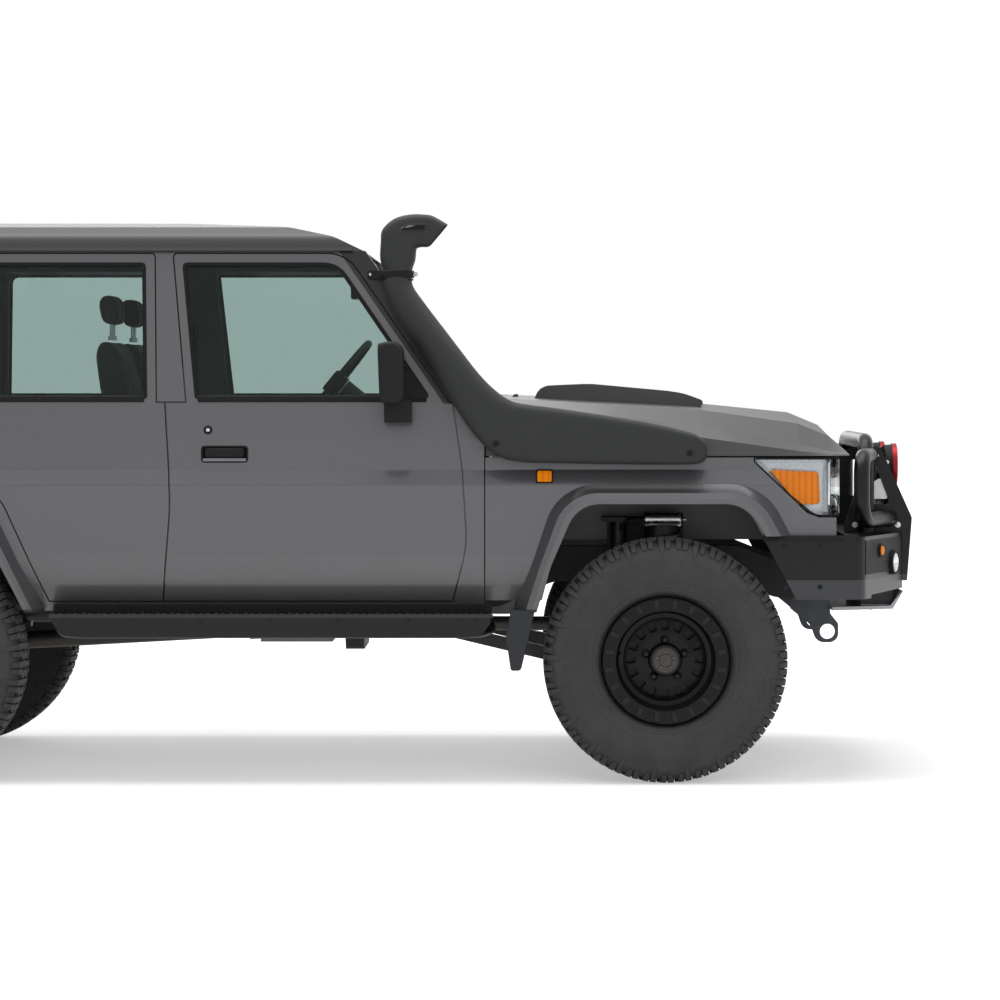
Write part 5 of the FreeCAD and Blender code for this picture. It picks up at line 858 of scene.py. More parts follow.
def lamp_run(offset):
    """Plan line of the headlamp face, left side, from the wing round the corner to the grille."""
    line = [Vector((1.886, 0.808 - offset)), Vector((2.000, 0.808 - offset)), Vector((2.090, 0.806 - offset))]
    corner = Vector((2.100, 0.700))
    for k in range(CORNER_STEPS):
        a = math.radians(84 - k * 78 / (CORNER_STEPS - 1))
        line.append(corner + Vector((math.cos(a) * (0.092 - offset), math.sin(a) * (0.100 - offset))))
    line += [Vector((2.200 - offset, 0.620)), Vector((2.203 - offset, 0.540)), Vector((2.205 - offset, 0.456))]
    return line


def lamp_low(x):
    """Lower edge of the headlamp: it climbs towards its rear tip."""
    if x < LAMP_KNEE_X:
        return 0.966 + (LAMP_KNEE_X - x) / 0.186 * 0.176
    if x < LAMP_FLAT_X:
        return LAMP_LOW_Z + (LAMP_FLAT_X - x) / 0.042 * 0.016
    return LAMP_LOW_Z


def lamp_sheet(bm, sign, offset, low_trim, high_trim, rows=5):
    """An upright sheet along the lamp line between its lower and upper edges."""
    columns = []
    for p in lamp_run(offset):
        high = LAMP_TOP_Z - high_trim
        low = min(lamp_low(p.x) + low_trim, high - 0.002)
        columns.append([bm.verts.new((p.x, sign * p.y, low + (high - low) * (k / rows))) for k in range(rows + 1)])
    for near, far in zip(columns, columns[1:]):
        for k in range(rows):
            bm.faces.new((near[k], far[k], far[k + 1], near[k + 1]))


def side_bulge(sign, low, sweep):
    """Places (x, z, height) on the wing's side, which leans in by sweep from the height low up."""
    return lambda x, z, h: (x, sign * (0.836 - max(0, z - low) * sweep + h), z)


REPEATER_LOW_Z, REPEATER_LEAN = 1.062, 0.30
BUMPER_CORNER, BUMPER_RUN = Vector((2.262, 0.880, 0)), Vector((0.450, 0.185, 0))
REAR_LAMP_Y, BUMPER_LAMP_X = 0.8392, -2.2105


for side, sign in (("left", 1), ("right", -1)):
    bm = bmesh.new()
    lamp_sheet(bm, sign, 0.001, 0.004, 0.004, rows=4)
    lens = make_piece(f"{side}_headlamp_lens", bm, "car", lamp_clear, angle=60)
    if side == "left":
        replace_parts(lens, "lamps")
    bm = bmesh.new()
    lamp_sheet(bm, sign, 0.030, -0.004, -0.002)
    for z0, z1, first in ((0.949, 0.951, 2), (1.153, 1.155, 0)):
        outline = [(p.x, p.y) for p in lamp_run(0.004)[first:]] + [(p.x, p.y) for p in lamp_run(0.047)[first:][::-1]]
        slab_form(bm, outline, lambda x, y, h, s=sign: (x, s * y, h), z0, z1)
    ramp = [(p.x, p.y) for p in lamp_run(0.004)[:4]]
    for (x0, y0), (x1, y1) in zip(ramp, ramp[1:]):
        verts = [bm.verts.new(v) for v in ((x0, sign * y0, lamp_low(x0) + 0.003), (x1, sign * y1, lamp_low(x1) + 0.003),
                                           (x1, sign * (y1 - 0.043), lamp_low(x1) + 0.003),
                                           (x0, sign * (y0 - 0.043), lamp_low(x0) + 0.003))]
        bm.faces.new(verts)
    make_piece(f"{side}_headlamp_reflector", bm, "car", reflector, angle=40)
    bowl = (2.152, sign * 0.605, 1.052)
    bm = bmesh.new()
    turned_form(bm, [(0.0, 0.018), (0.004, 0.040), (0.018, 0.064), (0.038, 0.078), (0.042, 0.082), (0.042, 0.086),
                     (0.034, 0.088), (0.0, 0.086)], bowl, (1, 0, 0), 48)
    turned_form(bm, [(0.0, 0.012), (0.010, 0.014), (0.026, 0.012), (0.032, 0.006), (0.033, 0.0001)], bowl, (1, 0, 0),
                24, 1)
    make_piece(f"{side}_main_reflector", bm, "car", chrome, lamp_clear)
    bm = bmesh.new()
    amber = rounded_line([(1.934, 1.116, 0.006), (2.112, 1.108, 0.010), (2.118, 0.992, 0.016),
                          (2.038, 0.992, 0.010)], 4)
    slab_form(bm, amber, lambda x, z, h, s=sign: (x, s * (0.780 + h - max(0, x - 2.06) * 0.25), z), 0.0, 0.022)
    make_piece(f"{side}_turn_lamp", bm, "car", amber_back, bevel=0.003, angle=50)
    bm = bmesh.new()
    bar = oblong(0.985, 0.740, 1.146, 0.722, 0.004, 2)
    slab_form(bm, bar, lambda z, y, h, s=sign: (2.128 + h, s * y, z), 0.0, 0.028)
    make_piece(f"{side}_lamp_divider", bm, "car", chrome, bevel=0.002)
    bm = bmesh.new()
    edge = [(p.x, p.y) for p in lamp_run(-0.0012)]
    for (x0, y0), (x1, y1) in zip(edge, edge[1:]):
        for low in (True, False):
            z0 = lamp_low(x0) - 0.002 if low else 1.1585
            z1 = lamp_low(x1) - 0.002 if low else 1.1585
            rise = 0.007 if low else -0.006
            verts = [bm.verts.new(v) for v in ((x0, sign * y0, z0), (x1, sign * y1, z1), (x1, sign * y1, z1 + rise),
                                               (x0, sign * y0, z0 + rise))]
            bm.faces.new(verts)
    make_piece(f"{side}_headlamp_frame", bm, "car", seal_rubber)

    bm = bmesh.new()
    base_line = rounded_line([(1.097, 1.069, 0.006), (1.159, 1.069, 0.006), (1.159, 1.119, 0.008),
                              (1.097, 1.119, 0.008)], 4)
    slab_form(bm, base_line, side_bulge(sign, REPEATER_LOW_Z, REPEATER_LEAN), 0.0, 0.004)
    make_piece(f"{side}_repeater_base", bm, "car", black_plastic, bevel=0.001)
    bm = bmesh.new()
    lens_line = rounded_line([(1.102, 1.074, 0.006), (1.154, 1.074, 0.006), (1.154, 1.114, 0.008),
                              (1.102, 1.114, 0.008)], 4)
    slab_form(bm, lens_line, side_bulge(sign, REPEATER_LOW_Z, REPEATER_LEAN), 0.004, 0.0115)
    make_piece(f"{side}_repeater_lens", bm, "car", amber_back, bevel=0.003, angle=50)

    outward = Vector((BUMPER_RUN.x, sign * BUMPER_RUN.y, 0)).normalized()
    along = Vector((BUMPER_RUN.y, -sign * BUMPER_RUN.x, 0))
    base = Vector((BUMPER_CORNER.x, sign * BUMPER_CORNER.y, 0)) + outward * 0.0012
    bm = bmesh.new()
    backing = oblong(0.07, 0.742, 0.96, 0.864, 0.004, 3)
    slab_form(bm, backing, lambda t, z, h: base + along * t + outward * (h - 0.0012) + Vector((0, 0, z)), 0.0, 0.0018)
    make_piece(f"{side}_corner_lamp_panel", bm, "car", black_plastic)
    at = base + along * 0.42 + Vector((0, 0, 0.822))
    bm = bmesh.new()
    turned_form(bm, [(0, 0.0001), (0, 0.026), (0.007, 0.026), (0.010, 0.022), (0.006, 0.019), (0.003, 0.0001)], at,
                outward, 32)
    make_piece(f"{side}_corner_lamp_body", bm, "car", black_plastic)
    bm = bmesh.new()
    turned_form(bm, [(0.004, 0.0195), (0.012, 0.016), (0.0145, 0.009), (0.015, 0.0001)], at, outward, 32)
    make_piece(f"{side}_corner_lamp_lens", bm, "car", amber_back)
    at = base + along * 0.74 + Vector((0, 0, 0.772))
    bm = bmesh.new()
    turned_form(bm, [(0, 0.0001), (0, 0.044), (0.012, 0.044), (0.015, 0.040), (0.011, 0.036), (0.004, 0.034)], at,
                outward, 36)
    make_piece(f"{side}_fog_lamp_body", bm, "car", black_plastic)
    bm = bmesh.new()
    turned_form(bm, [(0.003, 0.0001), (0.004, 0.016), (0.008, 0.028), (0.012, 0.0345)], at, outward, 36)
    make_piece(f"{side}_fog_lamp_reflector", bm, "car", chrome)
    bm = bmesh.new()
    turned_form(bm, [(0.012, 0.0355), (0.014, 0.030), (0.0165, 0.015), (0.017, 0.0001)], at, outward, 36)
    make_piece(f"{side}_fog_lamp_lens", bm, "car", lamp_clear)

# Driving lamps on the bar. Each is a black die-cast housing with cooling fins behind, a red anodised
# bezel ring, and a field of small emitters under a clear front.
red_bezel = metal("red_bezel", rgb(150, 32, 36), rough=0.35, metallic=0.5)
DRIVING_LAMP, LAMP_FINS = (2.366, 0.250, 1.118), 18
EMITTER_RINGS = ((0.0, 1), (0.026, 6), (0.052, 12))
for side, sign in (("left", 1), ("right", -1)):
    at = (DRIVING_LAMP[0], sign * DRIVING_LAMP[1], DRIVING_LAMP[2])
    bm = bmesh.new()
    turned_form(bm, [(0.0, 0.0001), (0.0, 0.042), (0.006, 0.046), (0.026, 0.070), (0.030, 0.078), (0.058, 0.080),
                     (0.058, 0.0835), (0.066, 0.0838), (0.066, 0.072), (0.052, 0.071), (0.050, 0.0001)],
                at, (1, 0, 0), 56)
    for k in range(LAMP_FINS):
        a = 2 * math.pi * k / LAMP_FINS
        spoke = Vector((0, math.cos(a), math.sin(a)))
        tangent = Vector((0, -math.sin(a), math.cos(a))) * 0.0015
        verts = [Vector(at) + Vector((h, 0, 0)) + spoke * r + tangent * w
                 for w in (-1, 1) for h, r in ((0.002, 0.030), (0.002, 0.056), (0.030, 0.079), (0.030, 0.060))]
        made = [bm.verts.new(v) for v in verts]
        for face in BLOCK:
            bm.faces.new([made[i] for i in face])
    make_piece(f"{side}_driving_lamp_housing", bm, "car", black_plastic)
    bm = bmesh.new()
    turned_form(bm, [(0.056, 0.0835), (0.058, 0.0840), (0.072, 0.0840), (0.0738, 0.082), (0.0738, 0.076),
                     (0.068, 0.074), (0.060, 0.073)], at, (1, 0, 0), 56)
    make_piece(f"{side}_driving_lamp_bezel", bm, "car", red_bezel)
    bm = bmesh.new()
    for ring, count in EMITTER_RINGS:
        for k in range(count):
            a = 2 * math.pi * k / count
            spot = (at[0], at[1] + ring * math.cos(a), at[2] + ring * math.sin(a))
            turned_form(bm, [(0.052, 0.004), (0.056, 0.009), (0.062, 0.0118), (0.0625, 0.0126)], spot, (1, 0, 0), 18)
            turned_form(bm, [(0.052, 0.004), (0.0545, 0.003), (0.055, 0.0001)], spot, (1, 0, 0), 8, 1)
    make_piece(f"{side}_driving_lamp_emitters", bm, "car", chrome, amber_back)
    bm = bmesh.new()
    turned_form(bm, [(0.068, 0.0745), (0.0705, 0.050), (0.071, 0.0001)], at, (1, 0, 0), 56)
    make_piece(f"{side}_driving_lamp_lens", bm, "car", lamp_clear)
    bm = bmesh.new()
    yoke = rounded_line([(-0.090, 0.006, 0.004), (-0.090, 0.030, 0.004), (-0.084, 0.030), (-0.084, -0.132, 0.01),
                         (-0.016, -0.138, 0.004), (0.016, -0.138, 0.004), (0.084, -0.132, 0.01), (0.084, 0.030),
                         (0.090, 0.030, 0.004), (0.090, 0.006, 0.004), (0.090, -0.138, 0.012), (0.02, -0.1425, 0.004),
                         (-0.02, -0.1425, 0.004), (-0.090, -0.138, 0.012)], 2)
    slab_form(bm, yoke, lambda y, z, h, a=at: (a[0] + 0.022 + h, a[1] + y, a[2] + z), 0.0, 0.022)
    for s in (1, -1):
        hex_head(bm, (at[0] + 0.033, at[1] + s * 0.090, at[2] + 0.016), (0, s, 0), 0.010, 0.007, 1)
    hex_head(bm, (at[0] + 0.033, at[1], 0.974), (0, 0, 1), 0.013, 0.008, 1)
    make_piece(f"{side}_driving_lamp_yoke", bm, "car", black_steel, bright_steel, bevel=0.0006)

    # Rear lamps: a tall cluster behind the wheel arch and a low one in the bumper
    lens_parts = ((0.884, 0.922, red_back), (0.924, 0.962, amber_back), (0.964, 1.002, reflector))
    for n, (z0, z1, back_tone) in enumerate(lens_parts):
        bm = bmesh.new()
        shape = oblong(-2.124, z0, -2.060, z1, 0.006, 3)
        slab_form(bm, shape, on_side(sign, REAR_LAMP_Y), 0.0, 0.008)
        make_piece(f"{side}_rear_lamp_{n}", bm, "car", back_tone, bevel=0.0025, angle=50)
    bm = bmesh.new()
    shape = oblong(-2.127, 0.881, -2.057, 1.005, 0.008)
    slab_form(bm, shape, on_side(sign, 0.8385), 0.0, 0.0045)
    make_piece(f"{side}_rear_lamp_base", bm, "car", black_plastic, bevel=0.001)
    bm = bmesh.new()
    for n, (y0, y1) in enumerate(((0.562, 0.618), (0.622, 0.676), (0.680, 0.738))):
        shape = oblong(y0, 0.588, y1, 0.638, 0.005, 3)
        slab_form(bm, shape, lambda y, z, h, s=sign: (BUMPER_LAMP_X - h, s * y, z), 0.0, 0.010, n)
    make_piece(f"{side}_bumper_lamp", bm, "car", reflector, amber_back, red_back, bevel=0.0025, angle=50)

# Outside door handles. Each has a black moulded cup in the door skin, with a flat black pull across
# it, whose ends turn into the cup, and a satin lip below. The front doors have a lock barrel above.


def lapped_sheet(bm, rows):
    """Joins rows of points into an open sheet."""
    made = [[bm.verts.new(p) for p in row] for row in rows]
    for near, far in zip(made, made[1:]):
        for k in range(len(near) - 1):
            bm.faces.new((near[k], near[k + 1], far[k + 1], far[k]))


HANDLE_X = {"front": -0.018, "rear": -0.913}
LOCK_Z, LOCK_Y = 1.259, 0.810 - (1.259 - 1.227) * 0.010 / 0.125
BELT_STRIP_X, STRIP_Z = {"front": (0.705, -0.115), "rear": (-0.308, -1.005)}, 1.368
for side, sign in (("left", 1), ("right", -1)):
    for which, x in HANDLE_X.items():
        body = f"{side}_{which}_door_body"
        bm = bmesh.new()
        cup = oblong(x - 0.084, 1.142, x + 0.084, 1.202, 0.014)
        section = [(-0.001, 0.0008), (0.0, 0.0022), (0.004, 0.0026), (0.007, 0.000), (0.009, -0.016), (0.014, -0.0195)]
        sweep_ring(bm, cup, section, on_side(sign, 0.8118))
        floor_line = oblong(x - 0.072, 1.154, x + 0.072, 1.190, 0.006)
        slab_form(bm, floor_line, on_side(sign, 0.7920), 0.0, 0.001)
        make_piece(f"{side}_{which}_handle_cup", bm, body, black_plastic)
        bm = bmesh.new()
        rings = []
        for k in range(17):
            t = k / 16
            end = min(t, 1 - t)
            drop = 0.017 * max(0.0, 1 - end / 0.08) ** 2
            height = 0.0165 - 0.003 * max(0.0, 1 - end / 0.10)
            centre = Vector((x - 0.076 + 0.152 * t, sign * (0.8185 - drop), 1.1775))
            ring = []
            for m in range(14):
                a = 2 * math.pi * m / 14
                p = math.copysign(abs(math.cos(a)) ** 0.6, math.cos(a))
                q = math.copysign(abs(math.sin(a)) ** 0.6, math.sin(a))
                ring.append(centre + Vector((0, sign * 0.0042 * q, height * p)))
            rings.append(ring)
        bridge_rings(bm, rings)
        lip = rounded_line([(x - 0.077, 1.147, 0.004), (x + 0.077, 1.147, 0.004), (x + 0.077, 1.1575, 0.003),
                            (x - 0.077, 1.1575, 0.003)], 3)
        slab_form(bm, lip, on_side(sign, 0.8125), 0.0, 0.0042, 1)
        make_piece(f"{side}_{which}_door_pull", bm, body, black_plastic, satin_steel, angle=50)
        if which == "front":
            bm = bmesh.new()
            lock = (x - 0.060, sign * (LOCK_Y - 0.001), LOCK_Z)
            turned_form(bm, [(0, 0.0001), (0, 0.0160), (0.003, 0.0160), (0.0045, 0.0140), (0.0045, 0.0095),
                             (0.003, 0.0085), (0.003, 0.0001)], lock, (0, sign, 0), 28, 1)
            turned_form(bm, [(0.0030, 0.0070), (0.0042, 0.0062), (0.0042, 0.0001)], lock, (0, sign, 0), 20)
            slab_form(bm, corners(-0.0012, -0.005, 0.0012, 0.005),
                      lambda a, z, h, p=lock, s=sign: (p[0] + a, p[1] + s * (0.0042 + h), p[2] + z), 0.0, 0.0004, 1)
            make_piece(f"{side}_door_lock", bm, body, chrome, seal_rubber)

        # Belt weatherstrip under the glass
        x0, x1 = BELT_STRIP_X[which]
        bm = bmesh.new()
        strip = [(-0.010, -0.001), (-0.009, 0.004), (0.000, 0.0052), (0.005, 0.003), (0.006, -0.006)]
        lapped_sheet(bm, [[Vector((xx, sign * (skin_y(STRIP_Z + dz) + h), STRIP_Z + dz)) for dz, h in strip]
                          for xx in (x0, x0 * 0.5 + x1 * 0.5, x1)])
        make_piece(f"{side}_{which}_belt_strip", bm, body, seal_rubber)

# Door mirrors: grained moulded housings, each with a flat glass set back in its frame. They sit on a
# hinged foot with two knuckles, and a sail plate fills the window's front corner.
mirror_plastic = rubber_like("mirror_plastic", rgb(26, 26, 28), scale=1000.0, depth=0.3, rough=0.5)
give("left_mirror", mirror_plastic)
give("right_mirror", mirror_plastic)
mirror_glass = metal("mirror_glass", rgb(226, 232, 236), rough=0.03, depth=0.0, spread=0.0)
for side, sign in (("left", 1), ("right", -1)):
    body = f"{side}_front_door_body"

    def mirror_place(y, t, h, s=sign):
        """A point of the mirror's rear face, which leans back a little."""
        return Vector((0.5512 - 0.0373 * t - h, s * y, 1.356 + t))

    bm = bmesh.new()
    frame_line = rounded_line([(0.882, 0.014, 0.02), (1.050, 0.014, 0.03), (1.046, 0.204, 0.03), (0.884, 0.204, 0.02)])
    sweep_ring(bm, frame_line, [(-0.008, -0.004), (-0.006, 0.003), (0.0, 0.0045), (0.004, 0.002), (0.006, -0.001)],
               mirror_place)
    make_piece(f"{side}_mirror_frame", bm, body, mirror_plastic)
    bm = bmesh.new()
    glass_line = rounded_line([(0.886, 0.018, 0.018), (1.046, 0.018, 0.027), (1.042, 0.200, 0.027),
                               (0.888, 0.200, 0.018)])
    slab_form(bm, glass_line, mirror_place, 0.0004, 0.0014)
    make_piece(f"{side}_mirror_glass", bm, body, mirror_glass)
    bm = bmesh.new()
    for z in (1.330, 1.346):
        turned_form(bm, [(-0.006, 0.0001), (-0.006, 0.016), (0.006, 0.016), (0.006, 0.0001)],
                    (0.600, sign * 0.885, z), (0, 0, 1), 24)
    sail = rounded_line([(0.600, 1.372, 0.01), (0.716, 1.372, 0.012), (0.632, 1.494, 0.012)], 3)
    slab_form(bm, sail, lambda x, z, h, s=sign: (x, s * (skin_y(z) + h), z), -0.012, 0.003)
    make_piece(f"{side}_mirror_joint", bm, body, mirror_plastic, bevel=0.001)

# Scuttle, wipers and washers. A black moulded panel with drain slots closes the gap below the screen.
# The wiper arms are pressed steel with rubber blades, and the jets sit on the bonnet.
give("bulkhead", black_plastic)
bm = bmesh.new()
lapped_sheet(bm, [[Vector((x, y, z)) for y in (-0.70, -0.35, 0.0, 0.35, 0.70)]
                  for x, z in ((0.893, 1.3325), (0.880, 1.338), (0.846, 1.340), (0.838, 1.346))])
DRAIN_SLOTS, SLOT_PITCH = 26, 0.048
# Each drain slot is a darker rubber slab laid on the panel: painted shade standing in for the opening.
for k in range(DRAIN_SLOTS):
    y = -0.60 + k * SLOT_PITCH
    if abs(abs(y) - 0.02) > 0.03:
        slab_form(bm, corners(0.850, y, 0.876, y + 0.030), lambda a, b, h: (a, b, 1.3392 + h), 0.0, 0.002, 1)
make_piece("scuttle_panel", bm, "car", black_plastic, seal_rubber)
for n, (pivot_y, tip_y) in enumerate(((-0.560, -0.020), (0.060, 0.600))):
    pivot = Vector((0.858, pivot_y, 1.339))
    bm = bmesh.new()
    turned_form(bm, [(0, 0.0001), (0, 0.017), (0.012, 0.015), (0.016, 0.009), (0.016, 0.0001)],
                pivot, OUTWARD, 24)
    foot = pivot + OUTWARD * 0.010
    knee = screen_foot + SLOPE * 0.030 + OUTWARD * 0.030 + Vector((0, pivot_y + (tip_y - pivot_y) * 0.25, 0))
    middle = screen_foot + SLOPE * 0.046 + OUTWARD * 0.026 + Vector((0, (pivot_y + tip_y) / 2, 0))
    for start, end, wide in ((foot, knee, 0.009), (knee, middle, 0.006)):
        run = (end - start).normalized()
        across = run.cross(OUTWARD).normalized() * wide
        lift = OUTWARD * 0.0035
        bridge_rings(bm, [[p + across + lift, p - across + lift, p - across - lift, p + across - lift]
                          for p in (start, end)])
    blade = [screen_foot + SLOPE * 0.044 + Vector((0, y, 0)) for y in (pivot_y + 0.02, tip_y)]
    for low, high, wide in ((0.0022, 0.008, 0.0008), (0.008, 0.0135, 0.004), (0.0135, 0.020, 0.0028)):
        bridge_rings(bm, [[p + SLOPE * wide + OUTWARD * low, p - SLOPE * wide + OUTWARD * low,
                           p - SLOPE * wide + OUTWARD * high, p + SLOPE * wide + OUTWARD * high] for p in blade])
    make_piece(f"wiper_{n}", bm, "car", black_plastic, bevel=0.0006)
bm = bmesh.new()
for y in (-0.24, 0.24):
    turned_form(bm, [(0, 0.012), (0.004, 0.011), (0.009, 0.006), (0.0095, 0.0001)], (1.02, y, 1.3750), (0, 0, 1), 20)
make_piece("washer_jets", bm, "bonnet_body", black_plastic)

# Bonnet trim: a satin dark insert let into the crown of the scoop, and a fine wire mesh that closes
# the mouth at its back.


SCOOP_CREST_X, INSERT_ROWS, MESH_WIRES = 1.30, 12, 48


def scoop_z(x):
    """Height of the scoop's crown."""
    if x < SCOOP_CREST_X:
        return 1.4165 + (x - 1.15) / 0.15 * 0.0060
    return 1.4225 - (x - SCOOP_CREST_X) / 0.34 * 0.0308 - max(0.0, x - 1.60) * 0.12


bm = bmesh.new()
rows = []
for k in range(INSERT_ROWS + 1):
    x = 1.160 + 0.47 * k / INSERT_ROWS
    half = 0.232 - 0.020 * k / INSERT_ROWS
    edge = 0.012 if k in (0, INSERT_ROWS) else 0.0
    rows.append([Vector((x, y * (half - edge), scoop_z(x) + (0.0018 if abs(y) < 1 and edge == 0 else 0.0006)))
                 for y in (-1, -0.97, -0.5, 0, 0.5, 0.97, 1)])
lapped_sheet(bm, rows)
make_piece("scoop_insert", bm, "bonnet_body", rubber_like("scoop_satin", rgb(60, 60, 62), scale=700.0, rough=0.45))
bm = bmesh.new()
for k in range(MESH_WIRES):
    y = -0.255 + k * 0.51 / (MESH_WIRES - 1)
    slab_form(bm, corners(y - 0.0012, 1.387, y + 0.0012, 1.405), on_front(1.112), 0.0, 0.002)
for z in (1.3925, 1.3995):
    slab_form(bm, corners(-0.257, z - 0.001, 0.257, z + 0.001), on_front(1.1125), 0.0, 0.0015)
make_piece("scoop_mesh", bm, "bonnet_body", seal_rubber)

# Rear door fittings: a handle with its lock on the right door, hinge leaves at the corners, a plain
# number plate in a moulded holder, the rubber between and above the doors, and the panel that
# closes the gap over the bumper.
BACK_DOOR_X, HINGE_FOOTS, HINGE_BOLTS = -2.1692, (0.770, 0.960), (0.722, 0.752, 0.782)
bm = bmesh.new()
plate_line = oblong(0.010, 0.952, 0.102, 1.062, 0.010)
slab_form(bm, plate_line, on_back(BACK_DOOR_X), 0.0, 0.006)
make_piece("back_door_handle_base", bm, "right_back_door_body", black_plastic, bevel=0.0015)
bm = bmesh.new()
grip = corners(0.020, 1.048, 0.092, 1.030)
slab_form(bm, rounded_line([(*p, 0.006) for p in grip], 3), on_back(-2.1752), 0.0, 0.014)
turned_form(bm, [(0, 0.0001), (0, 0.012), (0.004, 0.012), (0.006, 0.009), (0.006, 0.0001)], (-2.175, 0.056, 0.985),
            (-1, 0, 0), 28)
make_piece("back_door_handle", bm, "right_back_door_body", chrome, bevel=0.002)
number_plate = rubber_like("number_plate", rgb(214, 214, 208), scale=90.0, depth=0.05, rough=0.35, spread=0.03)
bm = bmesh.new()
plate_line = oblong(0.215, 0.770, 0.585, 0.905, 0.008, 3)
slab_form(bm, plate_line, on_back(-2.1715), 0.0, 0.0015)
for y in (0.245, 0.555):
    turned_form(bm, [(0, 0.0001), (0, 0.006), (0.002, 0.005), (0.003, 0.0001)], (-2.173, y, 0.838), (-1, 0, 0), 14, 1)
make_piece("number_plate", bm, "left_back_door_body", number_plate, bright_steel, bevel=0.0005)
bm = bmesh.new()
plate_line = oblong(0.205, 0.760, 0.595, 0.940, 0.010, 3)
slab_form(bm, plate_line, on_back(BACK_DOOR_X), 0.0, 0.0022)
slab_form(bm, oblong(0.330, 0.912, 0.470, 0.936, 0.006, 3), on_back(-2.171), 0.0, 0.020)
make_piece("number_plate_holder", bm, "left_back_door_body", black_plastic, bevel=0.001)
bm = bmesh.new()
slab_form(bm, corners(0.1335, 0.712, 0.1375, 1.885), on_back(-2.158), 0.0, 0.004)
make_piece("back_door_strip", bm, "left_back_door_body", seal_rubber)
bm = bmesh.new()
slab_form(bm, oblong(-0.726, 1.8962, 0.726, 1.9030, 0.002, 3), on_front(-2.130), 0.0, 0.022)
make_piece("back_header_seal", bm, "car", seal_rubber)
bm = bmesh.new()
slab_form(bm, oblong(-0.745, 0.6642, 0.745, 0.7022, 0.004, 3), on_front(-2.150), 0.0, 0.003)
make_piece("bumper_top_panel", bm, "car", black_plastic)
for side, sign in (("left", 1), ("right", -1)):
    bm = bmesh.new()
    for z in HINGE_FOOTS:
        leaf = rounded_line([(0.700, z + 0.006, 0.01), (0.828, z, 0.004), (0.828, z + 0.056, 0.004),
                             (0.700, z + 0.050, 0.01)], 3)
        slab_form(bm, leaf, lambda y, zz, h, s=sign: (BACK_DOOR_X - h, s * y, zz), 0.0, 0.0042)
        for y in HINGE_BOLTS:
            hex_head(bm, (-2.1734, sign * y, z + 0.028), (-1, 0, 0), 0.011, 0.005, 1)
    make_piece(f"{side}_back_hinge_leaves", bm, f"{side}_back_door_body", wall_paint, bright_steel, bevel=0.0008)

# Bull bar and bumper: folded and tubular steel in satin black powder coat, with welds where the
# tubes meet the plates, an alloy skid plate below, and zinc-plated bolts.
SKID_X, SKID_Z, SKID_FLAT_Z, LIT_BAND_Z, BUMPER_BACK_X = (2.405, 2.455), (0.6075, 0.668), 0.6005, 0.724, 1.85
bar_steel, tree, shader, place = new_material("bar_steel")
grain = use(tree, grain_group, {"Place": place, "Scale": 750.0, "Depth": 0.2})
film_and_shade_mask = use(tree, film_and_shade_group, {"Place": place, "Top": 0.95, "Amount": 0.35})
tone = tones(tree, film_and_shade_mask.outputs["Mask"], rgb(14, 14, 16), rgb(64, 61, 57))
axes = put(tree, "ShaderNodeSeparateXYZ", {"Vector": place})
edge = span(tree, axes.outputs["X"], *SKID_Z, *SKID_X)
edge = maths(tree, "MAXIMUM", edge.outputs[0], SKID_FLAT_Z)
below = maths(tree, "LESS_THAN", axes.outputs["Z"], edge.outputs[0])
ahead = maths(tree, "GREATER_THAN", axes.outputs["X"], 2.19)
below = maths(tree, "MULTIPLY", below.outputs[0], ahead.outputs[0])
# Below this height, on the bar ahead of the cab, the powder coat is painted lighter: a painted highlight standing in
# for a lower facet that leans up to the light.
lit_band = maths(tree, "LESS_THAN", axes.outputs["Z"], LIT_BAND_Z)
nose = maths(tree, "GREATER_THAN", axes.outputs["X"], BUMPER_BACK_X)
lit_band = maths(tree, "MULTIPLY", lit_band.outputs[0], nose.outputs[0])
lit_band_tone = tones(tree, lit_band.outputs[0], tone.outputs[2], rgb(62, 63, 66))
silver = tones(tree, below.outputs[0], lit_band_tone.outputs[2], rgb(150, 151, 154))
shine = span(tree, below.outputs[0], 0.1, 0.85)
shade = span(tree, film_and_shade_mask.outputs["Mask"], 0.33, 0.62)
link(tree, shader, {"Base Color": silver.outputs[2], "Metallic": shine.outputs[0], "Roughness": shade.outputs[0],
                    "Normal": grain.outputs["Normal"], "Coat Weight": 0.08, "Coat Roughness": 0.14,
                    "Specular IOR Level": 0.22})
give("bull_bar", bar_steel)
give("rear_bumper", bar_steel)
give("side_steps", bar_steel)
blue_steel = metal("blue_grey_steel", rgb(64, 67, 73), rough=0.42, metallic=0.5, scale=500.0, depth=0.25)
for node in ("left_tow_eye", "right_tow_eye"):
    give(node, blue_steel)
give("tow_tongue", black_steel)


BEAD, BEAD_RIPPLES = 0.0035, 46


def weld_bead(bm, centre, axis, radius):
    """A rippled weld round a tube where it meets a plate."""
    axis = Vector(axis).normalized()
    side = axis.orthogonal().normalized()
    other = axis.cross(side)
    rings = []
    for k in range(BEAD_RIPPLES):
        a = 2 * math.pi * k / BEAD_RIPPLES
        spoke = side * math.cos(a) + other * math.sin(a)
        fat = BEAD * (1.0 + 0.22 * (k % 2))
        middle = Vector(centre) + spoke * radius
        rings.append([bm.verts.new(middle + spoke * fat * math.cos(b) + axis * fat * math.sin(b))
                      for b in (0, math.pi / 3, 2 * math.pi / 3, math.pi, 4 * math.pi / 3, 5 * math.pi / 3)])
    wrap(bm, rings, closed=True)


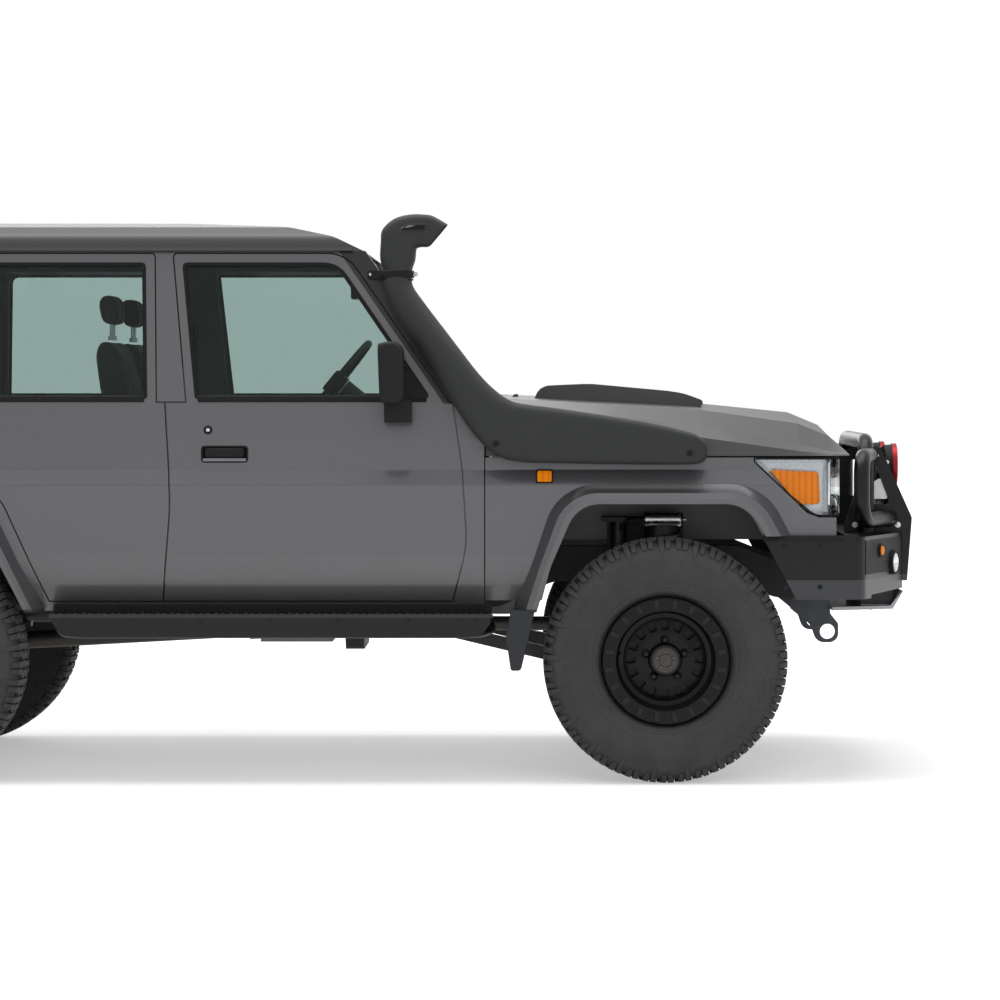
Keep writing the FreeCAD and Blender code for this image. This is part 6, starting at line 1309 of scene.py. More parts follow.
bm = bmesh.new()
for sign in (1, -1):
    weld_bead(bm, (2.400, sign * 0.4205, 0.950), (0, 1, 0), 0.0255)
    weld_bead(bm, (2.310, sign * 0.470, 0.879), (0, 0, 1), 0.029)
    for x, z in ((2.330, 1.160), (2.398, 0.930)):
        weld_bead(bm, (x + 0.001, sign * 0.431, z), (0, 1, 0), 0.029)
make_piece("bar_welds", bm, "car", bar_steel, angle=80)
bm = bmesh.new()
for sign in (1, -1):
    for x, z in ((2.272, 0.905), (2.430, 0.905), (2.300, 0.945), (2.300, 1.155), (2.352, 1.160)):
        hex_head(bm, (x, sign * 0.4302, z), (0, sign, 0), 0.014, 0.007)
    for x, z in ((1.985, 0.700), (2.110, 0.700), (1.985, 0.845), (2.110, 0.845)):
        turned_form(bm, [(0, 0.0001), (0, 0.009), (0.003, 0.008), (0.0045, 0.0001)], (x, sign * 0.8802, z),
                    (0, sign, 0), 16, 1)
    for x in (2.250, 2.340):
        for y in (0.10, 0.30):
            hex_head(bm, (x, sign * y, 0.5895), (0, 0, -1), 0.012, 0.006)
make_piece("bar_bolts", bm, "car", bright_steel, black_steel)
bm = bmesh.new()
for sign in (1, -1):
    tag = rounded_line([(2.338, 1.000, 0.006), (2.338, 1.060, 0.010), (2.366, 1.078, 0.014), (2.392, 1.054, 0.010),
                        (2.392, 1.000, 0.006)], 3)
    slab_form(bm, tag, lambda x, z, h, s=sign: (x, s * (0.4185 - h), z), 0.0, 0.006)
    hex_head(bm, (2.365, sign * 0.4130, 1.048), (0, -sign, 0), 0.016, 0.008)
make_piece("bar_tags", bm, "car", metal("zinc_plate", rgb(176, 178, 178), rough=0.38))
bm = bmesh.new()
MESH_BARS, MESH_PITCH, MESH_STAYS = 13, 0.0068, (-0.36, -0.24, -0.12, 0.0, 0.12, 0.24, 0.36)
for k in range(MESH_BARS):
    z = 0.738 + MESH_PITCH * k
    slab_form(bm, corners(-0.355, z, 0.355, z + 0.003), on_front(2.415), 0.0, 0.008)
for y in MESH_STAYS:
    slab_form(bm, corners(y - 0.004, 0.726, y + 0.004, 0.828), on_front(2.411), 0.0, 0.006)
slab_form(bm, corners(-0.358, 0.730, 0.358, 0.832), on_front(2.397), 0.0, 0.002)
make_piece("bumper_mesh", bm, "car", black_steel)
for side, sign in (("left", 1), ("right", -1)):
    bm = bmesh.new()
    lapped_sheet(bm, [[Vector((x, sign * y, z)) for y, z in ((0.8815, 0.862), (0.8825, 0.872), (0.880, 0.881),
                                                            (0.868, 0.8825), (0.846, 0.881), (0.8445, 0.872))]
                      for x in (1.908, 2.020, 2.160)] + [[Vector((2.2535 + dx, sign * y, z)) for dx, y, z in (
                          (0.001, 0.8765, 0.862), (0.002, 0.8775, 0.872), (0.0, 0.875, 0.881), (-0.012, 0.863, 0.8825),
                          (-0.030, 0.842, 0.881), (-0.032, 0.8405, 0.872))]])
    make_piece(f"{side}_bumper_cap", bm, "car", black_plastic)

# Side steps: raised tread buttons on the folded plate, button-head bolts along its side, a lighter
# metal strip along its rounded outer edge, and a black rubber strip that closes the gap to the sill and stands for the
# shade under the doors.
bm = bmesh.new()
STEP_TOP_Z, BUTTONS, BUTTON_PITCH, STEP_BOLTS, STEP_BOLT_PITCH = 0.602, 30, 0.0527, 7, 0.245
BUTTON = [(0.0, 0.0055), (0.0022, 0.0062), (0.0030, 0.0075), (0.0022, 0.0088), (0.0, 0.0095)]
for sign in (1, -1):
    for k in range(BUTTONS):
        x = -0.600 + k * BUTTON_PITCH
        turned_form(bm, BUTTON, (x, sign * 0.862, STEP_TOP_Z), (0, 0, 1), 14)
        turned_form(bm, BUTTON, (x + 0.0263, sign * 0.822, STEP_TOP_Z), (0, 0, 1), 14)
    for k in range(STEP_BOLTS):
        x = -0.585 + k * STEP_BOLT_PITCH
        turned_form(bm, [(0, 0.0001), (0, 0.0075), (0.0025, 0.0068), (0.004, 0.004), (0.004, 0.0001)],
                    (x, sign * 0.9252, 0.583), (0, sign, 0), 16, 1)
make_piece("step_buttons", bm, "car", bar_steel, bar_steel, angle=60)
for side, sign in (("left", 1), ("right", -1)):
    bm = bmesh.new()
    rows = []
    for x in (-0.632, -0.30, 0.0, 0.40, 0.945):
        rows.append([Vector((x, sign * y, z)) for y, z in ((0.9250, 0.606), (0.9262, 0.6035), (0.9268, 0.598),
                                                          (0.9262, 0.5935), (0.9250, 0.592))])
    lapped_sheet(bm, rows)
    # A lighter, more metallic strip along the step's rounded outer edge.
    make_piece(f"{side}_step_edge", bm, "car", metal(f"{side}_lighter_edge", rgb(58, 58, 61), rough=0.4, metallic=0.6))
    # The black strip on the sill above the step closes the gap there and is painted shade under the door bottoms.
    bm = bmesh.new()
    sill_shade_outline = oblong(-0.630, 0.598, 0.940, 0.632, 0.006, 3)
    slab_form(bm, sill_shade_outline, on_side(sign, 0.800), 0.0, 0.003)
    make_piece(f"{side}_sill_shade_strip", bm, "car", seal_rubber)

# Running gear: chassis rails in waxed black, axles in worn satin black, cast housings in raw alloy,
# springs and dampers. Mud and dust lie on everything below the sills.


def under_metal(name, colour, film_and_shade=0.8, rough=0.55, metallic=0.35, top=1.1):
    """Painted or cast metal under the car, with thick road film."""
    material, tree, shader, place = new_material(name)
    grain = use(tree, grain_group, {"Place": place, "Scale": 240.0, "Depth": 0.35})
    film_and_shade_mask = use(tree, film_and_shade_group, {"Place": place, "Top": top, "Amount": film_and_shade})
    tone = tones(tree, grain.outputs["Value"], toned(colour, 0.75), colour)
    dusty = tones(tree, film_and_shade_mask.outputs["Mask"], tone.outputs[2], rgb(98, 92, 84))
    link(tree, shader, {"Base Color": dusty.outputs[2], "Metallic": metallic, "Roughness": rough,
                        "Normal": grain.outputs["Normal"]})
    return material


chassis_black = under_metal("chassis_black", rgb(30, 31, 33), film_and_shade=0.3)
cast_alloy = under_metal("cast_alloy", rgb(128, 128, 126), film_and_shade=0.5, rough=0.5, metallic=0.7)
exhaust_steel = under_metal("exhaust_steel", rgb(74, 71, 68), film_and_shade=0.4, rough=0.45, metallic=0.6)
spring_black = under_metal("spring_black", rgb(30, 30, 32), film_and_shade=0.3, rough=0.4)
tank_plastic = rubber_like("tank_plastic", rgb(40, 40, 41), scale=300.0, film_and_shade=0.7)
for finish, nodes in (
    (chassis_black, ("chassis_rails", "frame_brackets", "gearbox_crossmember", "front_axle", "rear_axle", "tie_rod")),
    (cast_alloy, ("left_knuckle", "right_knuckle", "powertrain")),
    (spring_black, ("front_suspension", "rear_suspension")),
    (exhaust_steel, ("propshafts", "exhaust")),
    (tank_plastic, ("fuel_tank",)),
):
    for node in nodes:
        give(node, finish)
floor_coat = rubber_like("floor_coat", rgb(52, 52, 54), scale=200.0, depth=0.5, rough=0.7)
give("body_floor", floor_coat)


def wire_curve(name, points, radius, body, material, order=3):
    """A round bar along a smooth curve."""
    curve = bpy.data.curves.new(name, "CURVE")
    curve.dimensions = "3D"
    curve.bevel_depth = radius
    curve.bevel_resolution = 4
    curve.use_fill_caps = True
    spline = curve.splines.new("NURBS")
    spline.points.add(len(points) - 1)
    for slot, point in zip(spline.points, points):
        slot.co = (*point, 1.0)
    spline.order_u = order
    spline.use_endpoint_u = True
    spline.resolution_u = 4
    curve.materials.append(material)
    obj = new_object(name, curve)
    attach(obj, body)
    return obj


COIL_TURNS, COIL_R, COIL_Y, COIL_FOOT_Z, COIL_HEIGHT = 6.5, 0.0665, 0.485, 0.512, 0.398
DAMPER_Y, CANISTER_Z, BELLOWS = 0.585, 0.930, 19
for side, sign in (("left", 1), ("right", -1)):
    count = int(COIL_TURNS * 14)
    coil = []
    for k in range(count + 1):
        a = 2 * math.pi * COIL_TURNS * k / count
        coil.append((FRONT_AXLE_X + COIL_R * math.cos(a), sign * COIL_Y + COIL_R * math.sin(a),
                     COIL_FOOT_Z + COIL_HEIGHT * k / count))
    wire_curve(f"{side}_coil_spring", coil, 0.0085, "car", metal(f"{side}_spring_paint", rgb(58, 58, 62), rough=0.35,
                                                                 metallic=0.5), order=4)
    bm = bmesh.new()
    turned_form(bm, [(0, 0.0001), (0, 0.0255), (0.008, 0.0265), (0.014, 0.0265), (0.018, 0.0246), (0.110, 0.0246),
                     (0.114, 0.0262), (0.126, 0.0262), (0.132, 0.022), (0.132, 0.0001)],
                (1.495, sign * DAMPER_Y, CANISTER_Z), (1, 0, 0), 36)
    turned_form(bm, [(0, 0.0001), (0, 0.005), (0.012, 0.005), (0.012, 0.0001)], (1.632, sign * DAMPER_Y, CANISTER_Z),
                (1, 0, 0), 12)
    make_piece(f"{side}_damper_canister", bm, "car", bright_steel)
    hose = [(1.495, DAMPER_Y, CANISTER_Z), (1.462, DAMPER_Y, 0.934), (1.430, 0.560, 0.930), (1.412, 0.510, 0.905),
            (1.404, 0.484, 0.880)]
    wire_curve(f"{side}_damper_hose", [(x, sign * y, z) for x, y, z in hose], 0.0065, "car", seal_rubber)
    bm = bmesh.new()
    bellows = [(0.012 * k, 0.031 if k % 2 else 0.026) for k in range(BELLOWS)]
    turned_form(bm, [(0, 0.018)] + bellows + [(0.216, 0.018)], (1.400, sign * 0.467, 0.500), (0, 0, 1), 28)
    make_piece(f"{side}_damper_boot", bm, "car", seal_rubber)
    bm = bmesh.new()
    for x, z in ((0.700, 0.527), (1.482, 0.352), (1.612, 0.352)):
        for y, turn in ((0.343, -sign), (0.397, sign)):
            hex_head(bm, (x, sign * y + turn * 0.002, z), (0, turn, 0), 0.022, 0.012)
    make_piece(f"{side}_radius_arm_bolts", bm, "car", bright_steel)
    bm = bmesh.new()
    for x in (-1.215, -1.125):
        for y in (0.458, 0.542):
            turned_form(bm, [(0, 0.0001), (0, 0.007), (0.130, 0.007), (0.130, 0.0001)], (x, sign * y, 0.428),
                        (0, 0, 1), 12)
            hex_head(bm, (x, sign * y, 0.440), (0, 0, -1), 0.019, 0.012)
    make_piece(f"{side}_spring_clamps", bm, "car", bright_steel)
bm = bmesh.new()
for x in (1.105, 1.230, 1.355, 1.480):
    turned_form(bm, [(0, 0.0001), (0, 0.034), (0.012, 0.034), (0.014, 0.028), (0.020, 0.028), (0.020, 0.0001)],
                (x, 0.015, 1.2155), (0, 0, 1), 24)
turned_form(bm, [(0, 0.0001), (0, 0.030), (0.014, 0.030), (0.018, 0.024), (0.018, 0.0001)], (1.300, -0.080, 1.2150),
            (0, 0, 1), 20)
make_piece("engine_cover_caps", bm, "car", black_plastic)

# Seats: two in front on boxes and a split bench behind, in charcoal woven cloth over foam. Each cushion
# is inflated by simulation from a slightly smaller form, and the sewn channels are worked in after.
seat_cloth, tree, shader, place = new_material("seat_cloth")
warp = put(tree, "ShaderNodeTexWave", {"Vector": place, "Scale": 210.0, "Distortion": 0.4}, bands_direction="Y")
weft = put(tree, "ShaderNodeTexWave", {"Vector": place, "Scale": 210.0, "Distortion": 0.4}, bands_direction="DIAGONAL")
weave = maths(tree, "MULTIPLY", warp.outputs["Fac"], weft.outputs["Fac"])
fleck = put(tree, "ShaderNodeTexNoise", {"Vector": place, "Scale": 380.0, "Detail": 4.0})
worn = put(tree, "ShaderNodeTexNoise", {"Vector": place, "Scale": 7.0, "Detail": 3.0})
yarn = tones(tree, fleck.outputs["Fac"], rgb(30, 31, 33), rgb(66, 68, 72))
tone = tones(tree, worn.outputs["Fac"], yarn.outputs[2], rgb(58, 58, 60))
relief = put(tree, "ShaderNodeBump", {"Height": weave.outputs[0], "Strength": 0.35, "Distance": 0.0012})
link(tree, shader, {"Base Color": tone.outputs[2], "Roughness": 0.92, "Normal": relief.outputs["Normal"],
                    "Sheen Weight": 0.35, "Sheen Roughness": 0.5, "Specular IOR Level": 0.2})


FOAM_FRAMES, FOAM_PRESSURE, FOAM_STIFFNESS, FOAM_REACH = 14, 4.0, 12.0, 0.016
CHANNEL_DEPTH, CHANNEL_WIDTH = 0.010, 0.011


def baked(obj):
    """Gives obj the mesh that its modifiers make, and takes them off."""
    seen = bpy.context.evaluated_depsgraph_get()
    obj.data = bpy.data.meshes.new_from_object(obj.evaluated_get(seen), depsgraph=seen)
    obj.modifiers.clear()


def cushion(name, outline, half, middle, voxel, low, channels, facing, copies=()):
    """A stuffed form; channels are (origin, direction across the seam), and copies are shifts in y."""
    bm = bmesh.new()
    slab_form(bm, rounded_line(outline, 4), lambda x, z, h: (x, h, z), middle - half, middle + half)
    bmesh.ops.recalc_face_normals(bm, faces=bm.faces)
    mesh = bpy.data.meshes.new(name)
    bm.to_mesh(mesh)
    bm.free()
    mesh.materials.append(seat_cloth)
    obj = new_object(name, mesh)
    grid = obj.modifiers.new("grid", "REMESH")
    grid.mode = "VOXEL"
    grid.voxel_size = voxel
    baked(obj)
    start = [v.co.copy() for v in obj.data.vertices]
    foam = obj.modifiers.new("foam", "CLOTH")
    foam.settings.use_pressure = True
    foam.settings.uniform_pressure_force = FOAM_PRESSURE
    foam.settings.effector_weights.gravity = 0.0
    foam.settings.tension_stiffness = FOAM_STIFFNESS
    foam.settings.compression_stiffness = FOAM_STIFFNESS
    for number in range(1, FOAM_FRAMES + 1):
        bpy.context.scene.frame_set(number)
    baked(obj)
    bpy.context.scene.frame_set(1)
    for vertex, was in zip(obj.data.vertices, start):
        moved = vertex.co - was
        if moved.length > FOAM_REACH:
            vertex.co = was + moved * (FOAM_REACH / moved.length)
    facing = Vector(facing).normalized()
    for vertex in obj.data.vertices:
        showing = max(0.0, min(1.0, vertex.normal.dot(facing) * 2.5))
        for origin, across in channels:
            off = (vertex.co - Vector(origin)).dot(Vector(across).normalized())
            vertex.co -= vertex.normal * CHANNEL_DEPTH * showing * math.exp(-(off / CHANNEL_WIDTH) ** 2)
        vertex.co.z = max(vertex.co.z, low)
    obj.data.shade_smooth()
    made = []
    for shift in (0.0, *copies):
        piece = obj if shift == 0 else new_object(name.replace("right", "left"), obj.data)
        piece.location.y = shift
        softer = piece.modifiers.new("smooth", "SUBSURF")
        softer.levels = softer.render_levels = 1
        bpy.context.view_layer.update()
        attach(piece, "car")
        made.append(piece)
    return made


def seat_set(prefix, x, low, half, middle, heads, ribs, voxel, copies):
    """Cushion, raked back and head restraints of one seat, at the CAD seat's own places."""
    across = [((0, middle + y, 0), (0, 1, 0)) for y in ribs]
    base = [(x - 0.053, low + 0.012, 0.03), (x + 0.418, low + 0.012, 0.04), (x + 0.418, low + 0.135, 0.05),
            (x - 0.053, low + 0.098, 0.03)]
    back = [(x - 0.190, low + 0.012, 0.03), (x - 0.072, low + 0.012, 0.02), (x - 0.074, low + 0.128, 0.05),
            (x - 0.202, low + 0.608, 0.05), (x - 0.266, low + 0.608, 0.03)]
    made = cushion(prefix + "_seat_cushion", base, half - 0.012, middle, voxel, low + 0.0005,
                   across + [((x + 0.30, 0, 0), (1, 0, 0.1)), ((x + 0.06, 0, 0), (1, 0, 0.1))], (-0.1, 0, 1), copies)
    cushion(prefix + "_seat_back", back, half - 0.022, middle, voxel, low + 0.0005,
            across + [((0, 0, low + 0.24), (0.2, 0, 1)), ((0, 0, low + 0.52), (0.2, 0, 1))], (1, 0, 0.25), copies)
    bm = bmesh.new()
    for number, y in enumerate(heads):
        head = [(x - 0.256, low + 0.657, 0.03), (x - 0.190, low + 0.657, 0.03), (x - 0.202, low + 0.765, 0.04),
                (x - 0.272, low + 0.765, 0.03)]
        cushion(f"{prefix}_head_restraint_{number}", head, 0.110, y, 0.013, low, [((0, y, 0), (0, 1, 0))], (1, 0, 0),
                copies)
        for shift in (0.0, *copies):
            for side in (-0.045, 0.045):
                spot = (x - 0.230, y + shift + side, low + 0.600)
                turned_form(bm, [(0, 0.0001), (0, 0.012), (0.016, 0.011), (0.016, 0.0055), (0.065, 0.0055),
                                 (0.065, 0.0001)], spot, (0, 0, 1), 14)
    make_piece(prefix + "_head_restraint_rods", bm, "car", bright_steel)
    return made[0]


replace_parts(seat_set("right", -0.240, 0.985, 0.250, -0.360, [-0.360], (-0.150, 0.150), 0.015, (0.720,)), "front_seats")
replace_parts(seat_set("rear", -1.010, 1.030, 0.620, 0.0, [-0.330, 0.330], (-0.450, -0.205, 0.205, 0.450), 0.019, ()),
            "rear_bench")
carpet = rubber_like("carpet", rgb(48, 47, 47), scale=420.0, depth=0.8, rough=0.9, spread=0.45)
give("seat_frames", carpet)
BELT_FOOT_Y, BELT_LEAN = 0.6935, 0.1222
bm = bmesh.new()
for sign in (1, -1):
    lever = rounded_line([(-0.330, 1.050, 0.012), (-0.330, 1.078, 0.012), (-0.200, 1.062, 0.008),
                          (-0.200, 1.046, 0.008)], 3)
    buckle = rounded_line([(-0.215, 1.000, 0.004), (-0.255, 1.000, 0.004), (-0.262, 1.085, 0.004),
                           (-0.222, 1.085, 0.004)], 3)
    guide = rounded_line([(-0.305, 1.600, 0.01), (-0.239, 1.600, 0.01), (-0.249, 1.650, 0.01),
                          (-0.295, 1.650, 0.01)], 3)
    slab_form(bm, lever, on_side(sign, 0.613), 0.0, 0.014)
    slab_form(bm, buckle, on_side(sign, 0.088), 0.0, 0.018)
    for outline, low, high in ((corners(-0.295, 0.870, -0.249, 1.620), 0.0035, 0.0050), (guide, 0.0005, 0.016)):
        slab_form(bm, outline, lambda x, z, h, s=sign: (
            x, s * (BELT_FOOT_Y - max(0.0, z - BELT_Z) * BELT_LEAN - h), z), low, high)
belt_webbing = rubber_like("belt_webbing", rgb(30, 30, 32), scale=700.0, depth=0.5)
make_piece("belts_and_levers", bm, "car", belt_webbing, bevel=0.0008)

# Steering wheel: a thick moulded rim with finger swells on the back, a level spoke bar, one spoke down
# and a padded centre. It turns about the same raked column as the CAD wheel that it stands for.
wheel_vinyl = rubber_like("wheel_vinyl", rgb(36, 37, 39), scale=620.0, depth=0.3, rough=0.5)
HUB = Vector((0.361, -0.360, 1.428))
COLUMN = Vector((0.78, 0.0, -0.626)).normalized()
RISE = Vector((0.626, 0.0, 0.78)).normalized()
ACROSS = Vector((0.0, 1.0, 0.0))
RIM_R, GRIP_R, RIM_STEPS, GRIP_STEPS = 0.186, 0.0125, 96, 14
bm = bmesh.new()
rings = []
for k in range(RIM_STEPS):
    a = 2 * math.pi * k / RIM_STEPS
    spoke = ACROSS * math.cos(a) + RISE * math.sin(a)
    swell = 0.0012 * max(0.0, math.sin(24 * a)) if math.sin(a) > -0.2 else 0.0
    rings.append([bm.verts.new(HUB + spoke * (RIM_R + GRIP_R * math.cos(b)) + COLUMN * (
        (GRIP_R + swell * (math.sin(b) > 0)) * math.sin(b)))
        for b in [2 * math.pi * i / GRIP_STEPS for i in range(GRIP_STEPS)]])
wrap(bm, rings, closed=True)
level = [(-0.180, -0.012), (-0.060, -0.030), (0.060, -0.030), (0.180, -0.012), (0.180, 0.012), (0.060, 0.024),
         (-0.060, 0.024), (-0.180, 0.012)]
upright = [(-0.015, -0.180), (0.015, -0.180), (0.026, -0.030), (-0.026, -0.030)]
centre = rounded_line([(-0.072, -0.050, 0.03), (0.072, -0.050, 0.03), (0.060, 0.038, 0.025), (-0.060, 0.038, 0.025)], 5)
for outline, low, high in ((level, -0.006, 0.005), (upright, -0.006, 0.0045), (centre, -0.028, 0.026)):
    slab_form(bm, outline, lambda y, u, h: HUB + ACROSS * y + RISE * u + COLUMN * h, low, high)
wheel = make_piece("steering_wheel_rim", bm, "steering_wheel_body", wheel_vinyl, bevel=0.004, segments=3, angle=40)
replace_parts(wheel, "steering_wheel")

# Dashboard: padded top and hood in grained grey vinyl, two dials under glass, louvred vents, heater
# knobs, a glovebox lid and a grab handle, with the levers between the seats and three pedals.
dash_vinyl = rubber_like("dash_vinyl", rgb(58, 59, 61), scale=380.0, depth=0.45, rough=0.66)
give("dashboard", dash_vinyl)
bm = bmesh.new()
DIAL_AXIS = Vector((-1.0, 0.0, 0.22)).normalized()
DIALS, DIAL_MARKS, MARK_STEP = ((-0.445, 0.030), (-0.275, 0.030), (-0.360, 0.019)), 11, 26
up = DIAL_AXIS.cross(ACROSS)
for y, r in DIALS:
    dial = Vector((0.591, y, 1.298))
    turned_form(bm, [(0, 0.0001), (0, r), (0.005, r), (0.007, r - 0.003), (0.003, r - 0.005)], dial, DIAL_AXIS, 36, 1)
    turned_form(bm, [(0.0025, 0.0001), (0.0025, r - 0.004)], dial, DIAL_AXIS, 36)
    for k in range(DIAL_MARKS):
        a = math.radians(-40 + MARK_STEP * k)
        slab_form(bm, corners(r * 0.66, -0.0006, r * 0.82, 0.0006),
                  lambda p, q, h, a=a, dial=dial: dial + DIAL_AXIS * h - ACROSS * (
                      p * math.cos(a) - q * math.sin(a)) - up * (p * math.sin(a) + q * math.cos(a)), 0.0026, 0.0032, 2)
make_piece("instrument_dials", bm, "car", seal_rubber, bright_steel, number_plate)
VENTS, LOUVRES, LOUVRE_PITCH, KNOBS = (-0.640, -0.070, 0.070, 0.640), 6, 0.0085, (-0.052, 0.0, 0.052)
bm = bmesh.new()
for y in VENTS:
    frame_line = oblong(y - 0.036, 1.205, y + 0.036, 1.262, 0.008, 3)
    sweep_ring(bm, frame_line, [(-0.004, 0.0), (-0.003, 0.004), (0.004, 0.004), (0.006, 0.0)], on_back(0.6015))
    for k in range(LOUVRES):
        z = 1.2125 + LOUVRE_PITCH * k
        slab_form(bm, corners(y - 0.031, z, y + 0.031, z + 0.0022),
                  lambda yy, zz, h: (0.6025 - h, yy, zz + h * 0.4), 0.0, 0.005)
for y in KNOBS:
    turned_form(bm, [(0, 0.0001), (0, 0.017), (0.004, 0.016), (0.016, 0.0135), (0.018, 0.012), (0.018, 0.0001)],
                (0.6035, y, 1.178), (-1, 0, 0), 22)
slab_form(bm, oblong(-0.092, 1.196, 0.092, 1.160, 0.006, 3), on_back(0.606), 0.0, 0.0035)
slab_form(bm, oblong(0.190, 1.135, 0.560, 1.196, 0.012, 4),
          lambda y, z, h: (0.6085 + max(0.0, 1.190 - z) * 0.55 - h, y, z), 0.0, 0.006)
make_piece("dash_fittings", bm, "car", black_plastic, bevel=0.0008)
grab = [(x, y, 1.262) for x, y in ((0.604, 0.300), (0.570, 0.310), (0.566, 0.345), (0.566, 0.465), (0.570, 0.500),
                                   (0.604, 0.510))]
wire_curve("grab_handle", grab, 0.009, "car", black_plastic)
bm = bmesh.new()
bellows = [(0.0, 0.0001), (0.0, 0.055)]
GAITER_FOLDS, PEDALS = 7, (-0.250, -0.350, -0.460)
for k in range(GAITER_FOLDS):
    bellows += [(0.006 + 0.011 * k, 0.048 - 0.0055 * k), (0.0115 + 0.011 * k, 0.041 - 0.0050 * k)]
for x, y, tall, lean in ((0.420, 0.020, 0.34, -0.22), (0.300, 0.060, 0.20, -0.16)):
    lever = Vector((lean, 0.0, 1.0)).normalized()
    foot = Vector((x, y, 0.7652))
    turned_form(bm, bellows, foot, (0, 0, 1), 28)
    turned_form(bm, [(0.070, 0.0001), (0.070, 0.006), (tall, 0.006), (tall, 0.0001)], foot, lever, 14, 1)
    turned_form(bm, [(tall - 0.005, 0.0001), (tall - 0.004, 0.010), (tall + 0.010, 0.021), (tall + 0.030, 0.022),
                     (tall + 0.042, 0.015), (tall + 0.045, 0.0001)], foot, lever, 22)
for y in PEDALS:
    pad = rounded_line([(y - 0.028, 0.905, 0.006), (y + 0.028, 0.905, 0.006), (y + 0.026, 0.965, 0.006),
                        (y - 0.026, 0.965, 0.006)], 3)
    slab_form(bm, pad, lambda yy, z, h: (0.690 + (z - 0.905) * 0.5 - h, yy, z), 0.0, 0.010)
    slab_form(bm, corners(y - 0.006, 0.930, y + 0.006, 1.110),
              lambda yy, z, h: (0.712 + (z - 0.930) * 0.15 + h, yy, z), 0.0, 0.014, 1)
make_piece("levers_and_pedals", bm, "car", seal_rubber, black_steel)
bm = bmesh.new()
mirror_line = rounded_line([(-0.115, 1.745, 0.02), (0.115, 1.745, 0.02), (0.110, 1.805, 0.022),
                            (-0.110, 1.805, 0.022)], 4)
slab_form(bm, mirror_line, on_front(0.400), 0.0, 0.022)
glass_share, mirror_z = 0.93, 1.775
glass_line = [p * glass_share + Vector((0, mirror_z * (1 - glass_share))) for p in mirror_line]
slab_form(bm, glass_line, on_back(0.3995), 0.0, 0.0008, 1)
turned_form(bm, [(0, 0.0001), (0, 0.008), (0.060, 0.007), (0.060, 0.0001)], (0.420, 0, 1.795), (0.2, 0, 1), 14)
make_piece("inner_mirror", bm, "car", black_plastic, mirror_glass)

# Studio: a pale floor and a white room, with broad soft lamps above and beside the car, and the
# camera to the car's right at the height of its mirrors, as in the photograph.
FLOOR_HALF, ROOM_LIGHT, GLOW_FROM, GLOW_TO = 60, 0.42, 3.0, 9.0
LENS, SHIFT_X, SHIFT_Y, VIEWER_PLACE = 136.55, -0.04, -0.12, (1.112, -14.4, 1.438)


def seen_rays(tree):
    """1 for the rays that show the backdrop: the camera's own, and those through glass or off gloss."""
    path = tree.nodes.new("ShaderNodeLightPath")
    direct = maths(tree, "MAXIMUM", path.outputs["Is Camera Ray"], path.outputs["Is Transmission Ray"])
    return maths(tree, "MAXIMUM", direct.outputs[0], path.outputs["Is Glossy Ray"]).outputs[0]


floor_mesh = bpy.data.meshes.new("studio_floor")
bm = bmesh.new()
bmesh.ops.create_grid(bm, x_segments=1, y_segments=1, size=FLOOR_HALF)
bm.to_mesh(floor_mesh)
bm.free()
floor = new_object("studio_floor", floor_mesh)
floor_pale = bpy.data.materials.new("studio_floor")
floor_pale.use_nodes = True
tree = floor_pale.node_tree
tree.nodes.clear()
out = tree.nodes.new("ShaderNodeOutputMaterial")
place = tree.nodes.new("ShaderNodeTexCoord").outputs["Object"]
mottle = put(tree, "ShaderNodeTexNoise", {"Vector": place, "Scale": 1.5, "Detail": 3.0})
tone = span(tree, mottle.outputs["Fac"], 0.80, 0.83)
matt = put(tree, "ShaderNodeBsdfDiffuse", {"Color": tone.outputs[0]})
far_off = put(tree, "ShaderNodeVectorMath", {0: place}, operation="LENGTH")
rise = span(tree, far_off.outputs["Value"], ROOM_LIGHT, 1.0, GLOW_FROM, GLOW_TO)
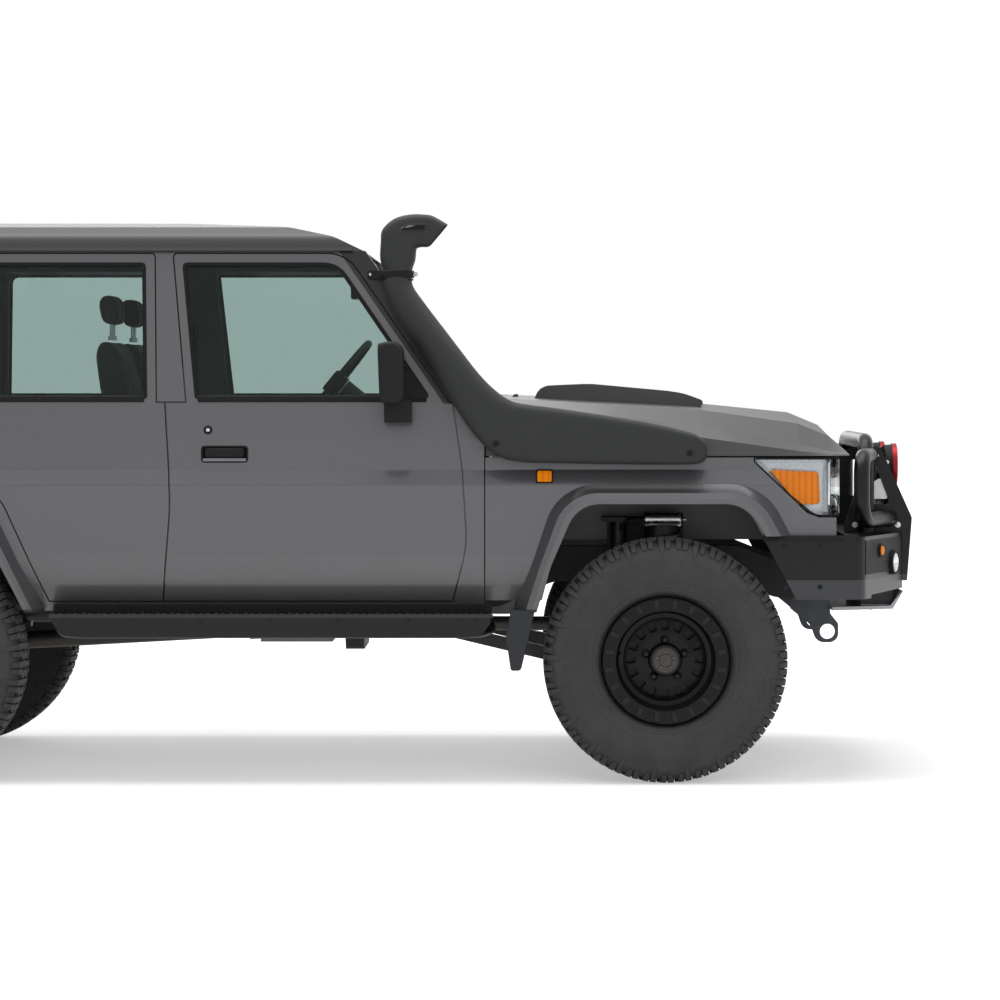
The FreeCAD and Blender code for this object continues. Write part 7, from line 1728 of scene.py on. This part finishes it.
glow = put(tree, "ShaderNodeEmission", {"Color": (1, 1, 1, 1), "Strength": rise.outputs[0]})
both = put(tree, "ShaderNodeAddShader", {0: matt.outputs[0], 1: glow.outputs[0]})
chosen = put(tree, "ShaderNodeMixShader", {0: seen_rays(tree), 1: matt.outputs[0], 2: both.outputs[0]})
tree.links.new(chosen.outputs[0], out.inputs["Surface"])
floor_mesh.materials.append(floor_pale)

world = bpy.data.worlds.new("studio")
bpy.context.scene.world = world
world.use_nodes = True
tree = world.node_tree
tree.nodes.clear()
out = tree.nodes.new("ShaderNodeOutputWorld")
soft = put(tree, "ShaderNodeBackground", {"Color": (1, 1, 1, 1), "Strength": ROOM_LIGHT})
white = put(tree, "ShaderNodeBackground", {"Color": (1, 1, 1, 1), "Strength": 1.0})
chosen = put(tree, "ShaderNodeMixShader", {0: seen_rays(tree), 1: soft.outputs[0], 2: white.outputs[0]})
tree.links.new(chosen.outputs[0], out.inputs["Surface"])

for name, spot, aim, size, power in (
    ("overhead_softbox", (0.2, -0.4, 5.5), (0.2, 0, 0), (7.0, 3.5), 300),
    ("near_side_softbox", (2.5, -7.5, 3.8), (0.8, 0, 1.0), (6.0, 2.5), 160),
    ("far_side_softbox", (-1.0, 7.5, 3.5), (0, 0, 1.0), (6.0, 2.5), 110),
):
    lamp = bpy.data.lights.new(name, "AREA")
    lamp.shape = "RECTANGLE"
    lamp.size, lamp.size_y = size
    lamp.energy = power
    holder = new_object(name, lamp)
    holder.location = spot
    holder.visible_glossy = name != "near_side_softbox"
    holder.rotation_euler = (Vector(aim) - Vector(spot)).to_track_quat("-Z", "Y").to_euler()

camera = bpy.data.cameras.new("side_camera")
camera.sensor_width = 36.0
camera.lens = LENS
camera.shift_x = SHIFT_X
camera.shift_y = SHIFT_Y
camera.dof.use_dof = False
viewer = new_object("side_camera", camera)
viewer.location = VIEWER_PLACE
viewer.rotation_euler = (math.pi / 2, 0, 0)
bpy.context.scene.camera = viewer
bpy.context.scene.view_settings.view_transform = "Standard"

bpy.context.view_layer.update()
